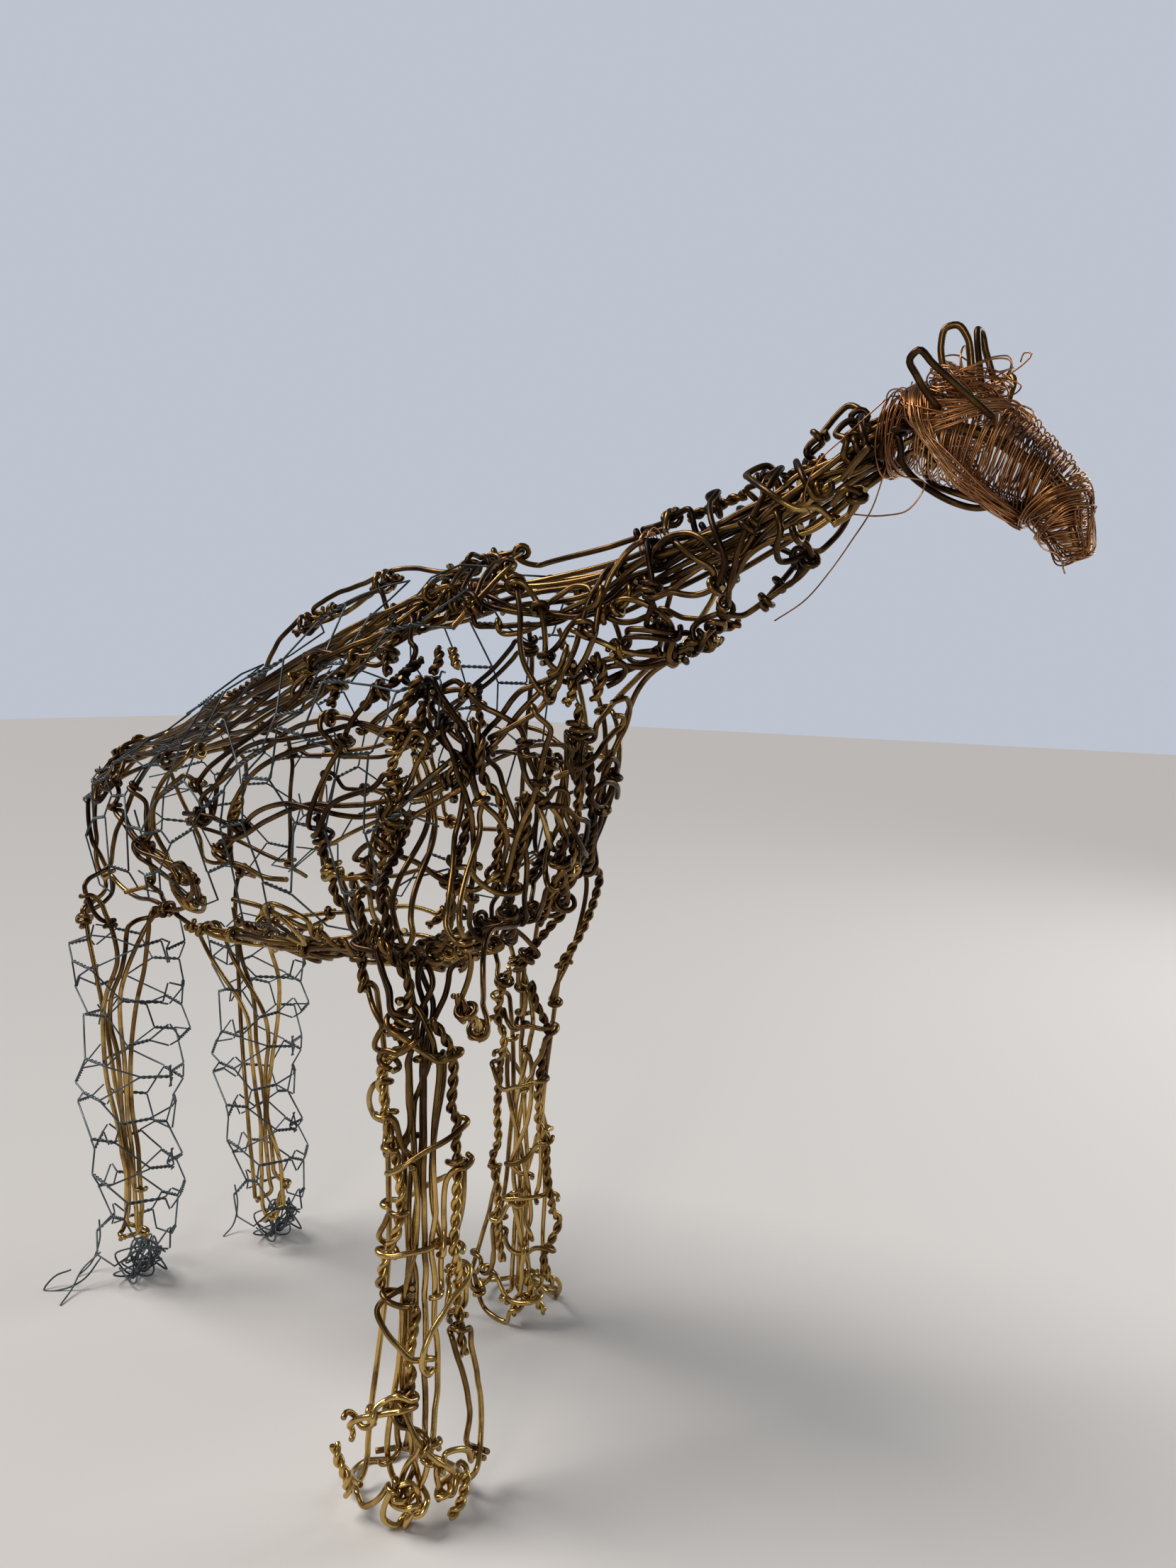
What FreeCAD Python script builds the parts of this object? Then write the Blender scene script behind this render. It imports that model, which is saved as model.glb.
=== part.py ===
import FreeCAD, Part
import math
import os

# A giraffe bent from brass wire: standing on four legs, head forward and low, hind quarters
# dressed in hexagonal wire netting and the head wound with fine copper wire.
# Millimetres, +Z up, +X towards the head, +Y to the giraffe's left. The origin is on the ground
# midway between the feet.

doc = FreeCAD.newDocument("WireGiraffe")
sheet = doc.addObject("Spreadsheet::Sheet", "Sizes")
SIZES = [
    ("overall_length", 544.5), ("overall_width", 194.0), ("overall_height", 474.0),
    ("wire_diameter", 2.5), ("pair_diameter", 4.6), ("netting_diameter", 1.0), ("copper_diameter", 0.6),
    ("leg_netting_step", 11.5), ("trunk_netting_step", 23.5), ("wire_gap", 0.12),
    ("end_reach", 16.0),
]
for row, (alias, value) in enumerate(SIZES, 1):
    sheet.set("A%d" % row, str(value))
    sheet.setAlias("A%d" % row, alias)
doc.recompute()
size = {alias: float(sheet.get(alias)) for alias, value in SIZES}
RADIUS = {
    "wire": size["wire_diameter"] / 2,
    "pair": size["pair_diameter"] / 2,
    "netting": size["netting_diameter"] / 2,
    "copper": size["copper_diameter"] / 2,
}
# The tables below are drawn for a giraffe this large over the middles of its outermost wires.
DRAWN_LENGTH, DRAWN_WIDTH, DRAWN_HEIGHT = 542.0, 191.5, 471.5
SCALE = (
    (size["overall_length"] - size["wire_diameter"]) / DRAWN_LENGTH,
    (size["overall_width"] - size["wire_diameter"]) / DRAWN_WIDTH,
    (size["overall_height"] - size["wire_diameter"]) / DRAWN_HEIGHT,
)
# Stations of the trunk and neck, tail to head: place along X, top height, bottom height, half width.
TRUNK_STATIONS = [
    (-178, 272, 240, 8), (-168, 288, 222, 20), (-150, 296, 206, 32), (-125, 303, 200, 42),
    (-100, 310, 197, 48), (-50, 334, 198, 55), (0, 354, 200, 60), (40, 373, 203, 62),
    (80, 384, 208, 62), (110, 391, 215, 57), (135, 394, 228, 48), (155, 396, 252, 38),
    (172, 399, 285, 30), (190, 402, 338, 26), (215, 409, 360, 25), (240, 418, 373, 23),
    (265, 427, 392, 20), (290, 440, 412, 17), (312, 450, 427, 14),
]
# Stations of the legs, ground to hip: height, centre along X, centre along Y, half length, half width.
LEG_STATIONS = {
    "fore_right": [
        (0, 138, -83, 26, 20), (30, 137, -81, 24, 20), (70, 134, -77, 18, 16),
        (110, 130, -72, 18, 16), (160, 126, -65, 20, 18), (210, 124, -60, 25, 21), (250, 122, -56, 30, 24),
    ],
    "fore_left": [
        (0, 89, 60, 22, 18), (30, 91, 60, 21, 18), (70, 94, 60, 17, 16),
        (110, 97, 59, 17, 16), (160, 101, 57, 20, 18), (210, 103, 54, 25, 21), (250, 104, 52, 30, 24),
    ],
    "hind_right": [
        (0, -103, -42, 26, 24), (30, -103, -40, 24, 20), (70, -104, -39, 27, 22),
        (110, -108, -38, 29, 24), (160, -112, -37, 31, 25), (210, -114, -36, 33, 26), (250, -116, -36, 36, 28),
    ],
    "hind_left": [
        (0, -75, 35, 25, 23), (30, -79, 35, 22, 21), (70, -85, 36, 23, 22),
        (110, -90, 37, 25, 23), (160, -94, 39, 28, 24), (210, -96, 40, 32, 26), (250, -96, 40, 36, 28),
    ],
}
# Stations of the head, poll to muzzle: distance, place along X, height, half depth, half width.
HEAD_STATIONS = [
    (0, 298, 438, 11, 14), (12, 307, 436.5, 12, 16), (22, 316.5, 433.5, 13, 18), (40, 333.5, 427.5, 14, 17),
    (56, 347, 418.5, 10.5, 14), (72, 357, 410, 7.5, 10), (88, 363.5, 397, 5, 6.5), (96, 366, 390, 3, 4),
]


def T(along, angle, proud=0):
    """A point on the trunk or neck: 0 degrees is the back line, 90 the right side, 180 the belly."""
    return ("trunk", along, angle, proud)


def FR(height, angle, proud=0):
    """A point on the right fore leg: 0 degrees is its front, 90 its right side."""
    return ("fore_right", height, angle, proud)


def FL(height, angle, proud=0):
    """A point on the left fore leg."""
    return ("fore_left", height, angle, proud)


def HR(height, angle, proud=0):
    """A point on the right hind leg."""
    return ("hind_right", height, angle, proud)


def HL(height, angle, proud=0):
    """A point on the left hind leg."""
    return ("hind_left", height, angle, proud)


def K(along, angle, proud=0):
    """A point on the head: 0 degrees is the forehead, 90 its right cheek, 180 the jaw."""
    return ("head", along, angle, proud)


def P(x, y, z):
    """A point in space."""
    return ("space", x, y, z)


# Each node holds its wires; each wire is its kind and the points it is bent through.
WIRES = {
    "fore_right_core_wires": [
        ("wire", [FR(232, 62, -5), FR(218, 60, -6), FR(210, 52, -7), FR(195, 54, -8), FR(178, 52, -8),
                  FR(160, 50, -8), FR(143, 44, -8), FR(126, 50, -7), FR(108, 57, -8), FR(88, 60, -7),
                  FR(70, 62, -7), FR(52, 66, -8), FR(34, 62, -9), FR(18, 60, -9)]),
        ("wire", [FR(230, 36, -6), FR(217, 44, -6), FR(206, 53, -7), FR(190, 60, -8), FR(172, 60, -7),
                  FR(155, 56, -6), FR(140, 52, -5), FR(126, 44, -5), FR(112, 46, -5), FR(97, 55, -4),
                  FR(84, 62, -4), FR(68, 66, -4), FR(50, 75, -4), FR(38, 79, -3), FR(24, 80, -3), FR(10, 72, -3)]),
        ("wire", [FR(228, 20, -5), FR(212, 26, -4), FR(200, 40, -4), FR(186, 46, -4), FR(168, 43, -4),
                  FR(150, 38, -4), FR(134, 36, -4), FR(118, 30, -4), FR(104, 22, -4), FR(88, 22, -4),
                  FR(74, 23, -3), FR(58, 25, -3), FR(44, 28, -3), FR(33, 30, -3)]),
        ("wire", [FR(211, 64, -2), FR(202, 50, -2), FR(193, 36, -2), FR(184, 26, -2), FR(172, 24, -3),
                  FR(158, 25, -3), FR(143, 22, -3), FR(126, 14, -3), FR(110, 7, -3), FR(94, 6, -3),
                  FR(80, 7, -3), FR(64, 10, -3), FR(50, 16, -3), FR(38, 24, -3), FR(26, 30, -2), FR(12, 38, -2)]),
        ("wire", [FR(188, 12, -5), FR(172, 10, -5), FR(156, 14, -6), FR(138, 16, -6), FR(120, 8, -5),
                  FR(106, -2, -3), FR(96, -8, -3), FR(86, -12, -2)]),
        ("wire", [FR(150, 100, -12), FR(134, 100, -12), FR(116, 84, -12), FR(98, 70, -12), FR(80, 62, -12),
                  FR(62, 60, -12), FR(44, 60, -12), FR(26, 52, -12), FR(14, 46, -9)]),
        ("wire", [FR(204, 150, -4), FR(186, 158, -5), FR(166, 152, -6), FR(144, 160, -6), FR(122, 168, -6),
                  FR(100, 172, -6), FR(78, 166, -5), FR(56, 160, -5), FR(34, 156, -6), FR(12, 150, -6)]),
    ],
    "fore_right_twisted_pairs": [
        ("pair", [FR(236, 92, 2), FR(226, 76, 1), FR(218, 67, 1), FR(210, 68, 1), FR(203, 76, 1), FR(193, 70, 1),
                  FR(184, 90, 1), FR(176, 98, 1), FR(168, 90, 1), FR(158, 86, 1), FR(150, 74, 1), FR(140, 73, 1),
                  FR(132, 68, 1), FR(124, 69, 1), FR(115, 72, 1), FR(106, 86, 1), FR(98, 94, 1), FR(90, 101, 1)]),
        ("pair", [FR(204, 44, 2), FR(196, 30, 2), FR(188, 18, 1), FR(180, 12, 1), FR(172, 9, 1), FR(164, 6, 1),
                  FR(157, -8, 2), FR(149, -6, 2), FR(141, -12, 2), FR(130, -8, 2), FR(118, -8, 2), FR(106, -6, 2),
                  FR(99, -18, 3), FR(92, -32, 4), FR(84, -36, 4), FR(75, -30, 4), FR(66, -30, 4), FR(58, -36, 5)]),
        ("pair", [FR(84, 48, -3), FR(77, 50, -3), FR(70, 54, -3), FR(64, 55, -2), FR(58, 50, -2), FR(50, 56, -1),
                  FR(42, 66, 0)]),
        ("pair", [FR(214, 24, 3), FR(206, 8, 3), FR(200, -8, 3), FR(194, -28, 3), FR(188, -52, 2)]),
    ],
    "fore_right_side_wires": [
        ("wire", [FR(234, 106, 1), FR(222, 96, 1), FR(212, 88, 1), FR(206, 86, 2)]),
        ("wire", [FR(236, 100, 3), FR(225, 92, 3), FR(214, 84, 3), FR(207, 80, 4)]),
        ("wire", [FR(203, 82, 2), FR(196, 94, 2), FR(189, 104, 1), FR(183, 101, 1)]),
        ("wire", [FR(182, 98, 3), FR(188, 96, 3), FR(190, 84, 3), FR(190, 72, 3), FR(189, 61, 3)]),
        ("wire", [FR(165, 90, 0), FR(158, 90, 0), FR(152, 82, 0), FR(151, 72, 0)]),
        ("wire", [FR(165, 82, 2), FR(157, 76, 2), FR(150, 70, 2), FR(146, 66, 2)]),
        ("wire", [FR(190, 70, 0), FR(180, 66, -1), FR(168, 63, -1), FR(157, 62, -1), FR(152, 68, 0)]),
        ("wire", [FR(141, 82, 4), FR(143, 66, 4), FR(148, 46, 3), FR(152, 24, 3), FR(156, 4, 4), FR(157, -14, 4)]),
        ("wire", [FR(125, 76, 2), FR(118, 86, 2), FR(112, 95, 2), FR(107, 104, 2), FR(103, 99, 2)]),
        ("wire", [FR(107, 86, 3), FR(107, 60, -1), FR(107, 32, -3), FR(107, 4, -1), FR(107, -28, 4)]),
        ("wire", [FR(140, -4, 1), FR(130, -2, 0), FR(118, -3, 0), FR(107, -4, 1)]),
        ("wire", [FR(140, -18, 3), FR(129, -23, 4), FR(117, -25, 4), FR(106, -26, 2)]),
        ("wire", [FR(208, 86, 5), FR(199, 68, 4), FR(190, 46, 4), FR(184, 22, 4)]),
        ("wire", [FR(91, 99, 2), FR(88, 84, 1), FR(86, 68, 0), FR(84, 54, -2)]),
        ("wire", [FR(92, 100, 3), FR(84, 92, 2), FR(77, 82, 2), FR(71, 66, 2), FR(66, 48, 2), FR(66, 32, 1)]),
        ("wire", [FR(90, -16, 4), FR(82, 8, 3), FR(75, 28, 3), FR(69, 36, 3), FR(63, 37, 2), FR(60, 31, 2)]),
        ("wire", [FR(90, -36, 5), FR(84, -38, 5), FR(79, -34, 5), FR(74, -36, 5)]),
        ("wire", [FR(90, -14, 2), FR(84, -12, 2), FR(79, -18, 3), FR(74, -26, 3)]),
        ("wire", [FR(196, 90, 1), FR(204, 112, 1), FR(212, 132, 1), FR(220, 150, 1), FR(228, 162, 1)]),
        ("wire", [FR(176, 104, 0), FR(168, 124, 1), FR(160, 146, 1), FR(152, 168, 1), FR(146, 190, 1)]),
        ("wire", [FR(139, -16, 0), FR(132, -46, 1), FR(126, -78, 1), FR(120, -108, 1), FR(114, -138, 1)]),
    ],
    "fore_right_hoof_wires": [
        ("wire", [FR(61, -36, 6), FR(50, -40, 8), FR(40, -46, 9), FR(30, -48, 9), FR(21, -44, 8), FR(13, -32, 6),
                  FR(11, -16, 4)]),
        ("wire", [FR(60, -28, 3), FR(50, -27, 4), FR(41, -29, 4), FR(32, -29, 4), FR(24, -25, 3), FR(17, -14, 2)]),
        ("pair", [FR(17, -12, 2), FR(10, -6, 2), FR(5, 2, 2), FR(2, 9, 1)]),
        ("wire", [FR(53, 62, 2), FR(44, 50, 2), FR(34, 38, 3), FR(25, 18, 3), FR(17, -4, 3)]),
        ("wire", [FR(53, 62, 4), FR(51, 76, 4), FR(47, 92, 5)]),
        ("wire", [FR(50, 60, 5), FR(46, 84, 6), FR(41, 106, 9), FR(36, 114, 15)]),
        ("wire", [FR(43, 78, 3), FR(38, 98, 5), FR(33, 111, 10), FR(30, 114, 15)]),
        ("pair", [FR(31, 113, 12), FR(24, 109, 10), FR(17, 106, 7), FR(9, 108, 5)]),
        ("wire", [FR(9, 108, 3), FR(6, 98, 3), FR(9, 86, 3), FR(14, 74, 2)]),
        ("wire", [FR(4, 72, 2), FR(11, 70, 2), FR(17, 62, 2), FR(18, 52, 2), FR(12, 45, 2), FR(5, 48, 2), FR(1, 40, 2)]),
        ("wire", [FR(13, 70, 0), FR(7, 66, 0), FR(3, 56, 0), FR(2, 44, 0), FR(4, 32, 0)]),
        ("wire", [FR(27, 20, -1), FR(19, 20, -1), FR(12, 13, -1), FR(9, 2, 0), FR(14, -8, 0)]),
        ("wire", [FR(28, 14, 1), FR(28, 0, 2), FR(25, -14, 3), FR(19, -24, 3)]),
        ("wire", [FR(42, 56, -4), FR(32, 50, -4), FR(22, 46, -4), FR(15, 43, -4)]),
        ("wire", [FR(46, 70, 1), FR(42, 62, 1), FR(41, 52, 1), FR(39, 43, 1), FR(34, 42, 1)]),
        ("wire", [FR(33, 36, -3), FR(24, 52, -3), FR(13, 74, -2)]),
        ("wire", [FR(14, -4, 0), FR(8, -40, 0), FR(3, -80, 0), FR(2, -120, 0), FR(3, -160, 0)]),
        ("wire", [FR(10, 108, 1), FR(6, 135, 0), FR(3, 160, 0), FR(2, 185, 0)]),
    ],
    "fore_left_core_wires": [
        ("wire", [FL(196, 88, -6), FL(180, 88, -6), FL(164, 86, -6), FL(148, 90, -6), FL(130, 92, -6),
                  FL(112, 94, -5), FL(94, 94, -5), FL(80, 86, -5), FL(66, 78, -4), FL(50, 74, -4), FL(32, 74, -4),
                  FL(16, 68, -4)]),
        ("wire", [FL(150, 128, -1), FL(133, 120, -1), FL(116, 101, -2), FL(98, 77, -3), FL(80, 58, -4),
                  FL(62, 50, -4), FL(44, 48, -4), FL(28, 44, -4)]),
        ("wire", [FL(150, 66, -3), FL(136, 62, -3), FL(123, 60, -2), FL(110, 65, -1), FL(97, 80, 0),
                  FL(88, 86, 1), FL(80, 78, 1), FL(77, 66, 1)]),
        ("wire", [FL(127, 80, -4), FL(114, 72, -4), FL(99, 66, -5), FL(84, 60, -5), FL(69, 56, -5), FL(55, 50, -4),
                  FL(42, 34, -3)]),
        ("wire", [FL(68, 82, -2), FL(56, 69, -2), FL(44, 58, -2), FL(33, 46, -2), FL(19, 42, -1), FL(7, 30, 0)]),
        ("wire", [FL(190, 20, -5), FL(170, 22, -6), FL(150, 26, -6), FL(130, 28, -6), FL(110, 24, -6), FL(90, 12, -5),
                  FL(70, 4, -4), FL(50, 6, -5), FL(30, 8, -5), FL(12, 10, -5)]),
        ("wire", [FL(180, 160, -5), FL(158, 158, -6), FL(136, 164, -6), FL(114, 166, -6), FL(92, 164, -5),
                  FL(70, 162, -5), FL(48, 158, -5), FL(26, 156, -5), FL(8, 156, -5)]),
    ],
    "fore_left_twisted_pairs": [
        ("pair", [FL(196, 92, 2), FL(184, 114, 1), FL(174, 122, 1), FL(166, 128, 1), FL(158, 114, 1), FL(146, 120, 1),
                  FL(133, 130, 2), FL(119, 138, 2), FL(108, 128, 2), FL(97, 122, 2), FL(88, 132, 3), FL(78, 120, 2),
                  FL(68, 108, 1), FL(58, 97, 1), FL(50, 94, 1), FL(42, 92, 1), FL(34, 85, 1)]),
        ("pair", [FL(190, 66, 2), FL(178, 60, 1), FL(170, 50, 1), FL(160, 42, 1), FL(148, 50, 1), FL(138, 52, 1),
                  FL(129, 50, 1), FL(121, 45, 1), FL(113, 44, 1), FL(103, 32, 1), FL(88, 26, 1), FL(78, 22, 1),
                  FL(70, 18, 2), FL(61, 8, 2), FL(54, -8, 3), FL(46, 6, 2), FL(38, 22, 1), FL(30, 16, 1), FL(21, 2, 1)]),
        ("pair", [FL(31, 51, 0), FL(20, 42, 0), FL(11, 32, 0), FL(6, 20, 1)]),
    ],
    "fore_left_side_wires": [
        ("wire", [FL(141, 142, 5), FL(135, 150, 5), FL(130, 126, 4), FL(129, 106, 3), FL(132, 84, 3), FL(136, 58, 3),
                  FL(139, 44, 3)]),
        ("wire", [FL(164, 46, 3), FL(154, 46, 2), FL(144, 53, 1), FL(133, 58, 1)]),
        ("wire", [FL(106, 35, 0), FL(92, 28, 0), FL(80, 26, 0), FL(70, 28, 1)]),
        ("wire", [FL(103, 40, 3), FL(93, 60, 2), FL(88, 80, 2)]),
        ("wire", [FL(69, 88, 2), FL(70, 64, 1), FL(70, 36, 1), FL(71, 4, 3)]),
        ("wire", [FL(82, 126, 1), FL(68, 140, 1), FL(54, 146, 1), FL(43, 150, 2), FL(34, 150, 3), FL(25, 140, 5),
                  FL(19, 126, 8)]),
        ("wire", [FL(57, 112, 2), FL(45, 104, 2), FL(33, 100, 2), FL(26, 107, 3), FL(25, 118, 3), FL(30, 122, 3),
                  FL(33, 113, 3)]),
        ("wire", [FL(67, 84, 1), FL(61, 98, 1), FL(56, 114, 1)]),
        ("wire", [FL(46, 90, 1), FL(41, 72, 2), FL(41, 54, 2), FL(46, 26, 2)]),
        ("wire", [FL(41, 58, 4), FL(28, 53, 3), FL(17, 52, 2), FL(10, 50, 1)]),
        ("wire", [FL(166, 82, 1), FL(166, 66, 0), FL(166, 48, 1)]),
        ("wire", [FL(169, 132, 1), FL(164, 112, 1), FL(162, 94, 1), FL(162, 76, 1)]),
        ("wire", [FL(184, 76, -1), FL(175, 77, -1), FL(166, 86, 0)]),
        ("wire", [FL(152, 160, 2), FL(138, 190, 1), FL(124, 220, 0), FL(110, 250, 0), FL(96, 270, 0), FL(80, 290, 0)]),
        ("wire", [FL(92, 252, 0), FL(76, 240, -2), FL(60, 230, -3), FL(42, 236, -4), FL(24, 244, -4), FL(8, 240, -3)]),
    ],
    "fore_left_hoof_wires": [
        ("wire", [FL(28, 106, 1), FL(20, 86, 1), FL(10, 60, 1), FL(5, 40, 1), FL(3, 20, 1)]),
        ("wire", [FL(22, 125, 6), FL(12, 122, 4), FL(4, 112, 2), FL(2, 92, 1), FL(1, 70, 1)]),
        ("wire", [FL(16, 132, 2), FL(10, 160, 1), FL(5, 190, 1), FL(2, 220, 1), FL(1, 250, 1), FL(3, 280, 1)]),
        ("wire", [FL(24, 4, 1), FL(14, -20, 2), FL(6, -44, 2), FL(2, -66, 1), FL(3, -84, 1)]),
        ("wire", [FL(15, 76, -2), FL(20, 60, -3), FL(14, 44, -3), FL(6, 56, -3), FL(3, 74, -3)]),
    ],
    "hind_right_core_wires": [
        ("wire", [HR(217, 74, -2), HR(200, 62, -3), HR(184, 58, -4), HR(168, 72, -4), HR(152, 82, -4),
                  HR(137, 84, -4), HR(118, 82, -4), HR(101, 76, -5), HR(84, 68, -5), HR(68, 66, -6),
                  HR(52, 70, -6), HR(36, 72, -6), HR(24, 70, -6), HR(17, 58, -6)]),
        ("wire", [T(-78, 124, 0), T(-92, 142, 0), HR(205, 44, -3), HR(192, 50, -5), HR(178, 60, -6),
                  HR(164, 74, -6), HR(150, 76, -6), HR(135, 69, -7), HR(118, 68, -8), HR(103, 68, -8), HR(88, 68, -8),
                  HR(72, 60, -8), HR(58, 56, -8)]),
        ("wire", [T(-44, 122, 1), T(-64, 134, 1), HR(212, 10, -2), HR(199, 28, -5), HR(184, 46, -8), HR(167, 60, -8),
                  HR(149, 64, -9), HR(130, 62, -10), HR(111, 62, -10), HR(92, 64, -10), HR(74, 60, -9),
                  HR(54, 58, -9), HR(38, 54, -8), HR(27, 50, -7)]),
        ("wire", [HR(214, 20, -2), HR(198, 22, -4), HR(182, 25, -5), HR(162, 36, -7), HR(143, 45, -9),
                  HR(124, 54, -12), HR(107, 58, -12), HR(90, 58, -12), HR(76, 52, -11), HR(62, 46, -9),
                  HR(46, 42, -8), HR(31, 42, -7), HR(21, 48, -6)]),
        ("wire", [HR(214, 130, -4), HR(192, 120, -6), HR(168, 104, -8), HR(142, 96, -10), HR(116, 90, -11),
                  HR(92, 82, -12), HR(68, 76, -11), HR(44, 78, -10), HR(24, 84, -10)]),
    ],
    "hind_left_core_wires": [
        ("wire", [T(-62, 150, 1), T(-72, 166, 0), HL(186, 124, 8), HL(172, 108, 4), HL(160, 94, 0), HL(149, 78, -3),
                  HL(138, 66, -4), HL(122, 62, -4), HL(105, 60, -5), HL(90, 58, -6), HL(75, 54, -6), HL(60, 58, -6),
                  HL(44, 62, -6), HL(30, 65, -5), HL(20, 56, -5), HL(19, 42, -5), HL(24, 35, -5)]),
        ("wire", [HL(190, 100, -2), HL(176, 90, -3), HL(162, 70, -4), HL(149, 50, -5), HL(139, 38, -5),
                  HL(126, 32, -6), HL(110, 35, -7), HL(92, 41, -9), HL(75, 44, -9), HL(60, 46, -8), HL(45, 47, -7),
                  HL(30, 42, -6)]),
        ("wire", [HL(204, 84, -4), HL(188, 80, -5), HL(172, 76, -6), HL(157, 65, -8), HL(141, 58, -9),
                  HL(124, 58, -10), HL(104, 50, -11), HL(88, 46, -12), HL(74, 42, -11), HL(58, 36, -8), HL(44, 34, -7),
                  HL(31, 33, -6)]),
        ("wire", [T(-30, 178, 0), T(-42, 184, 0), HL(193, 42, -2), HL(178, 30, -2), HL(162, 19, -2), HL(145, 17, -3),
                  HL(129, 20, -4), HL(111, 28, -6), HL(92, 37, -6), HL(78, 40, -6), HL(66, 32, -4), HL(52, 22, -4),
                  HL(38, 21, -3), HL(27, 24, -3)]),
        ("wire", [HL(206, 190, -5), HL(184, 186, -6), HL(160, 180, -8), HL(134, 170, -10), HL(108, 150, -12),
                  HL(84, 130, -12), HL(60, 140, -11), HL(38, 150, -10), HL(22, 156, -10)]),
    ],
    "spine_wires": [
        ("wire", [T(-166, 40, 0), T(-148, 24, 0), T(-122, 18, 0), T(-92, 22, 0), T(-60, 30, -1), T(-28, 36, -1),
                  T(4, 40, -1), T(36, 42, -1), T(66, 38, -1), T(94, 28, -1)]),
        ("wire", [T(-162, 54, -1), T(-140, 36, -2), T(-112, 30, -3), T(-80, 36, -3), T(-46, 46, -3), T(-12, 52, -3),
                  T(22, 54, -3), T(54, 52, -3), T(84, 44, -3), T(110, 34, -3)]),
        ("wire", [T(-158, 12, -2), T(-134, 6, -2), T(-104, 8, -3), T(-72, 14, -4), T(-40, 24, -4), T(-8, 28, -5),
                  T(26, 30, -5), T(58, 26, -4), T(88, 18, -3), T(116, 10, -3)]),
        ("wire", [T(-150, 66, -1), T(-128, 52, -2), T(-100, 44, -4), T(-66, 50, -5), T(-34, 58, -5), T(0, 60, -5),
                  T(30, 59, -4), T(52, 54, -5), T(74, 50, -6)]),
        ("wire", [T(-160, -14, -1), T(-132, -10, -2), T(-100, -8, -2), T(-66, -6, -3), T(-32, 4, -4), T(2, 8, -5),
                  T(36, 10, -4), T(68, 4, -3), T(98, -4, -2)]),
        ("wire", [T(-156, -40, -1), T(-128, -30, -1), T(-96, -26, -2), T(-62, -24, -3), T(-26, -22, -4),
                  T(10, -20, -5), T(46, -22, -4), T(80, -26, -3), T(110, -22, -3)]),
    ],
    "back_outer_wires": [
        ("wire", [T(-166, -2, 5), T(-140, -2, 4), T(-114, 2, 4), T(-88, 3, 5), T(-70, 3, 4)]),
        ("pair", [T(-72, 2, 6), T(-60, 1, 4), T(-48, 0, 5)]),
        ("wire", [T(-118, 8, 1), T(-98, 12, 2), T(-80, 14, 3), T(-62, 10, 4)]),
        ("wire", [T(-50, 0, 2), T(-40, 0, 12), T(-32, 0, 18), T(-20, 0, 20)]),
        ("pair", [T(-21, 0, 19), T(-10, 0, 20), T(1, 0, 22)]),
        ("wire", [T(0, 0, 24), T(13, 0, 24), T(27, 0, 20), T(37, 0, 17)]),
        ("pair", [T(35, 0, 16), T(45, 0, 15), T(55, 0, 14)]),
        ("wire", [T(54, 0, 16), T(66, 0, 14), T(80, 0, 9), T(98, 0, 4)]),
        ("wire", [T(-18, 3, 15), T(-4, 5, 14), T(8, 6, 12)]),
        ("wire", [T(4, 2, 17), T(20, 6, 12), T(38, 8, 10), T(56, 8, 8)]),
        ("wire", [T(28, 47, 2), T(46, 48, 2), T(64, 46, 2), T(84, 43, 2), T(102, 34, 2)]),
        ("wire", [T(44, 50, 4), T(62, 50, 4), T(80, 47, 4), T(92, 43, 4)]),
    ],
    "withers_loops": [
        ("wire", [T(90, 4, 3), T(92, 12, 4), T(96, 22, 4), T(103, 31, 3), T(112, 38, 3)]),
        ("wire", [T(98, -6, 3), T(103, 4, 5), T(108, 14, 5), T(112, 28, 4), T(117, 42, 3)]),
        ("wire", [T(112, -8, 2), T(114, 2, 5), T(117, 16, 5), T(120, 34, 4), T(123, 46, 4)]),
        ("wire", [T(120, 0, 3), T(124, 14, 4), T(126, 28, 3), T(127, 42, 3)]),
        ("wire", [T(98, 0, 6), T(110, -5, 9), T(121, -6, 10), T(130, 2, 7), T(133, 18, 4), T(139, 30, 3),
                  T(148, 36, 3)]),
        ("wire", [T(142, 20, 5), T(133, 40, 5), T(125, 51, 5)]),
    ],
    "rump_hoops_right": [
        ("wire", [T(-150, 34, 2), T(-156, 50, 2), T(-157, 62, 2), T(-155, 76, 2), T(-152, 90, 2), T(-148, 104, 2),
                  T(-146, 116, 2), T(-145, 128, 2), HR(205, 124, 0)]),
        ("wire", [T(-86, 56, 2), T(-90, 66, 3), T(-95, 78, 3), T(-105, 88, 3), T(-111, 98, 3), T(-119, 108, 3),
                  HR(226, 86, 2), HR(212, 78, 1)]),
        ("wire", [T(-112, 64, 0), T(-115, 73, 0), T(-101, 84, 0), T(-82, 95, 1), T(-70, 101, 0), T(-57, 110, 0),
                  T(-46, 117, 0)]),
        ("wire", [T(-84, 62, -1), T(-80, 76, -1), T(-78, 90, -1), T(-79, 103, -1), T(-82, 118, -1), HR(224, 46, -1)]),
        ("wire", [T(-46, 62, 0), T(-60, 68, 1), T(-68, 76, 1), T(-71, 88, 1), T(-74, 98, 1)]),
        ("wire", [T(-40, 72, 2), T(-54, 75, 2), T(-66, 81, 2), T(-66, 92, 1), T(-58, 104, 1), T(-54, 116, 1)]),
        ("wire", [T(-80, 96, 3), T(-64, 103, 3), T(-52, 107, 3), T(-40, 112, 3), T(-34, 117, 2)]),
        ("wire", [T(-84, 98, 4), T(-72, 105, 4), T(-62, 112, 3), T(-54, 118, 2)]),
        ("wire", [T(-140, 118, 0), T(-126, 128, 0), T(-108, 132, 0), T(-92, 130, 0), T(-78, 134, 0)]),
    ],
    "rump_knots": [
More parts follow.
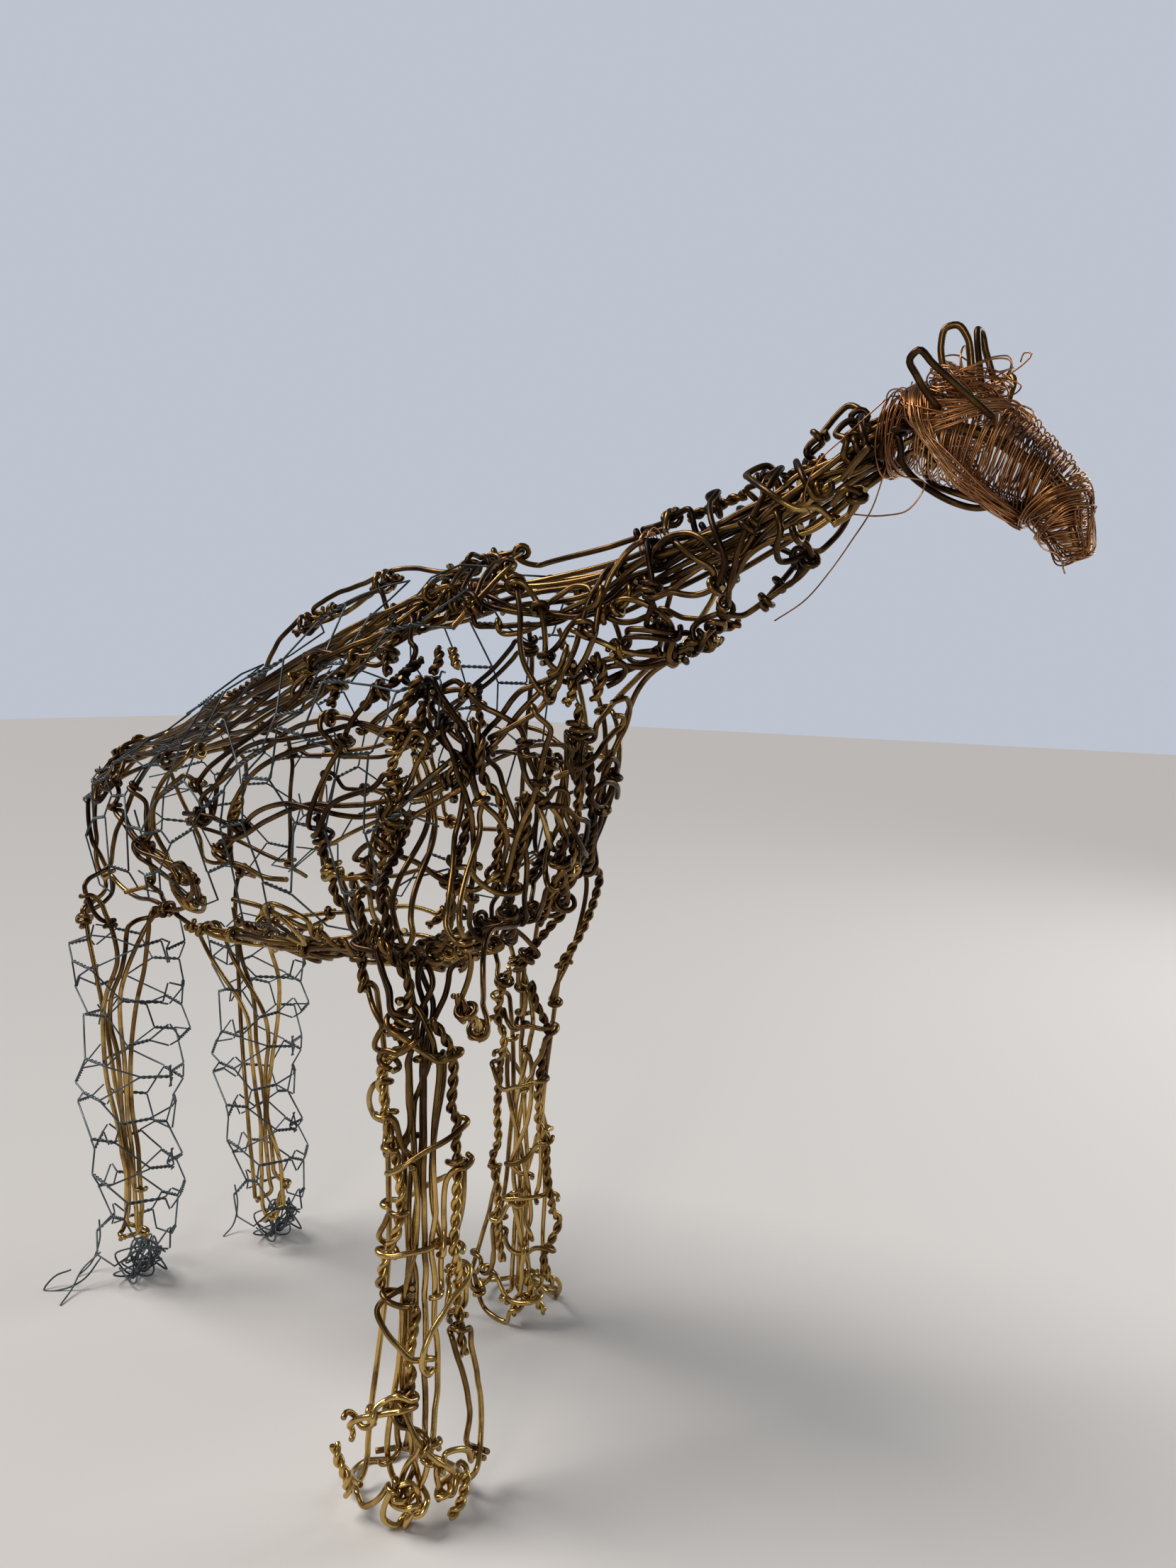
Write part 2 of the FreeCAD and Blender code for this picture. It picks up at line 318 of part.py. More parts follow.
        ("wire", [T(-138, 50, 3), T(-146, 60, 4), T(-142, 70, 4), T(-132, 70, 4), T(-128, 58, 4), T(-134, 46, 3)]),
        ("wire", [T(-124, 42, 4), T(-116, 54, 4), T(-122, 64, 4), T(-132, 62, 5), T(-130, 50, 5)]),
        ("wire", [T(-44, 108, 4), T(-36, 116, 4), T(-42, 126, 4), T(-54, 122, 4), T(-52, 112, 4)]),
        ("wire", [T(-50, 116, 6), T(-40, 122, 6), T(-32, 116, 6), T(-36, 107, 6), T(-46, 108, 6)]),
        ("wire", [T(-34, 124, 3), T(-44, 132, 3), T(-56, 130, 3), T(-58, 120, 3)]),
        ("pair", [T(-134, 40, 2), T(-144, 50, 2), T(-150, 60, 2), T(-148, 72, 2)]),
    ],
    "rump_hoops_left": [
        ("wire", [T(-150, -34, 2), T(-156, -50, 2), T(-157, -64, 2), T(-155, -78, 2), T(-150, -92, 2),
                  T(-144, -106, 2), T(-138, -120, 1), HL(222, 200, 0)]),
        ("wire", [T(-104, -50, 1), T(-110, -64, 2), T(-118, -78, 2), T(-124, -92, 2), T(-124, -106, 2),
                  T(-118, -120, 1), HL(214, 222, 0)]),
        ("wire", [T(-70, -48, 1), T(-74, -62, 1), T(-80, -76, 1), T(-82, -90, 1), T(-80, -104, 1), T(-76, -118, 1),
                  HL(218, 300, 0)]),
        ("wire", [T(-34, -56, 0), T(-46, -68, 1), T(-56, -80, 1), T(-60, -94, 1), T(-56, -108, 1), T(-48, -122, 0)]),
        ("wire", [T(-150, -96, 3), T(-134, -100, 4), T(-116, -106, 4), T(-98, -112, 3), T(-80, -118, 2)]),
    ],
    "flank_wires_right": [
        ("wire", [T(-33, 86, 0), T(-28, 77, 1), T(-19, 72, 1), T(-8, 69, 1), T(4, 67, 1), T(20, 64, 0), T(44, 56, 0)]),
        ("wire", [T(-22, 89, 1), T(-16, 83, 2), T(-4, 79, 2), T(12, 75, 2), T(28, 73, 2), T(44, 71, 2), T(62, 70, 2),
                  T(76, 71, 2), T(88, 75, 2), T(106, 82, 2)]),
        ("wire", [T(-6, 106, 1), T(-2, 97, 0), T(2, 90, 0), T(9, 84, 0), T(18, 80, 0), T(32, 78, 0), T(50, 77, -1),
                  T(66, 77, -1), T(82, 78, -1)]),
        ("pair", [T(12, 88, 2), T(8, 92, 2), T(6, 97, 2)]),
        ("wire", [T(-18, 106, 2), T(0, 101, 2), T(16, 99, 2), T(32, 97, 1), T(50, 95, 1), T(68, 96, 0), T(84, 97, 0),
                  T(100, 98, 0), T(114, 98, 0), T(128, 96, 0), T(142, 93, 0)]),
        ("wire", [T(-34, 88, 3), T(-20, 90, 3), T(-4, 93, 3), T(8, 96, 3)]),
        ("wire", [T(-14, 108, 2), T(-2, 108, 2), T(10, 112, 2), T(20, 116, 2), T(36, 118, 2)]),
        ("wire", [T(46, 58, 2), T(54, 60, 2), T(66, 64, 2)]),
        ("pair", [T(71, 54, 2), T(67, 60, 2), T(66, 67, 2)]),
        ("wire", [T(66, 68, 3), T(66, 73, 3), T(72, 77, 3)]),
        ("wire", [T(74, 52, 0), T(86, 55, 0), T(98, 57, 0)]),
        ("wire", [T(8, 136, 3), T(10, 130, 3), T(18, 127, 3), T(30, 130, 3), T(42, 138, 3)]),
        ("wire", [T(-12, 126, 1), T(4, 129, 1), T(16, 134, 1), T(32, 142, 1), T(48, 148, 1)]),
    ],
    "shoulder_wires_right": [
        ("wire", [T(119, 69, 3), T(112, 73, 3), T(108, 77, 3), T(107, 82, 3)]),
        ("pair", [T(118, 66, 5), T(112, 73, 4), T(108, 80, 3), T(110, 85, 4), T(106, 90, 4), T(110, 97, 4),
                  T(108, 104, 3), T(102, 110, 3), T(96, 117, 3)]),
        ("wire", [T(105, 93, 3), T(109, 98, 4), T(113, 102, 4), T(110, 104, 3)]),
        ("pair", [T(111, 102, 2), T(107, 105, 2), T(105, 108, 2), T(100, 107, 2)]),
        ("wire", [T(126, 79, 2), T(120, 85, 1), T(112, 92, 1), T(102, 101, 1), T(93, 108, 1), T(88, 116, 1),
                  T(83, 128, 1), T(73, 148, 1)]),
        ("wire", [T(96, 66, 4), T(88, 72, 4), T(80, 81, 4), T(71, 88, 4), T(64, 95, 3), T(62, 101, 3), T(66, 106, 3)]),
        ("pair", [T(62, 98, 2), T(65, 105, 2), T(64, 110, 2), T(68, 115, 2), T(66, 122, 2), T(69, 130, 2),
                  T(72, 142, 2), T(78, 152, 3), T(86, 162, 3)]),
        ("wire", [T(70, 116, 2), T(69, 124, 2), T(66, 134, 2), T(62, 146, 2), T(60, 158, 2)]),
        ("wire", [T(107, 91, 5), T(98, 93, 5), T(85, 94, 5), T(75, 96, 5), T(70, 101, 5), T(68, 105, 5)]),
        ("wire", [T(113, 103, 3), T(127, 101, 3), T(142, 99, 3)]),
        ("wire", [T(100, 105, 5), T(110, 112, 4), T(118, 119, 4), T(127, 128, 4)]),
        ("pair", [T(138, 108, 2), T(132, 118, 2), T(126, 128, 2), T(122, 136, 2), T(116, 144, 2), T(108, 152, 2),
                  T(98, 158, 3), T(88, 166, 4)]),
        ("wire", [T(66, 117, 4), T(73, 115, 5), T(79, 117, 5)]),
        ("pair", [T(78, 117, 3), T(79, 122, 3), T(75, 127, 3), T(76, 134, 3), T(71, 143, 3)]),
        ("wire", [T(71, 142, 5), T(74, 150, 5), T(76, 160, 4), T(75, 172, 3)]),
        ("wire", [T(101, 108, 4), T(91, 110, 4), T(84, 113, 3), T(79, 116, 2)]),
        ("wire", [T(126, 79, 4), T(134, 88, 4), T(138, 100, 4), T(139, 113, 3), T(134, 130, 3), T(124, 148, 2)]),
        ("wire", [T(128, 128, 3), T(134, 133, 3), T(141, 138, 3)]),
    ],
    "shoulder_lacing_right": [
        ("pair", [T(120, 57, 3), T(122, 61, 3), T(120, 66, 3)]),
        ("wire", [T(121, 65, 5), T(126, 71, 5), T(132, 77, 5), T(138, 83, 5), T(142, 89, 5), T(141, 94, 5)]),
        ("pair", [T(126, 57, 2), T(130, 64, 2)]),
        ("wire", [T(130, 65, 2), T(136, 72, 2), T(144, 79, 2), T(152, 86, 2), T(158, 94, 2), T(160, 104, 2),
                  T(162, 116, 2)]),
        ("pair", [T(121, 70, 2), T(128, 76, 2), T(135, 83, 2)]),
        ("wire", [T(118, 73, 0), T(127, 79, 0), T(134, 86, 0), T(139, 89, 0)]),
        ("wire", [T(116, 76, 1), T(122, 81, 1), T(130, 87, 1), T(137, 91, 1)]),
        ("pair", [T(118, 71, 2), T(117, 79, 2), T(112, 83, 2)]),
        ("wire", [T(128, 66, -1), T(116, 68, -1), T(104, 70, -1), T(90, 74, -1)]),
        ("pair", [T(88, 70, 3), T(96, 66, 3), T(106, 63, 3), T(114, 59, 3)]),
        ("pair", [T(95, 46, 2), T(94, 54, 2), T(98, 61, 2)]),
        ("wire", [T(103, 44, 2), T(104, 51, 2), T(112, 56, 2)]),
        ("pair", [T(140, 82, 4), T(143, 90, 4), T(141, 96, 3), T(144, 103, 3), T(150, 112, 3), T(149, 122, 3),
                  T(145, 132, 3), T(142, 144, 3)]),
        ("wire", [T(142, 99, 4), T(144, 106, 4), T(148, 114, 4), T(150, 122, 4), T(147, 132, 4)]),
        ("wire", [T(139, 87, 5), T(143, 92, 6), T(140, 97, 6), T(135, 94, 6)]),
        ("wire", [T(112, 84, 5), T(118, 80, 6), T(124, 83, 6), T(126, 88, 5)]),
        ("wire", [T(146, 90, 2), T(154, 90, 2), T(164, 92, 2), T(172, 94, 1)]),
    ],
    "chest_wires": [
        ("pair", [T(176, 92, 2), T(178, 98, 2), T(175, 103, 2)]),
        ("wire", [T(172, 102, 4), T(168, 109, 4), T(163, 117, 4), T(158, 124, 4), T(150, 131, 4), T(141, 139, 4)]),
        ("pair", [T(160, 118, 3), T(156, 128, 3), T(148, 136, 2), T(142, 148, 2), T(138, 162, 2), T(130, 176, 2),
                  T(120, 186, 2)]),
        ("wire", [T(133, 122, 3), T(137, 129, 4), T(141, 136, 4), T(145, 143, 4)]),
        ("wire", [T(133, 124, 2), T(129, 130, 3), T(131, 138, 3), T(136, 140, 3)]),
        ("wire", [T(165, 124, 3), T(169, 138, 3), T(171, 152, 4), T(172, 166, 4), T(168, 178, 3), T(161, 186, 2),
                  T(152, 190, 2)]),
        ("pair", [T(180, 116, 3), T(178, 130, 3), T(175, 146, 2), T(170, 160, 2), T(162, 170, 2), T(150, 178, 2),
                  T(138, 186, 2)]),
        ("wire", [T(162, 164, 3), T(154, 166, 3), T(146, 173, 2), T(138, 180, 2)]),
        ("pair", [T(161, 174, 2), T(155, 180, 2), T(149, 187, 2)]),
        ("wire", [T(158, 100, 1), T(160, 112, 1), T(163, 126, 1), T(166, 142, 1), T(164, 158, 1), T(158, 172, 1)]),
        ("wire", [T(146, 96, 0), T(150, 110, 0), T(153, 126, 0), T(152, 142, 0), T(146, 156, 0), T(138, 168, 0)]),
        ("wire", [T(133, 150, 3), T(124, 156, 3), T(114, 160, 3), T(105, 166, 3), T(98, 162, 3)]),
        ("wire", [T(176, 108, 0), T(174, 122, 0), T(170, 136, 0), T(164, 150, 0), T(156, 160, 0)]),
        ("wire", [T(178, 180, 1), T(170, 190, 1), T(160, 198, 1), T(150, 206, 1), T(140, 212, 1)]),
        ("wire", [T(182, 128, 1), T(176, 142, 1), T(172, 160, 0), T(170, 176, 0), T(172, 192, 0)]),
    ],
    "chest_coils": [
        ("wire", [T(176, 120, 4), T(178, 128, 7), T(177, 136, 4), T(174, 130, 2), T(174, 121, 5), T(176, 128, 8),
                  T(175, 137, 5)]),
        ("wire", [T(178, 156, 3), T(182, 164, 8), T(182, 178, 8), T(177, 184, 4), T(174, 174, 2), T(176, 160, 6),
                  T(180, 166, 11), T(180, 182, 11), T(176, 196, 7)]),
        ("wire", [T(170, 126, 5), T(176, 138, 5), T(183, 156, 6), T(189, 172, 8), T(188, 160, 7)]),
        ("wire", [T(188, 150, 4), T(191, 164, 5), T(188, 178, 5), T(183, 172, 6)]),
        ("wire", [T(174, 78, 3), T(178, 84, 5), T(176, 91, 5), T(171, 86, 4)]),
        ("pair", [T(186, 106, 2), T(188, 118, 2), T(184, 128, 2)]),
    ],
    "belly_wires": [
        ("wire", [T(-50, 180, 2), T(-34, 179, 2), T(-18, 178, 2), T(0, 178, 2)]),
        ("wire", [T(-24, 168, 0), T(-16, 161, 0), T(0, 158, 0), T(20, 157, 0), T(36, 153, 0), T(52, 151, 0)]),
        ("wire", [T(6, 182, 3), T(22, 181, 3), T(38, 178, 3), T(58, 177, 3), T(76, 178, 4)]),
        ("wire", [T(80, 176, 6), T(92, 181, 7), T(98, 176, 5), T(97, 164, 4)]),
        ("wire", [T(50, 152, 2), T(62, 160, 2), T(72, 168, 2), T(84, 172, 2), T(96, 170, 2), T(108, 166, 2)]),
        ("pair", [T(50, 206, 1), T(62, 216, 1), T(76, 212, 1), T(90, 208, 1), T(104, 214, 1)]),
        ("wire", [T(-60, 200, 0), T(-40, 206, 0), T(-18, 210, 0), T(6, 214, 0), T(30, 216, 0), T(52, 212, 0)]),
        ("pair", [T(60, 188, 1), T(68, 196, 1), T(76, 204, 1)]),
        ("wire", [T(64, 176, 1), T(72, 190, 1), T(84, 198, 1), T(98, 204, 1), T(112, 208, 1)]),
        ("wire", [T(-46, 150, 1), T(-38, 170, 1), T(-30, 190, 1), T(-24, 208, 1)]),
        ("wire", [T(14, 150, 2), T(18, 168, 2), T(20, 186, 2), T(22, 204, 2)]),
        ("wire", [T(-78, 148, 1), T(-56, 158, 2), T(-32, 162, 2), T(-6, 160, 2), T(20, 164, 2), T(46, 162, 3),
                  T(72, 166, 3), T(98, 170, 3)]),
        ("wire", [T(-70, 196, 1), T(-40, 190, 1), T(-10, 186, 2), T(22, 188, 2), T(54, 190, 2), T(86, 188, 2),
                  T(112, 182, 1)]),
    ],
    "belly_knots": [
        ("wire", [T(-8, 166, 4), T(-4, 178, 6), T(4, 176, 7), T(5, 164, 5), T(-2, 160, 4)]),
        ("wire", [T(2, 170, 5), T(10, 178, 6), T(14, 168, 5), T(8, 160, 4)]),
        ("wire", [T(76, 170, 6), T(80, 184, 9), T(86, 178, 9), T(84, 166, 6)]),
        ("pair", [T(-16, 136, 3), T(-6, 142, 3), T(4, 140, 3)]),
        ("wire", [T(22, 132, 4), T(26, 142, 4), T(22, 150, 4), T(16, 144, 4)]),
    ],
    "flank_wires_left": [
        ("wire", [T(-60, -62, 0), T(-36, -66, 0), T(-10, -68, 1), T(18, -66, 1), T(46, -62, 0), T(74, -56, 0),
                  T(98, -48, 0)]),
        ("wire", [T(-40, -84, 1), T(-14, -88, 1), T(14, -90, 1), T(42, -86, 1), T(70, -84, 1), T(98, -88, 1),
                  T(122, -94, 1)]),
        ("wire", [T(-52, -112, 1), T(-28, -104, 1), T(-2, -100, 1), T(26, -104, 1), T(54, -110, 1), T(80, -112, 1)]),
        ("wire", [T(-20, -122, 0), T(4, -128, 0), T(28, -126, 0), T(52, -132, 0), T(76, -138, 0)]),
        ("wire", [T(30, -48, 2), T(24, -62, 3), T(20, -78, 3), T(26, -94, 3), T(34, -108, 3)]),
        ("pair", [T(60, -58, 2), T(56, -66, 2), T(58, -74, 2)]),
    ],
    "shoulder_wires_left": [
        ("wire", [T(104, -40, 2), T(98, -54, 3), T(90, -70, 3), T(84, -86, 3), T(84, -102, 3), T(90, -118, 2)]),
        ("wire", [T(122, -46, 2), T(126, -62, 2), T(130, -78, 3), T(132, -94, 3), T(128, -110, 3), T(118, -126, 2)]),
        ("pair", [T(98, -84, 3), T(102, -92, 3), T(100, -100, 3)]),
        ("wire", [T(100, -102, 2), T(96, -114, 2), T(90, -128, 2), T(84, -142, 1)]),
        ("wire", [T(66, -70, 4), T(80, -76, 4), T(94, -80, 5), T(110, -86, 4), T(126, -92, 4), T(142, -96, 3)]),
        ("wire", [T(140, -70, 2), T(146, -86, 3), T(148, -102, 3), T(144, -118, 3), T(138, -134, 2)]),
        ("pair", [T(112, -116, 2), T(108, -124, 2), T(104, -134, 2)]),
        ("wire", [T(150, -80, 2), T(158, -94, 2), T(162, -110, 2), T(160, -128, 2), T(154, -146, 2)]),
        ("wire", [T(104, -132, 3), T(112, -144, 3), T(124, -152, 3), T(136, -158, 3)]),
    ],
    "fore_leg_hangers": [
        ("wire", [T(118, 88, -3), T(119, 97, -3), T(121, 106, -2), FR(244, 70, -4), FR(231, 64, -4)]),
        ("wire", [T(136, 92, -2), T(134, 101, -2), T(131, 110, -2), FR(242, 34, -4), FR(229, 34, -5)]),
        ("pair", [T(102, 99, 2), T(106, 106, 2), FR(250, 92, 2), FR(240, 88, 1), FR(232, 86, 1)]),
        ("wire", [T(142, 104, 2), T(140, 114, 2), FR(240, 22, 1), FR(228, 6, 1), FR(214, 8, 1), FR(204, 18, 1)]),
        ("pair", [T(178, 140, 2), T(175, 162, 2), T(168, 182, 2), T(158, 200, 2), T(146, 216, 2), FL(240, 330, 4),
                  FL(226, 350, 3), FL(212, 12, 3), FL(198, 34, 2)]),
        ("pair", [T(164, 150, 3), T(158, 172, 3), T(148, 190, 3), T(136, 204, 2), T(124, 212, 2), FL(236, 20, 4),
                  FL(222, 44, 3), FL(208, 66, 2), FL(196, 88, 2)]),
        ("pair", [T(88, 112, 3), T(94, 122, 3), T(100, 134, 3), FR(250, 128, 2), FR(238, 122, 2), FR(224, 128, 2),
                  FR(210, 124, 2)]),
        ("wire", [T(140, -128, 1), T(134, -146, 0), FR(226, -20, 1), FR(216, -16, 3), FR(208, -30, 3),
                  FR(200, -46, 4)]),
        ("wire", [T(98, -96, 0), T(99, -106, 0), T(101, -118, 0), FL(232, 252, -3), FL(214, 240, -4),
                  FL(194, 230, -5)]),
        ("wire", [T(116, -98, 0), T(114, -110, 0), FL(240, 320, -2), FL(218, 350, -2), FL(200, 14, -1),
                  FL(190, 30, 0)]),
        ("wire", [T(84, -102, 0), T(86, -114, 0), FL(238, 206, -3), FL(216, 170, -2), FL(200, 134, 0),
                  FL(190, 112, 1)]),
        ("wire", [T(112, 172, 1), T(106, 190, 1), FL(212, 96, 2), FL(200, 86, 2), FL(188, 84, 1)]),
        ("wire", [T(124, 160, 1), T(118, 180, 1), T(112, 200, 1), FL(206, 58, 2), FL(194, 50, 2)]),
        ("wire", [T(110, 82, -6), T(112, 92, -6), T(116, 102, -6), FR(246, 96, -6), FR(232, 84, -6),
                  FR(216, 74, -7), FR(200, 66, -10), FR(182, 62, -12)]),
    ],
    "neck_core_wires": [
        ("wire", [T(104, 18, -4), T(128, 22, -4), T(154, 26, -5), T(182, 34, -6), T(210, 40, -6), T(238, 40, -6),
                  T(264, 36, -6), T(288, 30, -6), T(308, 30, -7)]),
        ("wire", [T(96, 30, -3), T(122, 34, -4), T(150, 38, -5), T(178, 50, -5), T(206, 58, -5), T(234, 56, -5),
                  T(262, 52, -6), T(286, 54, -6), T(308, 60, -6)]),
        ("wire", [T(112, 8, -7), T(138, 8, -8), T(166, 10, -9), T(194, 10, -10), T(222, 12, -10), T(250, 8, -9),
                  T(278, 4, -9), T(304, 0, -9)]),
        ("wire", [T(116, -14, -4), T(142, -18, -4), T(170, -22, -4), T(198, -26, -5), T(226, -28, -5), T(254, -30, -5),
                  T(280, -34, -6), T(306, -40, -6)]),
        ("wire", [T(130, 46, -3), T(156, 52, -4), T(182, 64, -4), T(208, 74, -3), T(234, 72, -3), T(258, 74, -4),
                  T(282, 82, -5), T(306, 92, -5)]),
        ("wire", [T(134, -36, -4), T(160, -44, -4), T(188, -54, -4), T(216, -62, -4), T(244, -64, -4), T(270, -70, -5),
                  T(296, -80, -6)]),
        ("wire", [T(206, 92, -6), T(230, 92, -7), T(254, 96, -7), T(276, 104, -6), T(298, 112, -6)]),
        ("wire", [T(214, -92, -6), T(238, -90, -7), T(262, -96, -7), T(284, -104, -6), T(304, -112, -6)]),
    ],
    "neck_top_wires": [
        ("wire", [T(136, -4, 1), T(156, 4, 1), T(178, 8, 1), T(192, 4, 2), T(203, 0, 2)]),
        ("wire", [T(199, 4, 4), T(211, 14, 3), T(222, 26, 3)]),
        ("pair", [T(218, 20, 2), T(228, 4, 2), T(239, -2, 2)]),
        ("wire", [T(238, -6, 4), T(248, 2, 3), T(257, 6, 3)]),
        ("pair", [T(256, 8, 1), T(264, 2, 1), T(272, 2, 1)]),
        ("wire", [T(261, -16, 6), T(267, -2, 5), T(276, 8, 3)]),
        ("wire", [T(265, 14, 2), T(268, 4, 7), T(273, -2, 12), T(279, -6, 16), T(284, -6, 15), T(288, 6, 8)]),
        ("pair", [T(282, 22, 1), T(289, 12, 2), T(296, 2, 2), T(301, -4, 2)]),
        ("wire", [T(266, 30, 3), T(271, 60, 3), T(275, 88, 3), T(277, 104, 2)]),
        ("wire", [T(281, -30, 2), T(285, -8, 4), T(289, 18, 3), T(291, 44, 2)]),
        ("wire", [T(288, 62, 3), T(283, 40, 4), T(287, 22, 4), T(293, 34, 4)]),
    ],
    "neck_lacing_right": [
        ("wire", [T(236, 4, 5), T(233, 20, 5), T(233, 38, 4), T(237, 62, 4), T(242, 86, 4), T(245, 108, 4),
                  T(240, 122, 4), T(231, 120, 4), T(222, 108, 4), T(215, 94, 4)]),
        ("wire", [T(238, 4, 7), T(244, 22, 6), T(253, 46, 5), T(259, 64, 5), T(266, 86, 5), T(273, 108, 5),
                  T(279, 120, 5), T(285, 124, 5)]),
        ("wire", [T(256, 10, 4), T(259, 30, 3), T(258, 54, 3), T(255, 76, 2), T(251, 96, 2), T(246, 112, 2),
                  T(242, 132, 2), T(238, 158, 2), T(234, 176, 2)]),
        ("wire", [T(209, 56, 4), T(213, 76, 4), T(215, 98, 4), T(213, 118, 4), T(208, 136, 4)]),
        ("wire", [T(209, 66, 2), T(218, 56, 2), T(227, 62, 2), T(235, 78, 2), T(241, 96, 2), T(247, 108, 1),
                  T(252, 102, 1), T(256, 90, 2)]),
        ("wire", [T(213, 96, 2), T(213, 114, 2), T(214, 138, 2), T(215, 162, 2)]),
        ("wire", [T(200, 94, 2), T(208, 106, 2), T(214, 124, 3), T(216, 146, 3), T(216, 164, 3)]),
        ("wire", [T(200, 118, 4), T(206, 122, 5), T(213, 130, 4), T(219, 146, 4), T(226, 166, 4)]),
        ("wire", [T(203, 122, 6), T(209, 127, 6), T(215, 136, 6), T(222, 152, 5)]),
        ("wire", [T(148, 38, 2), T(156, 44, 3), T(164, 60, 3), T(171, 84, 3), T(178, 96, 3), T(186, 100, 3),
                  T(190, 84, 3), T(193, 66, 3), T(199, 54, 3), T(207, 52, 3)]),
        ("wire", [T(140, 24, 4), T(152, 48, 4), T(160, 74, 4), T(170, 92, 4), T(180, 92, 4), T(186, 72, 3),
                  T(190, 50, 2)]),
        ("wire", [T(170, 76, 2), T(178, 70, 2), T(186, 78, 2), T(192, 94, 2), T(198, 108, 2), T(205, 116, 2)]),
        ("wire", [T(163, 50, 1), T(172, 46, 1), T(181, 56, 1), T(187, 76, 1), T(193, 92, 1)]),
        ("wire", [T(267, 160, 2), T(262, 142, 3), T(263, 122, 3), T(267, 104, 2)]),
        ("wire", [T(208, 20, 1), T(214, 44, 1), T(222, 66, 0), T(231, 90, 0), T(238, 110, 0)]),
    ],
    "neck_lacing_left": [
        ("wire", [T(148, -30, 2), T(158, -50, 3), T(168, -76, 3), T(180, -92, 3), T(190, -74, 3), T(200, -54, 3),
                  T(212, -60, 3), T(222, -84, 3), T(230, -108, 3)]),
        ("wire", [T(236, -6, 3), T(232, -26, 3), T(233, -50, 3), T(240, -74, 3), T(249, -96, 3), T(256, -116, 3),
                  T(254, -140, 3)]),
        ("wire", [T(198, -100, 2), T(208, -112, 3), T(218, -128, 3), T(226, -146, 3), T(230, -166, 2)]),
        ("wire", [T(258, -24, 3), T(262, -48, 3), T(259, -76, 3), T(253, -102, 3), T(247, -128, 2), T(242, -152, 2)]),
        ("wire", [T(206, -38, 2), T(214, -62, 2), T(214, -88, 2), T(208, -114, 2), T(202, -140, 2)]),
        ("wire", [T(268, -34, 2), T(274, -60, 3), T(276, -90, 3), T(272, -118, 3), T(264, -144, 2)]),
    ],
    "neck_throat_wires": [
        ("wire", [T(182, 114, 2), T(188, 130, 2), T(195, 150, 2), T(203, 168, 2), T(212, 176, 2), T(222, 172, 3)]),
        ("wire", [T(182, 140, 1), T(190, 162, 1), T(200, 176, 1), T(211, 182, 2), T(222, 184, 2)]),
        ("wire", [T(174, 176, 1), T(184, 180, 1), T(194, 184, 1), T(206, 188, 2), T(218, 190, 2)]),
        ("wire", [T(236, 160, 3), T(243, 168, 4), T(250, 176, 4), T(257, 180, 4), T(264, 180, 5), T(270, 170, 5),
                  T(272, 152, 4), T(271, 132, 2)]),
        ("wire", [T(240, 142, 1), T(245, 126, 1), T(251, 116, 2), T(258, 116, 2), T(266, 124, 3), T(275, 136, 4),
                  T(283, 140, 5), T(290, 134, 5)]),
        ("wire", [T(245, 132, -1), T(251, 114, -1), T(257, 104, -1), T(264, 98, -2), T(272, 94, -2)]),
        ("wire", [T(183, 87, 3), T(189, 104, 3), T(195, 126, 3), T(203, 150, 3), T(213, 164, 4), T(224, 168, 5)]),
        ("wire", [T(128, 96, 2), T(139, 93, 2), T(150, 90, 1), T(161, 86, 1), T(170, 86, 1), T(178, 92, 1)]),
        ("wire", [T(176, 96, -1), T(184, 110, -1), T(192, 130, 0), T(200, 148, 0), T(209, 162, 1)]),
        ("wire", [T(186, 88, 0), T(195, 94, 0), T(204, 98, 0)]),
    ],
    "neck_knots": [
        ("pair", [T(214, 180, 3), T(221, 188, 4), T(228, 188, 5)]),
        ("pair", [T(225, 172, 3), T(232, 178, 3), T(238, 182, 4)]),
        ("wire", [T(221, 168, 3), T(224, 158, 6), T(229, 162, 7), T(229, 172, 5), T(224, 174, 5)]),
        ("wire", [T(229, 160, 4), T(233, 152, 6), T(237, 158, 6), T(235, 168, 5)]),
        ("wire", [T(194, 128, 3), T(197, 138, 5), T(193, 146, 5), T(189, 138, 4)]),
        ("wire", [T(284, 124, 7), T(290, 120, 8), T(293, 132, 8), T(289, 144, 8), T(283, 140, 8)]),
        ("wire", [T(284, 104, 4), T(288, 98, 6), T(291, 108, 7), T(287, 118, 6), T(282, 112, 5)]),
        ("wire", [T(288, 110, 5), T(293, 102, 6), T(298, 96, 7)]),
        ("wire", [T(188, 70, 3), T(192, 76, 5), T(190, 84, 5), T(185, 78, 4)]),
    ],
    "jaw_wires": [
        ("wire", [T(300, 90, 0), K(8, 84, 1), K(12, 96, 1), K(15, 138, 2), K(20, 170, 3), K(28, 186, 4),
                  K(38, 190, 4.5), K(48, 186, 4), K(58, 178, 3), K(68, 168, 2)]),
        ("wire", [T(300, -90, 0), K(8, -84, 1), K(13, -104, 1), K(17, -140, 2), K(24, -164, 3), K(34, -172, 3),
                  K(46, -172, 2), K(58, -168, 1), K(70, -160, 0)]),
        ("wire", [K(3, 40, -4), K(18, 46, -5), K(32, 50, -6), K(46, 52, -6), K(58, 54, -4), K(70, 54, -2),
                  K(80, 60, -0.5), K(88, 66, 0.8), K(94, 72, 0.8)]),
        ("wire", [K(5, -40, -4), K(20, -46, -5), K(36, -52, -6), K(52, -56, -5), K(66, -60, -2), K(80, -58, -1)]),
        ("wire", [K(10, 0, -7), K(24, 4, -7), K(38, 6, -8), K(52, 6, -6), K(64, 4, -3), K(78, 2, -2)]),
    ],
    "right_ear_loop": [
        ("wire", [P(321, -18, 440), P(319, -25, 444), P(317, -31, 449), P(316, -36, 454), P(319, -37, 456),
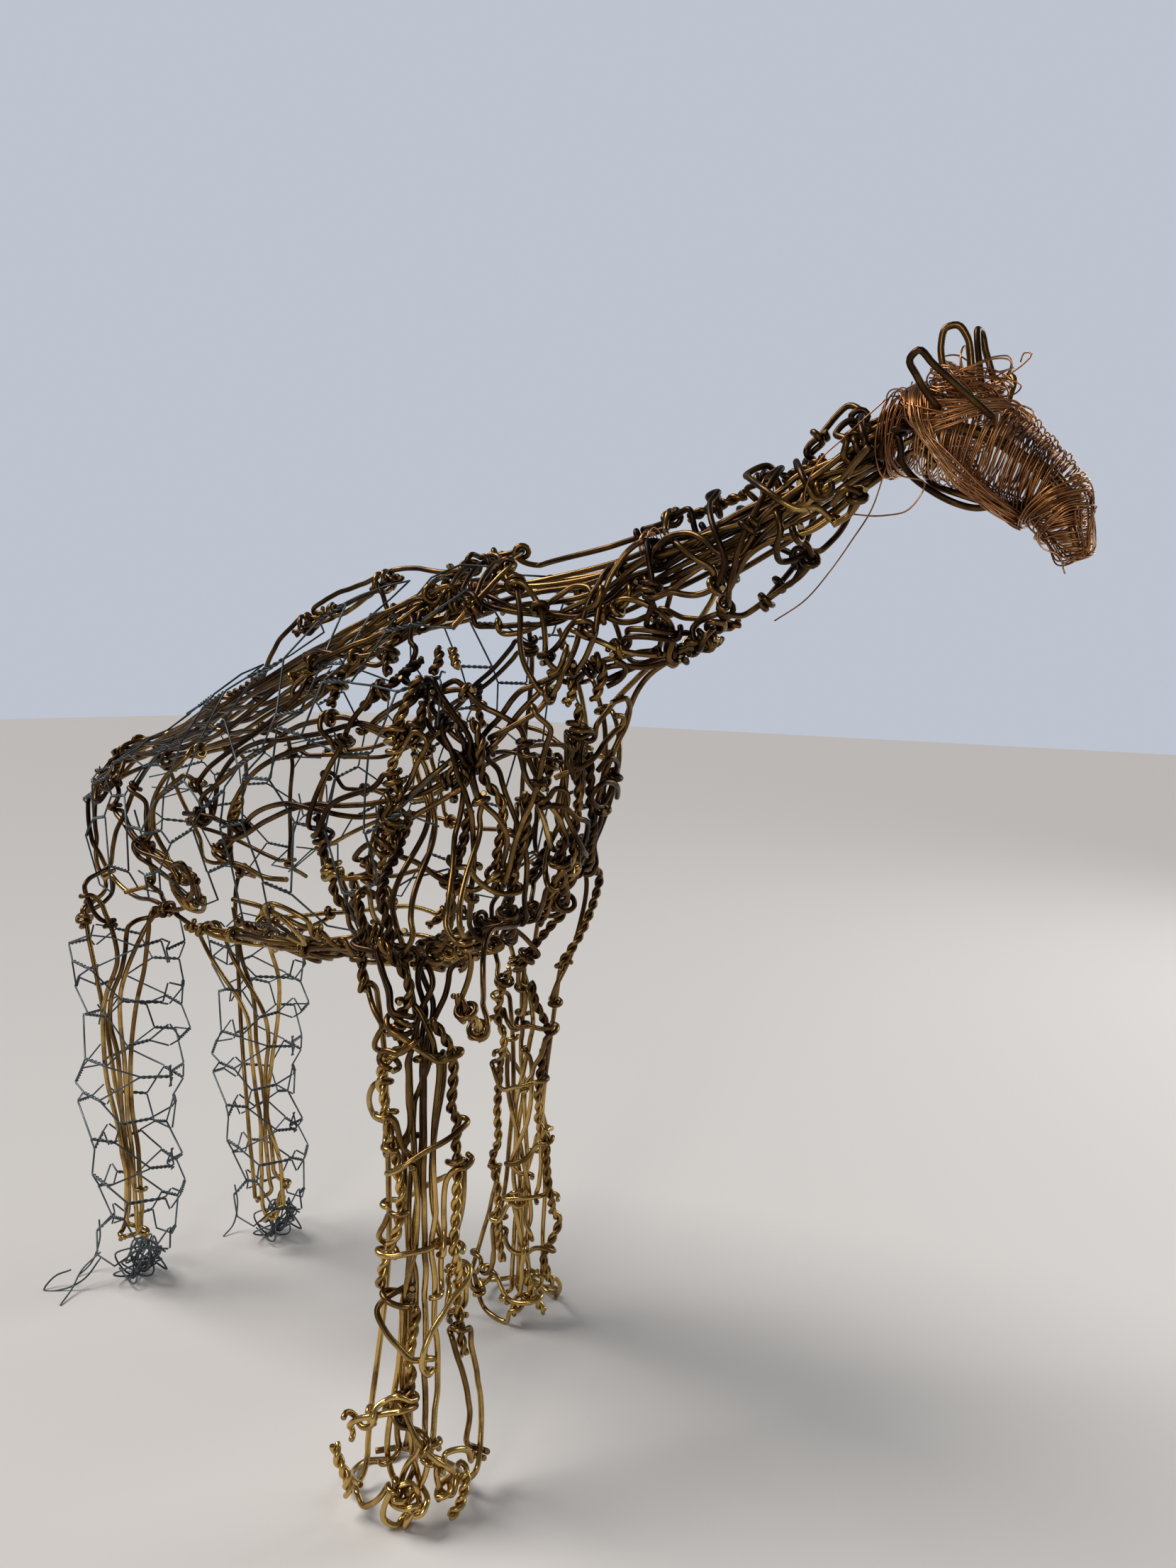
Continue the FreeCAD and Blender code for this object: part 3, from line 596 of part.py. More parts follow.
                  P(323, -33, 452), P(328, -27, 447), P(333, -20, 442), P(338, -14, 437)]),
    ],
    "left_ear_loop": [
        ("wire", [P(331, 15, 438), P(330.5, 19, 447), P(331, 21, 455), P(332, 22, 460.5), P(334, 21.5, 461.2),
                  P(336, 20, 457.5), P(336, 18, 450), P(334.5, 15, 438)]),
    ],
    "right_ossicone": [
        ("wire", [P(321.5, -9, 448), P(319.5, -10, 457), P(318.5, -10, 465), P(319.5, -9.5, 470), P(323, -8.5, 470.8),
                  P(326.5, -7.5, 466.5), P(328, -6.5, 459), P(328.5, -6, 448)]),
    ],
    "left_ossicone": [
        ("wire", [P(330, 3, 449), P(328, 4, 460), P(326.5, 5, 469), P(326, 6.8, 472.7), P(326.6, 9.6, 472.3),
                  P(328, 11.2, 466), P(331.5, 11.5, 449)]),
    ],
}


def company(route, number, spread):
    """More wires of a bundle: each follows one route, wandering a little to either side of it."""
    wires = []
    for wire in range(1, number + 1):
        follower = []
        for stop, (form, along, angle, proud) in enumerate(route):
            follower.append((
                form,
                along + 3 * math.sin(1.7 * wire + stop),
                angle + spread * math.sin(2.4 * wire + 0.9 * stop),
                proud + 1.6 * math.sin(3.3 * wire + 1.3 * stop),
            ))
        wires.append(("wire", follower))
    return wires


# Bundles: node, its wire that leads the bundle, how many more run with it, how far they wander in degrees.
BUNDLES = [
    ("spine_wires", 0, 2, 9), ("spine_wires", 1, 2, 9), ("spine_wires", 2, 2, 10), ("spine_wires", 4, 1, 10),
    ("spine_wires", 5, 1, 8), ("neck_core_wires", 0, 1, 12), ("neck_core_wires", 1, 2, 10),
    ("neck_core_wires", 3, 1, 12), ("neck_core_wires", 4, 2, 10), ("neck_core_wires", 5, 1, 10),
    ("neck_core_wires", 6, 1, 10), ("belly_wires", 11, 3, 8), ("belly_wires", 12, 2, 10),
    ("back_outer_wires", 9, 1, 5), ("back_outer_wires", 10, 2, 8), ("flank_wires_right", 1, 1, 4),
    ("flank_wires_right", 4, 1, 4), ("rump_hoops_right", 0, 1, 5), ("rump_hoops_right", 2, 1, 5),
    ("chest_wires", 5, 1, 8), ("chest_wires", 9, 1, 8), ("neck_throat_wires", 0, 1, 8),
    ("neck_throat_wires", 7, 1, 6), ("fore_right_core_wires", 0, 1, 10), ("fore_left_core_wires", 0, 1, 10),
    ("flank_wires_left", 0, 1, 6), ("flank_wires_left", 1, 1, 6),
]
for node, leader, number, spread in BUNDLES:
    WIRES[node] += company(WIRES[node][leader][1], number, spread)


def row_at(stations, at):
    """The row of a table at one place, on smooth curves through its rows."""
    at = min(max(at, stations[0][0]), stations[-1][0])
    upper = 1
    while upper < len(stations) - 1 and stations[upper][0] < at:
        upper += 1
    low, high = stations[upper - 1], stations[upper]
    span = high[0] - low[0]
    t = (at - low[0]) / span
    row = []
    for column in range(1, len(low)):
        rise = (high[column] - low[column]) / span
        slopes = []
        for middle in (upper - 1, upper):
            if 0 < middle < len(stations) - 1:
                before, here, after = (stations[middle + step] for step in (-1, 0, 1))
                back, ahead = here[0] - before[0], after[0] - here[0]
                slope = (
                    back ** 2 * after[column] + (ahead ** 2 - back ** 2) * here[column]
                    - ahead ** 2 * before[column]
                ) / (back * ahead * (back + ahead))
                slopes.append(slope)
            else:
                slopes.append(rise)
        row.append(
            low[column] * (1 + 2 * t) * (1 - t) ** 2 + slopes[0] * span * t * (1 - t) ** 2
            + high[column] * t ** 2 * (3 - 2 * t) - slopes[1] * span * t ** 2 * (1 - t)
        )
    return row


def placed(spot):
    """A station's place in space: on a ring round its form, standing proud of it."""
    form = spot[0]
    if form == "space":
        return [spot[axis + 1] * SCALE[axis] for axis in range(3)]
    along, angle, proud = spot[1], math.radians(spot[2]), spot[3]
    if form == "trunk":
        top, bottom, half_width = row_at(TRUNK_STATIONS, along)
        half_height = (top - bottom) / 2 * SCALE[2]
        return [
            along * SCALE[0],
            -(half_width * SCALE[1] + proud) * math.sin(angle),
            (top + bottom) / 2 * SCALE[2] + (half_height + proud) * math.cos(angle),
        ]
    if form == "head":
        x, z, half_depth, half_width = row_at(HEAD_STATIONS, along)
        ahead = row_at(HEAD_STATIONS, along + 2)
        behind = row_at(HEAD_STATIONS, along - 2)
        run, rise = ahead[0] - behind[0], ahead[1] - behind[1]
        length = math.hypot(run, rise)
        out = (half_depth + proud) * math.cos(angle)
        return [
            (x - rise / length * out) * SCALE[0],
            -(half_width * SCALE[1] + proud) * math.sin(angle),
            (z + run / length * out) * SCALE[2],
        ]
    x, y, half_length, half_width = row_at(LEG_STATIONS[form], along)
    return [
        x * SCALE[0] + (half_length * SCALE[0] + proud) * math.cos(angle),
        y * SCALE[1] - (half_width * SCALE[1] + proud) * math.sin(angle),
        along * SCALE[2],
    ]


def eased(points, spacing):
    """More points on the smooth curve through the given ones, about one spacing apart."""
    curve = []
    for index in range(len(points) - 1):
        start, end = points[index], points[index + 1]
        before = points[index - 1] if index else [2 * a - b for a, b in zip(start, end)]
        after = points[index + 2] if index + 2 < len(points) else [2 * b - a for a, b in zip(start, end)]
        length = math.dist(start, end)
        gaps = [max(math.dist(before, start), 0.1), max(length, 0.1), max(math.dist(end, after), 0.1)]
        steps = max(1, round(length / spacing))
        slopes = []
        for left, middle, right, back, ahead in (
            (before, start, end, gaps[0], gaps[1]), (start, end, after, gaps[1], gaps[2]),
        ):
            slopes.append([
                (back * (r - m) / ahead + ahead * (m - l) / back) / (back + ahead) * length
                for l, m, r in zip(left, middle, right)
            ])
        for step in range(steps):
            t = step / steps
            curve.append([
                a * (1 + 2 * t) * (1 - t) ** 2 + u * t * (1 - t) ** 2 + b * t ** 2 * (3 - 2 * t)
                - v * t ** 2 * (1 - t)
                for a, u, b, v in zip(start, slopes[0], end, slopes[1])
            ])
    curve.append(list(points[-1]))
    return curve


def leg_netting(leg, bottom, wires, columns, first, last):
    """Netting round a leg: each wire twists in turn with the wire above it and the wire below it."""
    panel = []
    step = size["leg_netting_step"]
    for wire in range(wires):
        route = [(leg, bottom + wire * step, first, 1)]
        for order, column in enumerate(columns):
            above = (wire + order) % 2 == 0
            pair = wire if above else wire - 1
            height = bottom + pair * step + step / 2
            height += 2.6 * math.sin(2.1 * pair + 1.7 * column) + 1.5 * math.sin(0.7 * pair - 0.3 * column)
            height += -0.55 * size["netting_diameter"] if above else 0.55 * size["netting_diameter"]
            middle = column + 13 * math.sin(1.3 * pair + 0.9 * column)
            proud = 0.5 + 2.8 * math.sin(2.9 * pair + column) + 2.4 * math.sin(0.8 * pair + 0.4 * column)
            turn = 17 + 5 * math.sin(1.9 * pair + 0.6 * column)
            turn = turn if first < last else -turn
            route.append((leg, height, middle - turn, proud))
            tilt = 4.0 * math.sin(1.6 * pair + 0.8 * column)
            route.append((leg, height + tilt, middle + turn, proud + 1.5 * math.sin(pair + 2 * column)))
        route.append((leg, bottom + wire * step, last, 1))
        panel.append(("netting", route))
    return panel


def trunk_netting(angles, columns, side, proud):
    """Netting along the trunk: each wire twists in turn with the wires beside it."""
    panel = []
    step = size["trunk_netting_step"]
    for wire, angle in enumerate(angles):
        route = [("trunk", columns[0] - step * 0.9, angle * side, proud)]
        for order, column in enumerate(columns):
            onward = (wire + order) % 2 == 0
            pair = wire if onward else wire - 1
            between = angles[0] + 14 * pair + 7 + 5.5 * math.sin(1.9 * pair + 0.11 * column)
            spread = math.degrees(0.55 * size["netting_diameter"] / 58)
            between += -spread if onward else spread
            middle = column + 8 * math.sin(2.3 * pair + 0.07 * column)
            lift = proud + 3.2 * math.sin(1.7 * pair + 0.05 * column)
            tilt = 4.5 * math.sin(2.9 * pair + 0.09 * column)
            route.append(("trunk", middle - 0.4 * step, between * side, lift))
            route.append(("trunk", middle + 0.4 * step, (between + tilt) * side, lift - 1.5 * math.sin(pair + column)))
        route.append(("trunk", columns[-1] + step * 0.9, angle * side, proud))
        panel.append(("netting", route))
    return panel


def winding(kind, form, first, last, turns, proud, start=0, lean=0, ripple=0.5, lean_at=40):
    """One wire wound round a form in rings that lean and wander a little."""
    route = []
    steps = int(turns * 9)
    for step in range(steps + 1):
        share = step / steps
        angle = start + 360 * turns * share
        along = first + (last - first) * share + lean * math.cos(math.radians(angle - lean_at))
        along += 0.5 * math.sin(1.9 * share * turns)
        lift = proud + ripple * math.sin(2.4 * share * turns) + 0.3 * ripple * math.sin(0.13 * angle)
        route.append((form, along, angle, lift))
    return (kind, route)


def wound_band(kind, form, loop, rounds):
    """One wire taken many times round a loop of (along, angle, proud, fan along, fan of angle)."""
    route = []
    for turn in range(rounds):
        offset = turn / (rounds - 1) - 0.5
        for stop, (along, angle, proud, fan_along, fan_angle) in enumerate(loop):
            wander = 0.12 * math.sin(2.7 * turn + 1.9 * stop)
            lift = proud + 0.5 * math.sin(3.1 * turn + 0.8 * stop)
            route.append((form, along + (offset + wander) * fan_along, angle + (offset + wander) * fan_angle, lift))
    return (kind, route)


def tangle(kind, centre, radii, turns, tilt):
    """One wire wound loosely into a ball whose rings turn a little further each time round."""
    route = []
    steps = int(turns * 9)
    lean = math.radians(tilt)
    for step in range(steps + 1):
        round_angle = 2 * math.pi * turns * step / steps
        sway = 0.75 * math.sin(0.37 * round_angle) + 0.25 * math.sin(1.13 * round_angle + 1)
        reach = 1 + 0.07 * math.sin(2.3 * round_angle)
        x = math.cos(round_angle) * math.cos(sway) * reach
        y = math.sin(round_angle) * reach
        z = math.cos(round_angle) * math.sin(sway) * reach + 0.3 * math.sin(0.31 * round_angle)
        x, z = x * math.cos(lean) + z * math.sin(lean), z * math.cos(lean) - x * math.sin(lean)
        route.append(("space", centre[0] + radii[0] * x, centre[1] + radii[1] * y, centre[2] + radii[2] * z))
    return (kind, route)


def crumple(kind, centre, radii, bends, phase):
    """One wire bent to and fro through a rounded heap, straight between its bends."""
    route = []
    for bend in range(bends):
        level = math.sin(1.9 * bend + phase)
        angle = 1.7 * bend + 0.7 * math.sin(2.3 * bend + phase) + phase
        reach = math.sqrt(1 - level ** 2) * (0.7 + 0.3 * math.sin(5.1 * bend + phase)) + 0.15
        route.append((
            "space",
            centre[0] + radii[0] * reach * math.cos(angle),
            centre[1] + radii[1] * reach * math.sin(angle),
            centre[2] + radii[2] * level,
        ))
    return (kind, route)


def coil(kind, form, line, turns, radius, reach=14):
    """One wire wound in small rings along a line of stations on a form."""
    route = []
    steps = int(turns * 7)
    for step in range(steps + 1):
        share = step / steps * (len(line) - 1)
        index = min(int(share), len(line) - 2)
        part = share - index
        along, angle, proud = (
            a + (b - a) * part for a, b in zip(line[index], line[index + 1])
        )
        turn = 2 * math.pi * turns * step / steps
        ring = radius * (1 + 0.18 * math.sin(1.7 * turn / (2 * math.pi)))
        route.append((form, along, angle + math.degrees(ring / reach) * math.cos(turn), proud + ring * math.sin(turn)))
    return (kind, route)


OUTER_COLUMNS = (148, 88, 28)
INNER_COLUMNS = (-32, -92, -152)
WIRES["hind_right_netting_outer"] = leg_netting("hind_right", 23, 16, OUTER_COLUMNS, 178, 0)
WIRES["hind_right_netting_inner"] = leg_netting("hind_right", 23, 16, INNER_COLUMNS, -2, -179)
WIRES["hind_left_netting_outer"] = leg_netting("hind_left", 23, 15, INNER_COLUMNS, -2, -179)
WIRES["hind_left_netting_inner"] = leg_netting("hind_left", 23, 15, OUTER_COLUMNS, 178, 0)
for leg in ("hind_right", "hind_left"):
    middle = placed((leg, 12, 0, -20))[0] / SCALE[0] - 2, LEG_STATIONS[leg][0][2]
    WIRES[leg + "_foot_netting"] = [
        crumple("netting", (middle[0], middle[1], 11), (15, 13, 10), 17, 0.4),
        crumple("netting", (middle[0] + 3, middle[1] + 1, 14), (13, 12, 9), 15, 2.0),
        crumple("netting", (middle[0] - 3, middle[1] - 2, 6), (17, 13, 5), 15, 3.9),
        crumple("netting", (middle[0] + 1, middle[1] - 1, 17), (12, 13, 8), 13, 5.3),
        ("netting", [(leg, 30, 150, 2), (leg, 16, 158, 2), (leg, 4, 152, 4), (leg, 0, 140, 8)]),
    ]
WIRES["hind_right_foot_netting"] += [
    ("netting", [HR(14, 118, -2), HR(6, 112, 5), HR(1, 118, 14), HR(0, 124, 24), HR(5, 128, 20), HR(9, 124, 12)]),
    ("netting", [HR(16, 126, -2), HR(9, 122, 6), HR(3, 108, 12), HR(0, 98, 20)]),
]
flank = [-58 + size["trunk_netting_step"] * column for column in range(8)]
rump = [-150 + size["trunk_netting_step"] * column for column in range(4)]
WIRES["netting_right_flank"] = trunk_netting([24 + 14 * wire for wire in range(8)], flank, 1, 6)
WIRES["netting_left_flank"] = trunk_netting([24 + 14 * wire for wire in range(8)], flank, -1, 6)
WIRES["netting_rump"] = (
    trunk_netting([38 + 14 * wire for wire in range(6)], rump, 1, 6)
    + trunk_netting([38 + 14 * wire for wire in range(6)], rump, -1, 6)
)
WIRES["neck_binding_ties"] = [
    coil("copper", "trunk", [(199, 24, -4), (204, 24, -4)], 5, 6.5, 28),
    coil("copper", "trunk", [(253, 30, -4), (257, 30, -4)], 4, 6.5, 24),
]
WIRES["poll_winding"] = [winding("copper", "head", -1, 11, 14, 2.0, 0, 2.0, 1.6)]
WIRES["crown_winding"] = [
    tangle("copper", (325.5, 0, 451), (13.5, 12, 11), 24, 24),
    tangle("copper", (325, 0, 449), (14.5, 13, 8), 10, 50),
]
WIRES["brow_band"] = [wound_band("copper", "head", [
    (20, 70, 2.2, 0, 40), (28, 60, 2.2, 0, 34), (36, 42, 2.6, 2, 14), (41, 16, 3.2, 4, 4), (44, -15, 3, 5, 0),
    (42, -42, 3, 4, 0), (34, -60, 2.6, 2, -20), (26, -72, 2.2, 0, -34), (18, -78, 2.2, 3, -28),
    (11, -40, 2.2, 6, 0), (9, 0, 2.2, 6, 0), (11, 44, 2.2, 6, 6), (15, 66, 2.2, 4, 16),
], 20)]
WIRES["cheek_bands"] = [wound_band("copper", "head", [
    (12, 25, 4, 4, 10), (16, 60, 4.4, 5, 10), (22, 88, 4.4, 6, 12), (30, 108, 4.2, 6, 14), (41, 128, 4, 6, 16),
    (52, 146, 3.6, 5, 16), (62, 164, 3.2, 5, 12), (69, 182, 3, 4, 0), (62, 198, 3.2, 5, -10),
    (52, 214, 3.6, 5, -12), (41, 232, 4, 6, -12), (30, 252, 4.2, 6, -12), (20, 276, 4.4, 6, -8),
    (14, 306, 4.4, 5, 0), (11, 334, 4.2, 5, 0), (10, 360, 4, 5, 0),
], 16)]
WIRES["cheek_wrap"] = [
    winding("copper", "head", 43, 69, 34, 1.3, 60, 4.0, 0.6, 160),
    winding("copper", "head", 16, 46, 24, 0.4, 20, 3.0, 0.8, 120),
]
WIRES["nose_ridge_winding"] = [
    coil("copper", "head", [(42, 34, 2.8), (50, 30, 2.8), (58, 26, 2.8), (66, 24, 2.8), (73, 22, 2.8)], 18, 2.2),
    coil("copper", "head", [(46, 2, 2.8), (56, 4, 2.8), (66, 2, 2.8), (75, 0, 2.8)], 13, 2.0),
]
WIRES["muzzle_winding"] = [
    winding("copper", "head", 69, 77, 11, 3.2, 0, 2.0, 1.4),
    wound_band("copper", "head", [
        (77, 20, 2.8, 3, 36), (83, 30, 2.2, 0, 40), (90, 36, 1.6, 0, 34), (95.5, 44, 1.4, 0, 24),
        (96, 110, 1.0, 0, 10), (94, 170, 1.0, 0, 20), (87, 190, 1.4, 0, 20), (78, 178, 2.8, 3, 20),
        (76, 100, 4, 3, 0),
    ], 10),
    winding("copper", "head", 76, 95, 22, 1.0, 90, 2.5, 0.8),
]
WIRES["muzzle_bands"] = [
    wound_band("copper", "head", [
        (80, 40, 3.4, 3, 0), (79, 70, 3.4, 3, 0), (80, 100, 3.4, 3, 0), (82, 140, 3.2, 3, 0), (83, 190, 3.2, 3, 0),
        (82, 250, 3.2, 3, 0), (81, 320, 3.4, 3, 0),
    ], 5),
]
WIRES["loose_wire_ends"] = [
    ("copper", [K(2, 160, 2), T(292, 172, 4), T(284, 182, 8), T(274, 190, 12), T(262, 196, 14), T(250, 196, 12)]),
    ("copper", [K(4, 170, 2), P(306, -9, 420), P(314.5, -10, 417), P(309, -12, 407), P(303, -13, 406),
                P(297, -13, 406), P(290, -14, 407)]),
    ("copper", [K(1, 50, 3), T(288, 66, 6), T(280, 80, 8), T(276, 104, 8), T(278, 128, 7)]),
    ("copper", [K(76, 165, 2), P(354.4, -8, 400), P(355, -9, 394.5), P(357, -9, 392), P(361, -9, 390.4),
                P(364, -10, 383.6)]),
    ("copper", [P(334, 4, 452), P(339, 6, 456), P(343, 7, 459), P(345, 8, 462), P(342, 9, 463), P(341, 9, 460)]),
    ("copper", [K(43, 20, 4), P(345, -2, 442), P(349, -4, 439), P(347, -6, 434), K(46, 40, 3)]),
]

def end_turns(node):
    """How far the ends of a node's wires are carried round their neighbours: knots and loops are left open."""
    if any(word in node for word in ("knots", "coils", "ear_loop", "ossicone")):
        return 0
    if any(word in node for word in ("core", "spine", "jaw", "side_wires", "hoof")):
        return 0.6
    return 1.5


def wrapped_ends(lines, kinds, turns, reach):
    """Ends of thick wires carried on in rings round the nearest other, as wires are fixed by hand."""
    finished, knots = [], []
    for number, (line, kind) in enumerate(zip(lines, kinds)):
        line = [list(point) for point in line]
        for side in range(2 if kind == "wire" and turns[number] else 0):
            line.reverse()
            best, held = reach, None
            for other, points in enumerate(lines):
                if other == number or kinds[other] not in ("wire", "pair"):
                    continue
                for index in range(2, len(points) - 2):
                    gap = math.dist(points[index], line[-1])
                    if gap < best:
                        best, held = gap, (other, index)
            if held is None:
                continue
            post = [list(point) for point in lines[held[0]][held[1] - 1:held[1] + 2]]
            crowded = any(math.dist(post[1], knot) < 13 for knot in knots)
            rounds = 0.6 if crowded else turns[number]
            if rounds > 1:
                knots.append(post[1])
            ring = RADIUS[kind] + RADIUS[kinds[held[0]]] + 0.3
            span = [b - a for a, b in zip(post[0], post[2])]
            length = math.hypot(*span)
            for attempt in range(4):
                while len(line) > 5 and math.dist(line[-1], post[1]) < ring + 2.5:
                    line.pop()
                travel = [b - a for a, b in zip(line[-2], line[-1])]
                sense = 1 if sum(a * t for a, t in zip(span, travel)) > 0 else -1
                ahead = [sense * a / length for a in span]
                arm = [a - b for a, b in zip(line[-1], post[1])]
                lean = sum(a * b for a, b in zip(arm, ahead))
                arm = [a - lean * b for a, b in zip(arm, ahead)]
                far = max(math.hypot(*arm), 0.1)
                arm = [a / far for a in arm]
                across = [
                    ahead[1] * arm[2] - ahead[2] * arm[1],
                    ahead[2] * arm[0] - ahead[0] * arm[2],
                    ahead[0] * arm[1] - ahead[1] * arm[0],
                ]
                if sum(a * t for a, t in zip(across, travel)) < 0:
                    across = [-a for a in across]
                start = math.acos(min(1.0, ring / far))
                rings = []
                for step in range(int(7 * rounds)):
                    angle = start + 2 * math.pi * step / 7
                    rise = (step / 7 - rounds / 2) * 2.25 * RADIUS[kind]
                    rings.append([
                        p + ring * (math.cos(angle) * a + math.sin(angle) * c) + rise * u
                        for p, a, c, u in zip(post[1], arm, across, ahead)
                    ])
                onward = [b - a for a, b in zip(line[-1], rings[0])]
                straight = sum(a * b for a, b in zip(onward, travel))
                straight /= max(math.hypot(*onward) * math.hypot(*travel), 0.01)
                if (straight > 0.2 and math.hypot(*onward) > 2.0) or len(line) < 6:
                    break
                line.pop()
            line += rings
        finished.append(line)
    return finished


def opened_bends(lines, kinds, rounds):
    """Any bend tighter than a wire can take is opened by moving its corner in between its neighbours."""
    for turn in range(rounds):
        tight = 0
        for line, kind in zip(lines, kinds):
            for index in range(1, len(line) - 1):
                back = math.dist(line[index - 1], line[index])
                ahead = math.dist(line[index], line[index + 1])
                across = math.dist(line[index - 1], line[index + 1])
                cosine = (across ** 2 - back ** 2 - ahead ** 2) / max(2 * back * ahead, 1e-6)
                bend = math.acos(min(max(cosine, -1.0), 1.0))
                if 0.45 * min(back, ahead) >= 1.2 * RADIUS[kind] * math.tan(min(bend / 2, 1.5)):
                    continue
                tight += 1
                for axis in range(3):
                    middle = (line[index - 1][axis] + line[index + 1][axis]) / 2
                    line[index][axis] += 0.35 * (middle - line[index][axis])
        if not tight:
            break
    return tight


def nearest(a0, a1, b0, b1):
    """How far along each of two straight runs their nearest points lie."""
    u = [q - p for p, q in zip(a0, a1)]
    v = [q - p for p, q in zip(b0, b1)]
    w = [p - q for p, q in zip(a0, b0)]
    uu = u[0] * u[0] + u[1] * u[1] + u[2] * u[2]
    vv = v[0] * v[0] + v[1] * v[1] + v[2] * v[2]
    uv = u[0] * v[0] + u[1] * v[1] + u[2] * v[2]
    uw = u[0] * w[0] + u[1] * w[1] + u[2] * w[2]
    vw = v[0] * w[0] + v[1] * w[1] + v[2] * w[2]
    below = uu * vv - uv * uv
    s = min(max((uv * vw - vv * uw) / below, 0.0), 1.0) if below > 1e-9 else 0.5
    t = min(max((uv * s + vw) / vv, 0.0), 1.0)
    s = min(max((uv * t - uw) / uu, 0.0), 1.0)
    return s, t


def neighbours(paths, reach):
    """Pairs of runs that lie close together, found with boxes of space."""
    boxes = {}
    runs = []
    for owner, (kind, points) in enumerate(paths):
        for index in range(len(points) - 1):
            middle = [(a + b) / 2 for a, b in zip(points[index], points[index + 1])]
            half = math.dist(points[index], points[index + 1]) / 2
            runs.append((owner, index, middle, half + RADIUS[kind]))
            key = tuple(int(value // reach) for value in middle)
            boxes.setdefault(key, []).append(len(runs) - 1)
    pairs = []
    for number, (owner, index, middle, extent) in enumerate(runs):
        key = tuple(int(value // reach) for value in middle)
        for dx in (-1, 0, 1):
            for dy in (-1, 0, 1):
                for dz in (-1, 0, 1):
                    for other in boxes.get((key[0] + dx, key[1] + dy, key[2] + dz), ()):
                        if other <= number:
                            continue
                        owner2, index2, middle2, extent2 = runs[other]
                        if owner2 == owner and index2 - index < 4:
                            continue
                        if math.dist(middle, middle2) < extent + extent2 + 2:
                            pairs.append((owner, index, owner2, index2))
    return pairs


def settle(paths, rounds):
    """Move crossing wires off one another, a little each round, the thinner one further."""
    for turn in range(rounds):
        if turn % 6 == 0:
            pairs = neighbours(paths, 24.0)
        pushes = [[[0.0, 0.0, 0.0] for point in points] for kind, points in paths]
        clashes = 0
        for one, first, two, second in pairs:
            kind1, points1 = paths[one]
            kind2, points2 = paths[two]
            need = RADIUS[kind1] + RADIUS[kind2] + size["wire_gap"]
            s, t = nearest(points1[first], points1[first + 1], points2[second], points2[second + 1])
            here = [a + (b - a) * s for a, b in zip(points1[first], points1[first + 1])]
            there = [a + (b - a) * t for a, b in zip(points2[second], points2[second + 1])]
            away = [a - b for a, b in zip(here, there)]
            apart = math.hypot(*away)
            if apart >= need - 0.01:
                continue
            clashes += 1
            if apart < 1e-6:
                away, apart = [0.0, 1.0, 0.1 * (one - two)], 1.0
                depth = need
            else:
                depth = need - apart
            yield_one = RADIUS[kind2] / (RADIUS[kind1] + RADIUS[kind2])
            for owner, index, part, share in (
                (one, first, s, 0.6 * yield_one), (two, second, t, -0.6 * (1 - yield_one)),
            ):
                push = [value / apart * depth * share for value in away]
                row = pushes[owner]
                for offset, weight in ((-1, 0.35), (0, 1 - 0.5 * part), (1, 0.5 + 0.5 * part), (2, 0.35)):
                    if 0 <= index + offset < len(row):
                        for axis in range(3):
                            row[index + offset][axis] += push[axis] * weight
        for (kind, points), row in zip(paths, pushes):
            for point, push in zip(points, row):
                length = math.hypot(*push)
                limit = min(1.0, 1.2 / length) if length > 0 else 1.0
                for axis in range(3):
                    point[axis] += push[axis] * limit
                point[2] = max(point[2], RADIUS[kind])
        if not clashes:
            break
    return clashes


def spine_of(points):
    """Straight runs joined by arcs that touch them, so that a tube follows without a crease."""
    vectors = [FreeCAD.Vector(*point) for point in points]
    edges = []
    last = vectors[0]
    tightest = 1e9
    for before, here, after in zip(vectors, vectors[1:], vectors[2:]):
        back, ahead = before - here, after - here
        shorter = min(back.Length, ahead.Length)
        back.normalize()
        ahead.normalize()
        turn = math.pi - back.getAngle(ahead)
        if turn < 0.004:
            continue
        setback = 0.45 * shorter
        radius = setback / math.tan(turn / 2)
        start, end = here + back * setback, here + ahead * setback
        inward = back + ahead
        inward.normalize()
        middle = here + inward * (radius / math.cos(turn / 2) - radius)
        edges.append(Part.LineSegment(last, start).toShape())
        edges.append(Part.Arc(start, middle, end).toShape())
        tightest = min(tightest, radius)
        last = end
    edges.append(Part.LineSegment(last, vectors[-1]).toShape())
    return Part.Wire(edges), vectors[0], vectors[1] - vectors[0], tightest


SPACING = {"wire": 6.0, "pair": 6.0, "netting": 40.0, "copper": 40.0}
paths = []
owners = []
for node, wires in WIRES.items():
    for kind, route in wires:
        corners = [placed(spot) for spot in route]
        paths.append((kind, eased(corners, SPACING[kind])))
        owners.append(node)
settle(paths, 50)
kinds = [kind for kind, points in paths]
turns = [end_turns(node) for node in owners]
lines = wrapped_ends([points for kind, points in paths], kinds, turns, size["end_reach"])
paths = list(zip(kinds, lines))
left_over = settle(paths, 14)
print("bends still too tight:", opened_bends(lines, kinds, 60))
print("runs still touching after settling:", left_over)

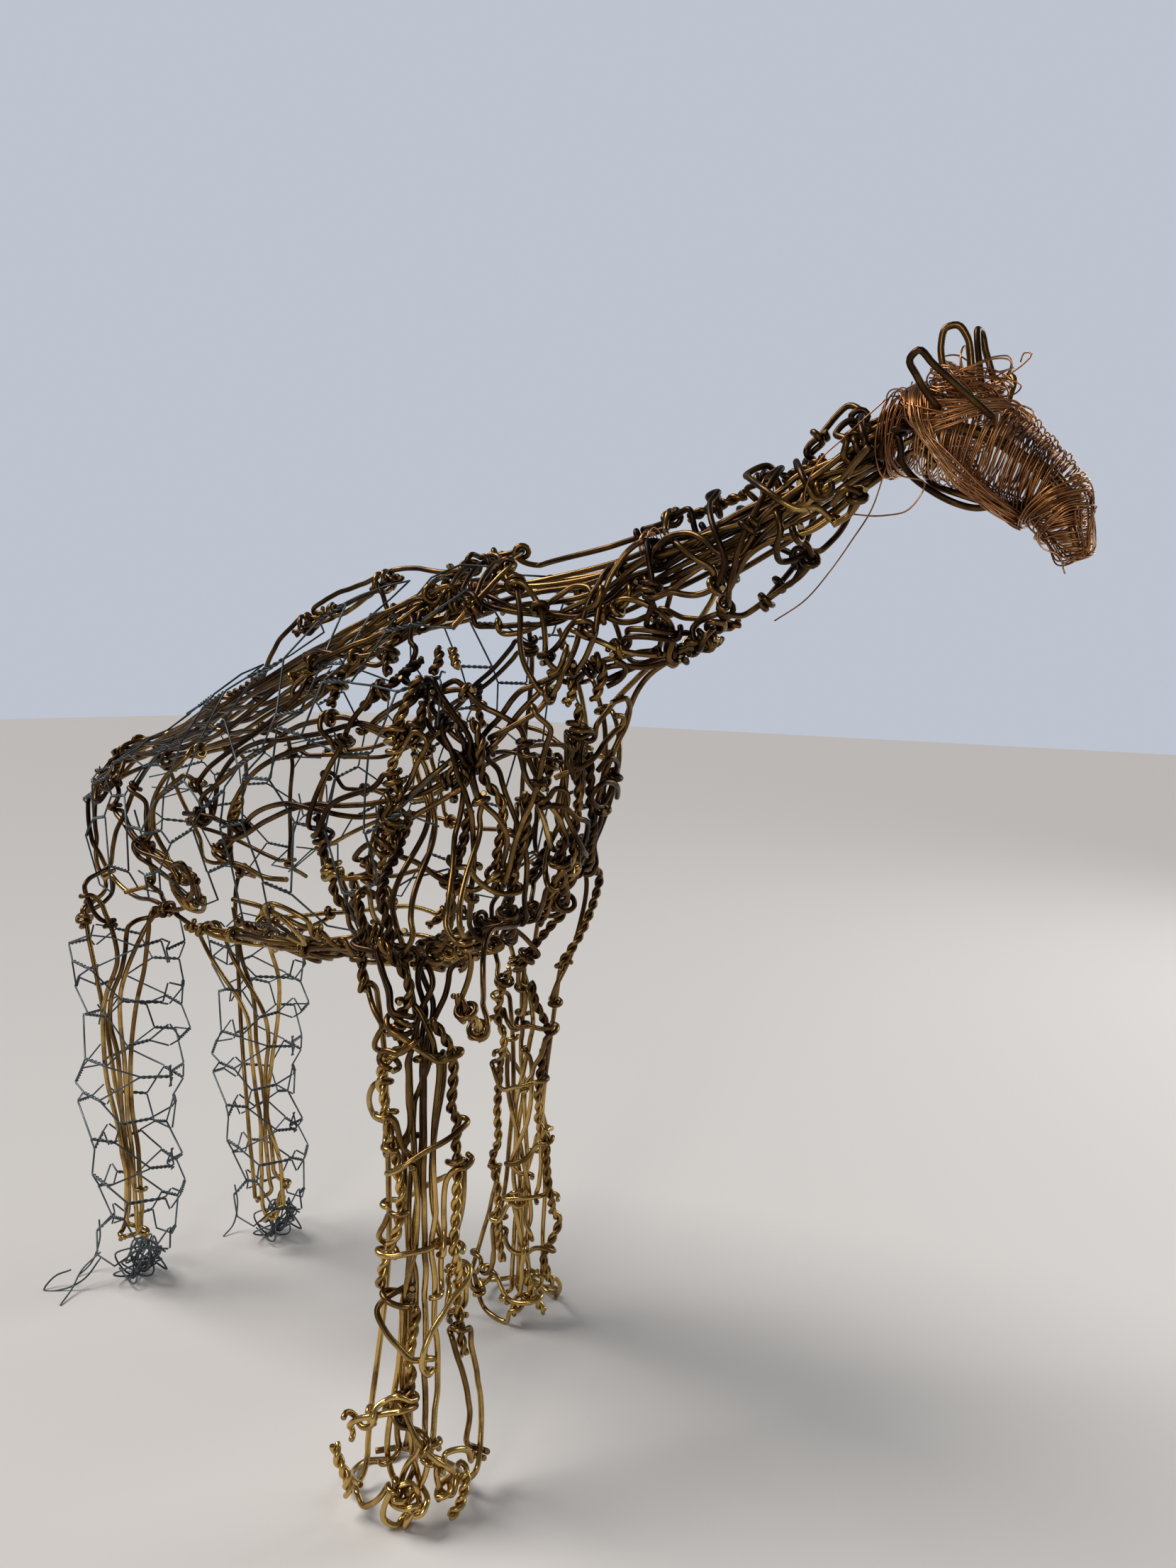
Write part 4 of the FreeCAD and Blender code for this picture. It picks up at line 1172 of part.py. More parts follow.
ALIAS = {"wire": "wire_diameter", "pair": "pair_diameter", "netting": "netting_diameter",
         "copper": "copper_diameter"}
tubes = {}
lengths = {}
for number, ((kind, points), node) in enumerate(zip(paths, owners)):
    wire, start, direction, tightest = spine_of(points)
    if tightest < RADIUS[kind] * 1.02:
        print("bend too tight:", node, number, kind, round(tightest, 2))
    spine = doc.addObject("Part::Feature", "Path%d" % number)
    spine.Shape = wire
    ring = doc.addObject("Part::Circle", "Ring%d" % number)
    ring.setExpression("Radius", "Sizes.%s / 2" % ALIAS[kind])
    ring.Placement = FreeCAD.Placement(start, FreeCAD.Rotation(FreeCAD.Vector(0, 0, 1), direction))
    tube = doc.addObject("Part::Sweep", "Tube%d" % number)
    tube.Sections = [ring]
    tube.Spine = (spine, [])
    tube.Solid = True
    tube.Frenet = False
    tube.Transition = "Transformed"
    tubes.setdefault(node, []).append(tube)
    lengths.setdefault(node, []).append((wire.Length, RADIUS[kind]))

nodes = []
for name, members in tubes.items():
    node = doc.addObject("Part::Compound", name)
    node.Label = name
    node.Links = members
    nodes.append(node)
doc.recompute()

for item in doc.Objects:
    if "Invalid" in item.State or "Error" in item.State:
        raise RuntimeError("failed: " + item.Label)
for node in nodes:
    if node.Shape.isNull() or not node.Shape.isValid():
        raise RuntimeError("bad shape: " + node.Label)
    if len(node.Shape.Solids) != len(tubes[node.Label]):
        raise RuntimeError("missing wires: " + node.Label)
    volume = sum(length * math.pi * radius ** 2 for length, radius in lengths[node.Label])
    if abs(node.Shape.Volume / volume - 1) > 0.002:
        raise RuntimeError("wrong volume: %s %g" % (node.Label, node.Shape.Volume / volume))

os.makedirs("parts", exist_ok=True)
for node in nodes:
    node.Shape.exportStep("parts/%s.step" % node.Label)
print("nodes %d, wires %d" % (len(nodes), len(paths)))
for axis, name in enumerate("XYZ"):
    low = min(point[axis] - RADIUS[kind] for kind, points in paths for point in points)
    high = max(point[axis] + RADIUS[kind] for kind, points in paths for point in points)
    print("%s from %.2f to %.2f, size %.2f" % (name, low, high, high - low))
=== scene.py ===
import math
import bpy
import mathutils
import numpy as np
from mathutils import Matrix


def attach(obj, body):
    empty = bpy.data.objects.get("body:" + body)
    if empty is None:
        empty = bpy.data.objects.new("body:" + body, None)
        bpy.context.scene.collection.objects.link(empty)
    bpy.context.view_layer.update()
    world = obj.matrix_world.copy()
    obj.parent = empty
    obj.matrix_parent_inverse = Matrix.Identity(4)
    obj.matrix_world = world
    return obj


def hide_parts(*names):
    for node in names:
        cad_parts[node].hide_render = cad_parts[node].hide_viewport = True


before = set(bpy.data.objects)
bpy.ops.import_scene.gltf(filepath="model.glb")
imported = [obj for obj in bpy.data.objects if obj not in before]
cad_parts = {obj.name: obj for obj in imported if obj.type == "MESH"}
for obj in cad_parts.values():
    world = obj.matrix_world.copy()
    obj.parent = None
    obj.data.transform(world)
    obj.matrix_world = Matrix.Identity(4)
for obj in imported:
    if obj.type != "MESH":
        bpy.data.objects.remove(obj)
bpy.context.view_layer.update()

# A giraffe bent from brass wire, its trunk and hind legs in wire netting and its head wound with
# copper wire. Lengths are in millimetres until a surface is made, and metres in its mesh.

MM = 0.001
# Radii of the three kinds of wire, and of each kind of line that they are laid along.
BRASS, NET, FINE = 1.25, 0.5, 0.3
RADIUS = {"wire": BRASS, "pair": 2.3, "netting": NET, "copper": FINE}
# The least space left between two wires, and how far along a leg or the trunk each netting stop is.
GAP = 0.12
LEG_STEP, TRUNK_STEP = 11.5, 23.5
# How the laid wires are eased apart, tied off and eased again, and how far a loose end may reach.
FIRST_ROUNDS, LAST_ROUNDS, BEND_ROUNDS = 50, 14, 60
END_REACH = 16.0
# How far apart the points on a laid line and on a finished surface are, and the sides of a wire.
SPACING = {"wire": 6.0, "pair": 6.0, "netting": 40.0, "copper": 40.0}
FINE_SPACING = {"wire": 1.3, "pair": 1.1, "netting": 2.5, "copper": 1.6}
SIDES = {"wire": 12, "pair": 10, "netting": 6, "copper": 6}
# A tip's length and width, as shares of its wire's radius.
TIP_LENGTH, TIP_WIDTH = 0.25, 0.8
# Two brass strands twisted together, and the netting's short twists.
STRAND, STRAND_PITCH = BRASS * 0.96, 13.0
NET_ARM, NET_TURNS, NET_TURN_STEPS = NET * 1.02, 3, 8
# Each wire's shade steps on by this share of the range, so that neighbours differ.
SHADE_STEP = 0.618

# Stations of the trunk and neck, tail to head: place along X, top height, bottom height, half width.
TRUNK_STATIONS = [
    (-178, 272, 240, 8), (-168, 288, 222, 20), (-150, 296, 206, 32), (-125, 303, 200, 42),
    (-100, 310, 197, 48), (-50, 334, 198, 55), (0, 354, 200, 60), (40, 373, 203, 62),
    (80, 384, 208, 62), (110, 391, 215, 57), (135, 394, 228, 48), (155, 396, 252, 38),
    (172, 399, 285, 30), (190, 402, 338, 26), (215, 409, 360, 25), (240, 418, 373, 23),
    (265, 427, 392, 20), (290, 440, 412, 17), (312, 450, 427, 14),
]
# Stations of the legs, ground to hip: height, centre along X, centre along Y, half length, half width.
LEG_STATIONS = {
    "fore_right": [
        (0, 138, -83, 26, 20), (30, 137, -81, 24, 20), (70, 134, -77, 18, 16),
        (110, 130, -72, 18, 16), (160, 126, -65, 20, 18), (210, 124, -60, 25, 21),
        (250, 122, -56, 30, 24),
    ],
    "fore_left": [
        (0, 89, 60, 22, 18), (30, 91, 60, 21, 18), (70, 94, 60, 17, 16),
        (110, 97, 59, 17, 16), (160, 101, 57, 20, 18), (210, 103, 54, 25, 21),
        (250, 104, 52, 30, 24),
    ],
    "hind_right": [
        (0, -103, -42, 26, 24), (30, -103, -40, 24, 20), (70, -104, -39, 27, 22),
        (110, -108, -38, 29, 24), (160, -112, -37, 31, 25), (210, -114, -36, 33, 26),
        (250, -116, -36, 36, 28),
    ],
    "hind_left": [
        (0, -75, 35, 25, 23), (30, -79, 35, 22, 21), (70, -85, 36, 23, 22),
        (110, -90, 37, 25, 23), (160, -94, 39, 28, 24), (210, -96, 40, 32, 26),
        (250, -96, 40, 36, 28),
    ],
}
# Stations of the head, poll to muzzle: distance, place along X, height, half depth, half width.
HEAD_STATIONS = [
    (0, 298, 438, 11, 14), (12, 307, 436.5, 12, 16), (22, 316.5, 433.5, 13, 18), (40, 333.5, 427.5, 14, 17),
    (56, 347, 418.5, 10.5, 14), (72, 357, 410, 7.5, 10), (88, 363.5, 397, 5, 6.5), (96, 366, 390, 3, 4),
]


def T(along, angle, proud=0):
    """A point on the trunk or neck: 0 degrees is the back line, 90 the right side, 180 the belly."""
    return ("trunk", along, angle, proud)


def FR(height, angle, proud=0):
    """A point on the right fore leg: 0 degrees is its front, 90 its right side."""
    return ("fore_right", height, angle, proud)


def FL(height, angle, proud=0):
    """A point on the left fore leg."""
    return ("fore_left", height, angle, proud)


def HR(height, angle, proud=0):
    """A point on the right hind leg."""
    return ("hind_right", height, angle, proud)


def HL(height, angle, proud=0):
    """A point on the left hind leg."""
    return ("hind_left", height, angle, proud)


def K(along, angle, proud=0):
    """A point on the head: 0 degrees is the forehead, 90 its right cheek, 180 the jaw."""
    return ("head", along, angle, proud)


def P(x, y, z):
    """A point in space."""
    return ("space", x, y, z)


# Each node holds its wires; each wire is its kind and the points it is bent through.
WIRES = {
    "fore_right_core_wires": [
        ("wire", [FR(232, 62, -5), FR(218, 60, -6), FR(210, 52, -7), FR(195, 54, -8), FR(178, 52, -8),
                  FR(160, 50, -8), FR(143, 44, -8), FR(126, 50, -7), FR(108, 57, -8), FR(88, 60, -7),
                  FR(70, 62, -7), FR(52, 66, -8), FR(34, 62, -9), FR(18, 60, -9)]),
        ("wire", [FR(230, 36, -6), FR(217, 44, -6), FR(206, 53, -7), FR(190, 60, -8), FR(172, 60, -7),
                  FR(155, 56, -6), FR(140, 52, -5), FR(126, 44, -5), FR(112, 46, -5), FR(97, 55, -4),
                  FR(84, 62, -4), FR(68, 66, -4), FR(50, 75, -4), FR(38, 79, -3), FR(24, 80, -3),
                  FR(10, 72, -3)]),
        ("wire", [FR(228, 20, -5), FR(212, 26, -4), FR(200, 40, -4), FR(186, 46, -4), FR(168, 43, -4),
                  FR(150, 38, -4), FR(134, 36, -4), FR(118, 30, -4), FR(104, 22, -4), FR(88, 22, -4),
                  FR(74, 23, -3), FR(58, 25, -3), FR(44, 28, -3), FR(33, 30, -3)]),
        ("wire", [FR(211, 64, -2), FR(202, 50, -2), FR(193, 36, -2), FR(184, 26, -2), FR(172, 24, -3),
                  FR(158, 25, -3), FR(143, 22, -3), FR(126, 14, -3), FR(110, 7, -3), FR(94, 6, -3),
                  FR(80, 7, -3), FR(64, 10, -3), FR(50, 16, -3), FR(38, 24, -3), FR(26, 30, -2),
                  FR(12, 38, -2)]),
        ("wire", [FR(188, 12, -5), FR(172, 10, -5), FR(156, 14, -6), FR(138, 16, -6), FR(120, 8, -5),
                  FR(106, -2, -3), FR(96, -8, -3), FR(86, -12, -2)]),
        ("wire", [FR(150, 100, -12), FR(134, 100, -12), FR(116, 84, -12), FR(98, 70, -12),
                  FR(80, 62, -12), FR(62, 60, -12), FR(44, 60, -12), FR(26, 52, -12), FR(14, 46, -9)]),
        ("wire", [FR(204, 150, -4), FR(186, 158, -5), FR(166, 152, -6), FR(144, 160, -6),
                  FR(122, 168, -6), FR(100, 172, -6), FR(78, 166, -5), FR(56, 160, -5), FR(34, 156, -6),
                  FR(12, 150, -6)]),
    ],
    "fore_right_twisted_pairs": [
        ("pair", [FR(236, 92, 2), FR(226, 76, 1), FR(218, 67, 1), FR(210, 68, 1), FR(203, 76, 1),
                  FR(193, 70, 1), FR(184, 90, 1), FR(176, 98, 1), FR(168, 90, 1), FR(158, 86, 1),
                  FR(150, 74, 1), FR(140, 73, 1), FR(132, 68, 1), FR(124, 69, 1), FR(115, 72, 1),
                  FR(106, 86, 1), FR(98, 94, 1), FR(90, 101, 1)]),
        ("pair", [FR(204, 44, 2), FR(196, 30, 2), FR(188, 18, 1), FR(180, 12, 1), FR(172, 9, 1),
                  FR(164, 6, 1), FR(157, -8, 2), FR(149, -6, 2), FR(141, -12, 2), FR(130, -8, 2),
                  FR(118, -8, 2), FR(106, -6, 2), FR(99, -18, 3), FR(92, -32, 4), FR(84, -36, 4),
                  FR(75, -30, 4), FR(66, -30, 4), FR(58, -36, 5)]),
        ("pair", [FR(84, 48, -3), FR(77, 50, -3), FR(70, 54, -3), FR(64, 55, -2), FR(58, 50, -2),
                  FR(50, 56, -1), FR(42, 66, 0)]),
        ("pair", [FR(214, 24, 3), FR(206, 8, 3), FR(200, -8, 3), FR(194, -28, 3), FR(188, -52, 2)]),
    ],
    "fore_right_side_wires": [
        ("wire", [FR(234, 106, 1), FR(222, 96, 1), FR(212, 88, 1), FR(206, 86, 2)]),
        ("wire", [FR(236, 100, 3), FR(225, 92, 3), FR(214, 84, 3), FR(207, 80, 4)]),
        ("wire", [FR(203, 82, 2), FR(196, 94, 2), FR(189, 104, 1), FR(183, 101, 1)]),
        ("wire", [FR(182, 98, 3), FR(188, 96, 3), FR(190, 84, 3), FR(190, 72, 3), FR(189, 61, 3)]),
        ("wire", [FR(165, 90, 0), FR(158, 90, 0), FR(152, 82, 0), FR(151, 72, 0)]),
        ("wire", [FR(165, 82, 2), FR(157, 76, 2), FR(150, 70, 2), FR(146, 66, 2)]),
        ("wire", [FR(190, 70, 0), FR(180, 66, -1), FR(168, 63, -1), FR(157, 62, -1), FR(152, 68, 0)]),
        ("wire", [FR(141, 82, 4), FR(143, 66, 4), FR(148, 46, 3), FR(152, 24, 3), FR(156, 4, 4),
                  FR(157, -14, 4)]),
        ("wire", [FR(125, 76, 2), FR(118, 86, 2), FR(112, 95, 2), FR(107, 104, 2), FR(103, 99, 2)]),
        ("wire", [FR(107, 86, 3), FR(107, 60, -1), FR(107, 32, -3), FR(107, 4, -1), FR(107, -28, 4)]),
        ("wire", [FR(140, -4, 1), FR(130, -2, 0), FR(118, -3, 0), FR(107, -4, 1)]),
        ("wire", [FR(140, -18, 3), FR(129, -23, 4), FR(117, -25, 4), FR(106, -26, 2)]),
        ("wire", [FR(208, 86, 5), FR(199, 68, 4), FR(190, 46, 4), FR(184, 22, 4)]),
        ("wire", [FR(91, 99, 2), FR(88, 84, 1), FR(86, 68, 0), FR(84, 54, -2)]),
        ("wire", [FR(92, 100, 3), FR(84, 92, 2), FR(77, 82, 2), FR(71, 66, 2), FR(66, 48, 2),
                  FR(66, 32, 1)]),
        ("wire", [FR(90, -16, 4), FR(82, 8, 3), FR(75, 28, 3), FR(69, 36, 3), FR(63, 37, 2),
                  FR(60, 31, 2)]),
        ("wire", [FR(90, -36, 5), FR(84, -38, 5), FR(79, -34, 5), FR(74, -36, 5)]),
        ("wire", [FR(90, -14, 2), FR(84, -12, 2), FR(79, -18, 3), FR(74, -26, 3)]),
        ("wire", [FR(196, 90, 1), FR(204, 112, 1), FR(212, 132, 1), FR(220, 150, 1), FR(228, 162, 1)]),
        ("wire", [FR(176, 104, 0), FR(168, 124, 1), FR(160, 146, 1), FR(152, 168, 1), FR(146, 190, 1)]),
        ("wire", [FR(139, -16, 0), FR(132, -46, 1), FR(126, -78, 1), FR(120, -108, 1),
                  FR(114, -138, 1)]),
    ],
    "fore_right_hoof_wires": [
        ("wire", [FR(61, -36, 6), FR(50, -40, 8), FR(40, -46, 9), FR(30, -48, 9), FR(21, -44, 8),
                  FR(13, -32, 6), FR(11, -16, 4)]),
        ("wire", [FR(60, -28, 3), FR(50, -27, 4), FR(41, -29, 4), FR(32, -29, 4), FR(24, -25, 3),
                  FR(17, -14, 2)]),
        ("pair", [FR(17, -12, 2), FR(10, -6, 2), FR(5, 2, 2), FR(2, 9, 1)]),
        ("wire", [FR(53, 62, 2), FR(44, 50, 2), FR(34, 38, 3), FR(25, 18, 3), FR(17, -4, 3)]),
        ("wire", [FR(53, 62, 4), FR(51, 76, 4), FR(47, 92, 5)]),
        ("wire", [FR(50, 60, 5), FR(46, 84, 6), FR(41, 106, 9), FR(36, 114, 15)]),
        ("wire", [FR(43, 78, 3), FR(38, 98, 5), FR(33, 111, 10), FR(30, 114, 15)]),
        ("pair", [FR(31, 113, 12), FR(24, 109, 10), FR(17, 106, 7), FR(9, 108, 5)]),
        ("wire", [FR(9, 108, 3), FR(6, 98, 3), FR(9, 86, 3), FR(14, 74, 2)]),
        ("wire", [FR(4, 72, 2), FR(11, 70, 2), FR(17, 62, 2), FR(18, 52, 2), FR(12, 45, 2),
                  FR(5, 48, 2), FR(1, 40, 2)]),
        ("wire", [FR(13, 70, 0), FR(7, 66, 0), FR(3, 56, 0), FR(2, 44, 0), FR(4, 32, 0)]),
        ("wire", [FR(27, 20, -1), FR(19, 20, -1), FR(12, 13, -1), FR(9, 2, 0), FR(14, -8, 0)]),
        ("wire", [FR(28, 14, 1), FR(28, 0, 2), FR(25, -14, 3), FR(19, -24, 3)]),
        ("wire", [FR(42, 56, -4), FR(32, 50, -4), FR(22, 46, -4), FR(15, 43, -4)]),
        ("wire", [FR(46, 70, 1), FR(42, 62, 1), FR(41, 52, 1), FR(39, 43, 1), FR(34, 42, 1)]),
        ("wire", [FR(33, 36, -3), FR(24, 52, -3), FR(13, 74, -2)]),
        ("wire", [FR(14, -4, 0), FR(8, -40, 0), FR(3, -80, 0), FR(2, -120, 0), FR(3, -160, 0)]),
        ("wire", [FR(10, 108, 1), FR(6, 135, 0), FR(3, 160, 0), FR(2, 185, 0)]),
    ],
    "fore_left_core_wires": [
        ("wire", [FL(196, 88, -6), FL(180, 88, -6), FL(164, 86, -6), FL(148, 90, -6), FL(130, 92, -6),
                  FL(112, 94, -5), FL(94, 94, -5), FL(80, 86, -5), FL(66, 78, -4), FL(50, 74, -4),
                  FL(32, 74, -4), FL(16, 68, -4)]),
        ("wire", [FL(150, 128, -1), FL(133, 120, -1), FL(116, 101, -2), FL(98, 77, -3), FL(80, 58, -4),
                  FL(62, 50, -4), FL(44, 48, -4), FL(28, 44, -4)]),
        ("wire", [FL(150, 66, -3), FL(136, 62, -3), FL(123, 60, -2), FL(110, 65, -1), FL(97, 80, 0),
                  FL(88, 86, 1), FL(80, 78, 1), FL(77, 66, 1)]),
        ("wire", [FL(127, 80, -4), FL(114, 72, -4), FL(99, 66, -5), FL(84, 60, -5), FL(69, 56, -5),
                  FL(55, 50, -4), FL(42, 34, -3)]),
        ("wire", [FL(68, 82, -2), FL(56, 69, -2), FL(44, 58, -2), FL(33, 46, -2), FL(19, 42, -1),
                  FL(7, 30, 0)]),
        ("wire", [FL(190, 20, -5), FL(170, 22, -6), FL(150, 26, -6), FL(130, 28, -6), FL(110, 24, -6),
                  FL(90, 12, -5), FL(70, 4, -4), FL(50, 6, -5), FL(30, 8, -5), FL(12, 10, -5)]),
        ("wire", [FL(180, 160, -5), FL(158, 158, -6), FL(136, 164, -6), FL(114, 166, -6),
                  FL(92, 164, -5), FL(70, 162, -5), FL(48, 158, -5), FL(26, 156, -5), FL(8, 156, -5)]),
    ],
    "fore_left_twisted_pairs": [
        ("pair", [FL(196, 92, 2), FL(184, 114, 1), FL(174, 122, 1), FL(166, 128, 1), FL(158, 114, 1),
                  FL(146, 120, 1), FL(133, 130, 2), FL(119, 138, 2), FL(108, 128, 2), FL(97, 122, 2),
                  FL(88, 132, 3), FL(78, 120, 2), FL(68, 108, 1), FL(58, 97, 1), FL(50, 94, 1),
                  FL(42, 92, 1), FL(34, 85, 1)]),
        ("pair", [FL(190, 66, 2), FL(178, 60, 1), FL(170, 50, 1), FL(160, 42, 1), FL(148, 50, 1),
                  FL(138, 52, 1), FL(129, 50, 1), FL(121, 45, 1), FL(113, 44, 1), FL(103, 32, 1),
                  FL(88, 26, 1), FL(78, 22, 1), FL(70, 18, 2), FL(61, 8, 2), FL(54, -8, 3),
                  FL(46, 6, 2), FL(38, 22, 1), FL(30, 16, 1), FL(21, 2, 1)]),
        ("pair", [FL(31, 51, 0), FL(20, 42, 0), FL(11, 32, 0), FL(6, 20, 1)]),
    ],
    "fore_left_side_wires": [
        ("wire", [FL(141, 142, 5), FL(135, 150, 5), FL(130, 126, 4), FL(129, 106, 3), FL(132, 84, 3),
                  FL(136, 58, 3), FL(139, 44, 3)]),
        ("wire", [FL(164, 46, 3), FL(154, 46, 2), FL(144, 53, 1), FL(133, 58, 1)]),
        ("wire", [FL(106, 35, 0), FL(92, 28, 0), FL(80, 26, 0), FL(70, 28, 1)]),
        ("wire", [FL(103, 40, 3), FL(93, 60, 2), FL(88, 80, 2)]),
        ("wire", [FL(69, 88, 2), FL(70, 64, 1), FL(70, 36, 1), FL(71, 4, 3)]),
        ("wire", [FL(82, 126, 1), FL(68, 140, 1), FL(54, 146, 1), FL(43, 150, 2), FL(34, 150, 3),
                  FL(25, 140, 5), FL(19, 126, 8)]),
        ("wire", [FL(57, 112, 2), FL(45, 104, 2), FL(33, 100, 2), FL(26, 107, 3), FL(25, 118, 3),
                  FL(30, 122, 3), FL(33, 113, 3)]),
        ("wire", [FL(67, 84, 1), FL(61, 98, 1), FL(56, 114, 1)]),
        ("wire", [FL(46, 90, 1), FL(41, 72, 2), FL(41, 54, 2), FL(46, 26, 2)]),
        ("wire", [FL(41, 58, 4), FL(28, 53, 3), FL(17, 52, 2), FL(10, 50, 1)]),
        ("wire", [FL(166, 82, 1), FL(166, 66, 0), FL(166, 48, 1)]),
        ("wire", [FL(169, 132, 1), FL(164, 112, 1), FL(162, 94, 1), FL(162, 76, 1)]),
        ("wire", [FL(184, 76, -1), FL(175, 77, -1), FL(166, 86, 0)]),
        ("wire", [FL(152, 160, 2), FL(138, 190, 1), FL(124, 220, 0), FL(110, 250, 0), FL(96, 270, 0),
                  FL(80, 290, 0)]),
        ("wire", [FL(92, 252, 0), FL(76, 240, -2), FL(60, 230, -3), FL(42, 236, -4), FL(24, 244, -4),
                  FL(8, 240, -3)]),
    ],
    "fore_left_hoof_wires": [
        ("wire", [FL(28, 106, 1), FL(20, 86, 1), FL(10, 60, 1), FL(5, 40, 1), FL(3, 20, 1)]),
        ("wire", [FL(22, 125, 6), FL(12, 122, 4), FL(4, 112, 2), FL(2, 92, 1), FL(1, 70, 1)]),
        ("wire", [FL(16, 132, 2), FL(10, 160, 1), FL(5, 190, 1), FL(2, 220, 1), FL(1, 250, 1),
                  FL(3, 280, 1)]),
        ("wire", [FL(24, 4, 1), FL(14, -20, 2), FL(6, -44, 2), FL(2, -66, 1), FL(3, -84, 1)]),
        ("wire", [FL(15, 76, -2), FL(20, 60, -3), FL(14, 44, -3), FL(6, 56, -3), FL(3, 74, -3)]),
    ],
    "hind_right_core_wires": [
        ("wire", [HR(217, 74, -2), HR(200, 62, -3), HR(184, 58, -4), HR(168, 72, -4), HR(152, 82, -4),
                  HR(137, 84, -4), HR(118, 82, -4), HR(101, 76, -5), HR(84, 68, -5), HR(68, 66, -6),
                  HR(52, 70, -6), HR(36, 72, -6), HR(24, 70, -6), HR(17, 58, -6)]),
        ("wire", [T(-78, 124, 0), T(-92, 142, 0), HR(205, 44, -3), HR(192, 50, -5), HR(178, 60, -6),
                  HR(164, 74, -6), HR(150, 76, -6), HR(135, 69, -7), HR(118, 68, -8), HR(103, 68, -8),
                  HR(88, 68, -8), HR(72, 60, -8), HR(58, 56, -8)]),
        ("wire", [T(-44, 122, 1), T(-64, 134, 1), HR(212, 10, -2), HR(199, 28, -5), HR(184, 46, -8),
                  HR(167, 60, -8), HR(149, 64, -9), HR(130, 62, -10), HR(111, 62, -10), HR(92, 64, -10),
                  HR(74, 60, -9), HR(54, 58, -9), HR(38, 54, -8), HR(27, 50, -7)]),
        ("wire", [HR(214, 20, -2), HR(198, 22, -4), HR(182, 25, -5), HR(162, 36, -7), HR(143, 45, -9),
                  HR(124, 54, -12), HR(107, 58, -12), HR(90, 58, -12), HR(76, 52, -11), HR(62, 46, -9),
                  HR(46, 42, -8), HR(31, 42, -7), HR(21, 48, -6)]),
        ("wire", [HR(214, 130, -4), HR(192, 120, -6), HR(168, 104, -8), HR(142, 96, -10),
                  HR(116, 90, -11), HR(92, 82, -12), HR(68, 76, -11), HR(44, 78, -10),
                  HR(24, 84, -10)]),
    ],
    "hind_left_core_wires": [
        ("wire", [T(-62, 150, 1), T(-72, 166, 0), HL(186, 124, 8), HL(172, 108, 4), HL(160, 94, 0),
                  HL(149, 78, -3), HL(138, 66, -4), HL(122, 62, -4), HL(105, 60, -5), HL(90, 58, -6),
                  HL(75, 54, -6), HL(60, 58, -6), HL(44, 62, -6), HL(30, 65, -5), HL(20, 56, -5),
                  HL(19, 42, -5), HL(24, 35, -5)]),
        ("wire", [HL(190, 100, -2), HL(176, 90, -3), HL(162, 70, -4), HL(149, 50, -5), HL(139, 38, -5),
                  HL(126, 32, -6), HL(110, 35, -7), HL(92, 41, -9), HL(75, 44, -9), HL(60, 46, -8),
                  HL(45, 47, -7), HL(30, 42, -6)]),
        ("wire", [HL(204, 84, -4), HL(188, 80, -5), HL(172, 76, -6), HL(157, 65, -8), HL(141, 58, -9),
                  HL(124, 58, -10), HL(104, 50, -11), HL(88, 46, -12), HL(74, 42, -11), HL(58, 36, -8),
                  HL(44, 34, -7), HL(31, 33, -6)]),
        ("wire", [T(-30, 178, 0), T(-42, 184, 0), HL(193, 42, -2), HL(178, 30, -2), HL(162, 19, -2),
                  HL(145, 17, -3), HL(129, 20, -4), HL(111, 28, -6), HL(92, 37, -6), HL(78, 40, -6),
                  HL(66, 32, -4), HL(52, 22, -4), HL(38, 21, -3), HL(27, 24, -3)]),
        ("wire", [HL(206, 190, -5), HL(184, 186, -6), HL(160, 180, -8), HL(134, 170, -10),
                  HL(108, 150, -12), HL(84, 130, -12), HL(60, 140, -11), HL(38, 150, -10),
                  HL(22, 156, -10)]),
    ],
    "spine_wires": [
        ("wire", [T(-166, 40, 0), T(-148, 24, 0), T(-122, 18, 0), T(-92, 22, 0), T(-60, 30, -1),
                  T(-28, 36, -1), T(4, 40, -1), T(36, 42, -1), T(66, 38, -1), T(94, 28, -1)]),
        ("wire", [T(-162, 54, -1), T(-140, 36, -2), T(-112, 30, -3), T(-80, 36, -3), T(-46, 46, -3),
                  T(-12, 52, -3), T(22, 54, -3), T(54, 52, -3), T(84, 44, -3), T(110, 34, -3)]),
        ("wire", [T(-158, 12, -2), T(-134, 6, -2), T(-104, 8, -3), T(-72, 14, -4), T(-40, 24, -4),
                  T(-8, 28, -5), T(26, 30, -5), T(58, 26, -4), T(88, 18, -3), T(116, 10, -3)]),
        ("wire", [T(-150, 66, -1), T(-128, 52, -2), T(-100, 44, -4), T(-66, 50, -5), T(-34, 58, -5),
                  T(0, 60, -5), T(30, 59, -4), T(52, 54, -5), T(74, 50, -6)]),
        ("wire", [T(-160, -14, -1), T(-132, -10, -2), T(-100, -8, -2), T(-66, -6, -3), T(-32, 4, -4),
                  T(2, 8, -5), T(36, 10, -4), T(68, 4, -3), T(98, -4, -2)]),
        ("wire", [T(-156, -40, -1), T(-128, -30, -1), T(-96, -26, -2), T(-62, -24, -3), T(-26, -22, -4),
                  T(10, -20, -5), T(46, -22, -4), T(80, -26, -3), T(110, -22, -3)]),
    ],
    "back_outer_wires": [
        ("wire", [T(-166, -2, 5), T(-140, -2, 4), T(-114, 2, 4), T(-88, 3, 5), T(-70, 3, 4)]),
        ("pair", [T(-72, 2, 6), T(-60, 1, 4), T(-48, 0, 5)]),
        ("wire", [T(-118, 8, 1), T(-98, 12, 2), T(-80, 14, 3), T(-62, 10, 4)]),
        ("wire", [T(-50, 0, 2), T(-40, 0, 12), T(-32, 0, 18), T(-20, 0, 20)]),
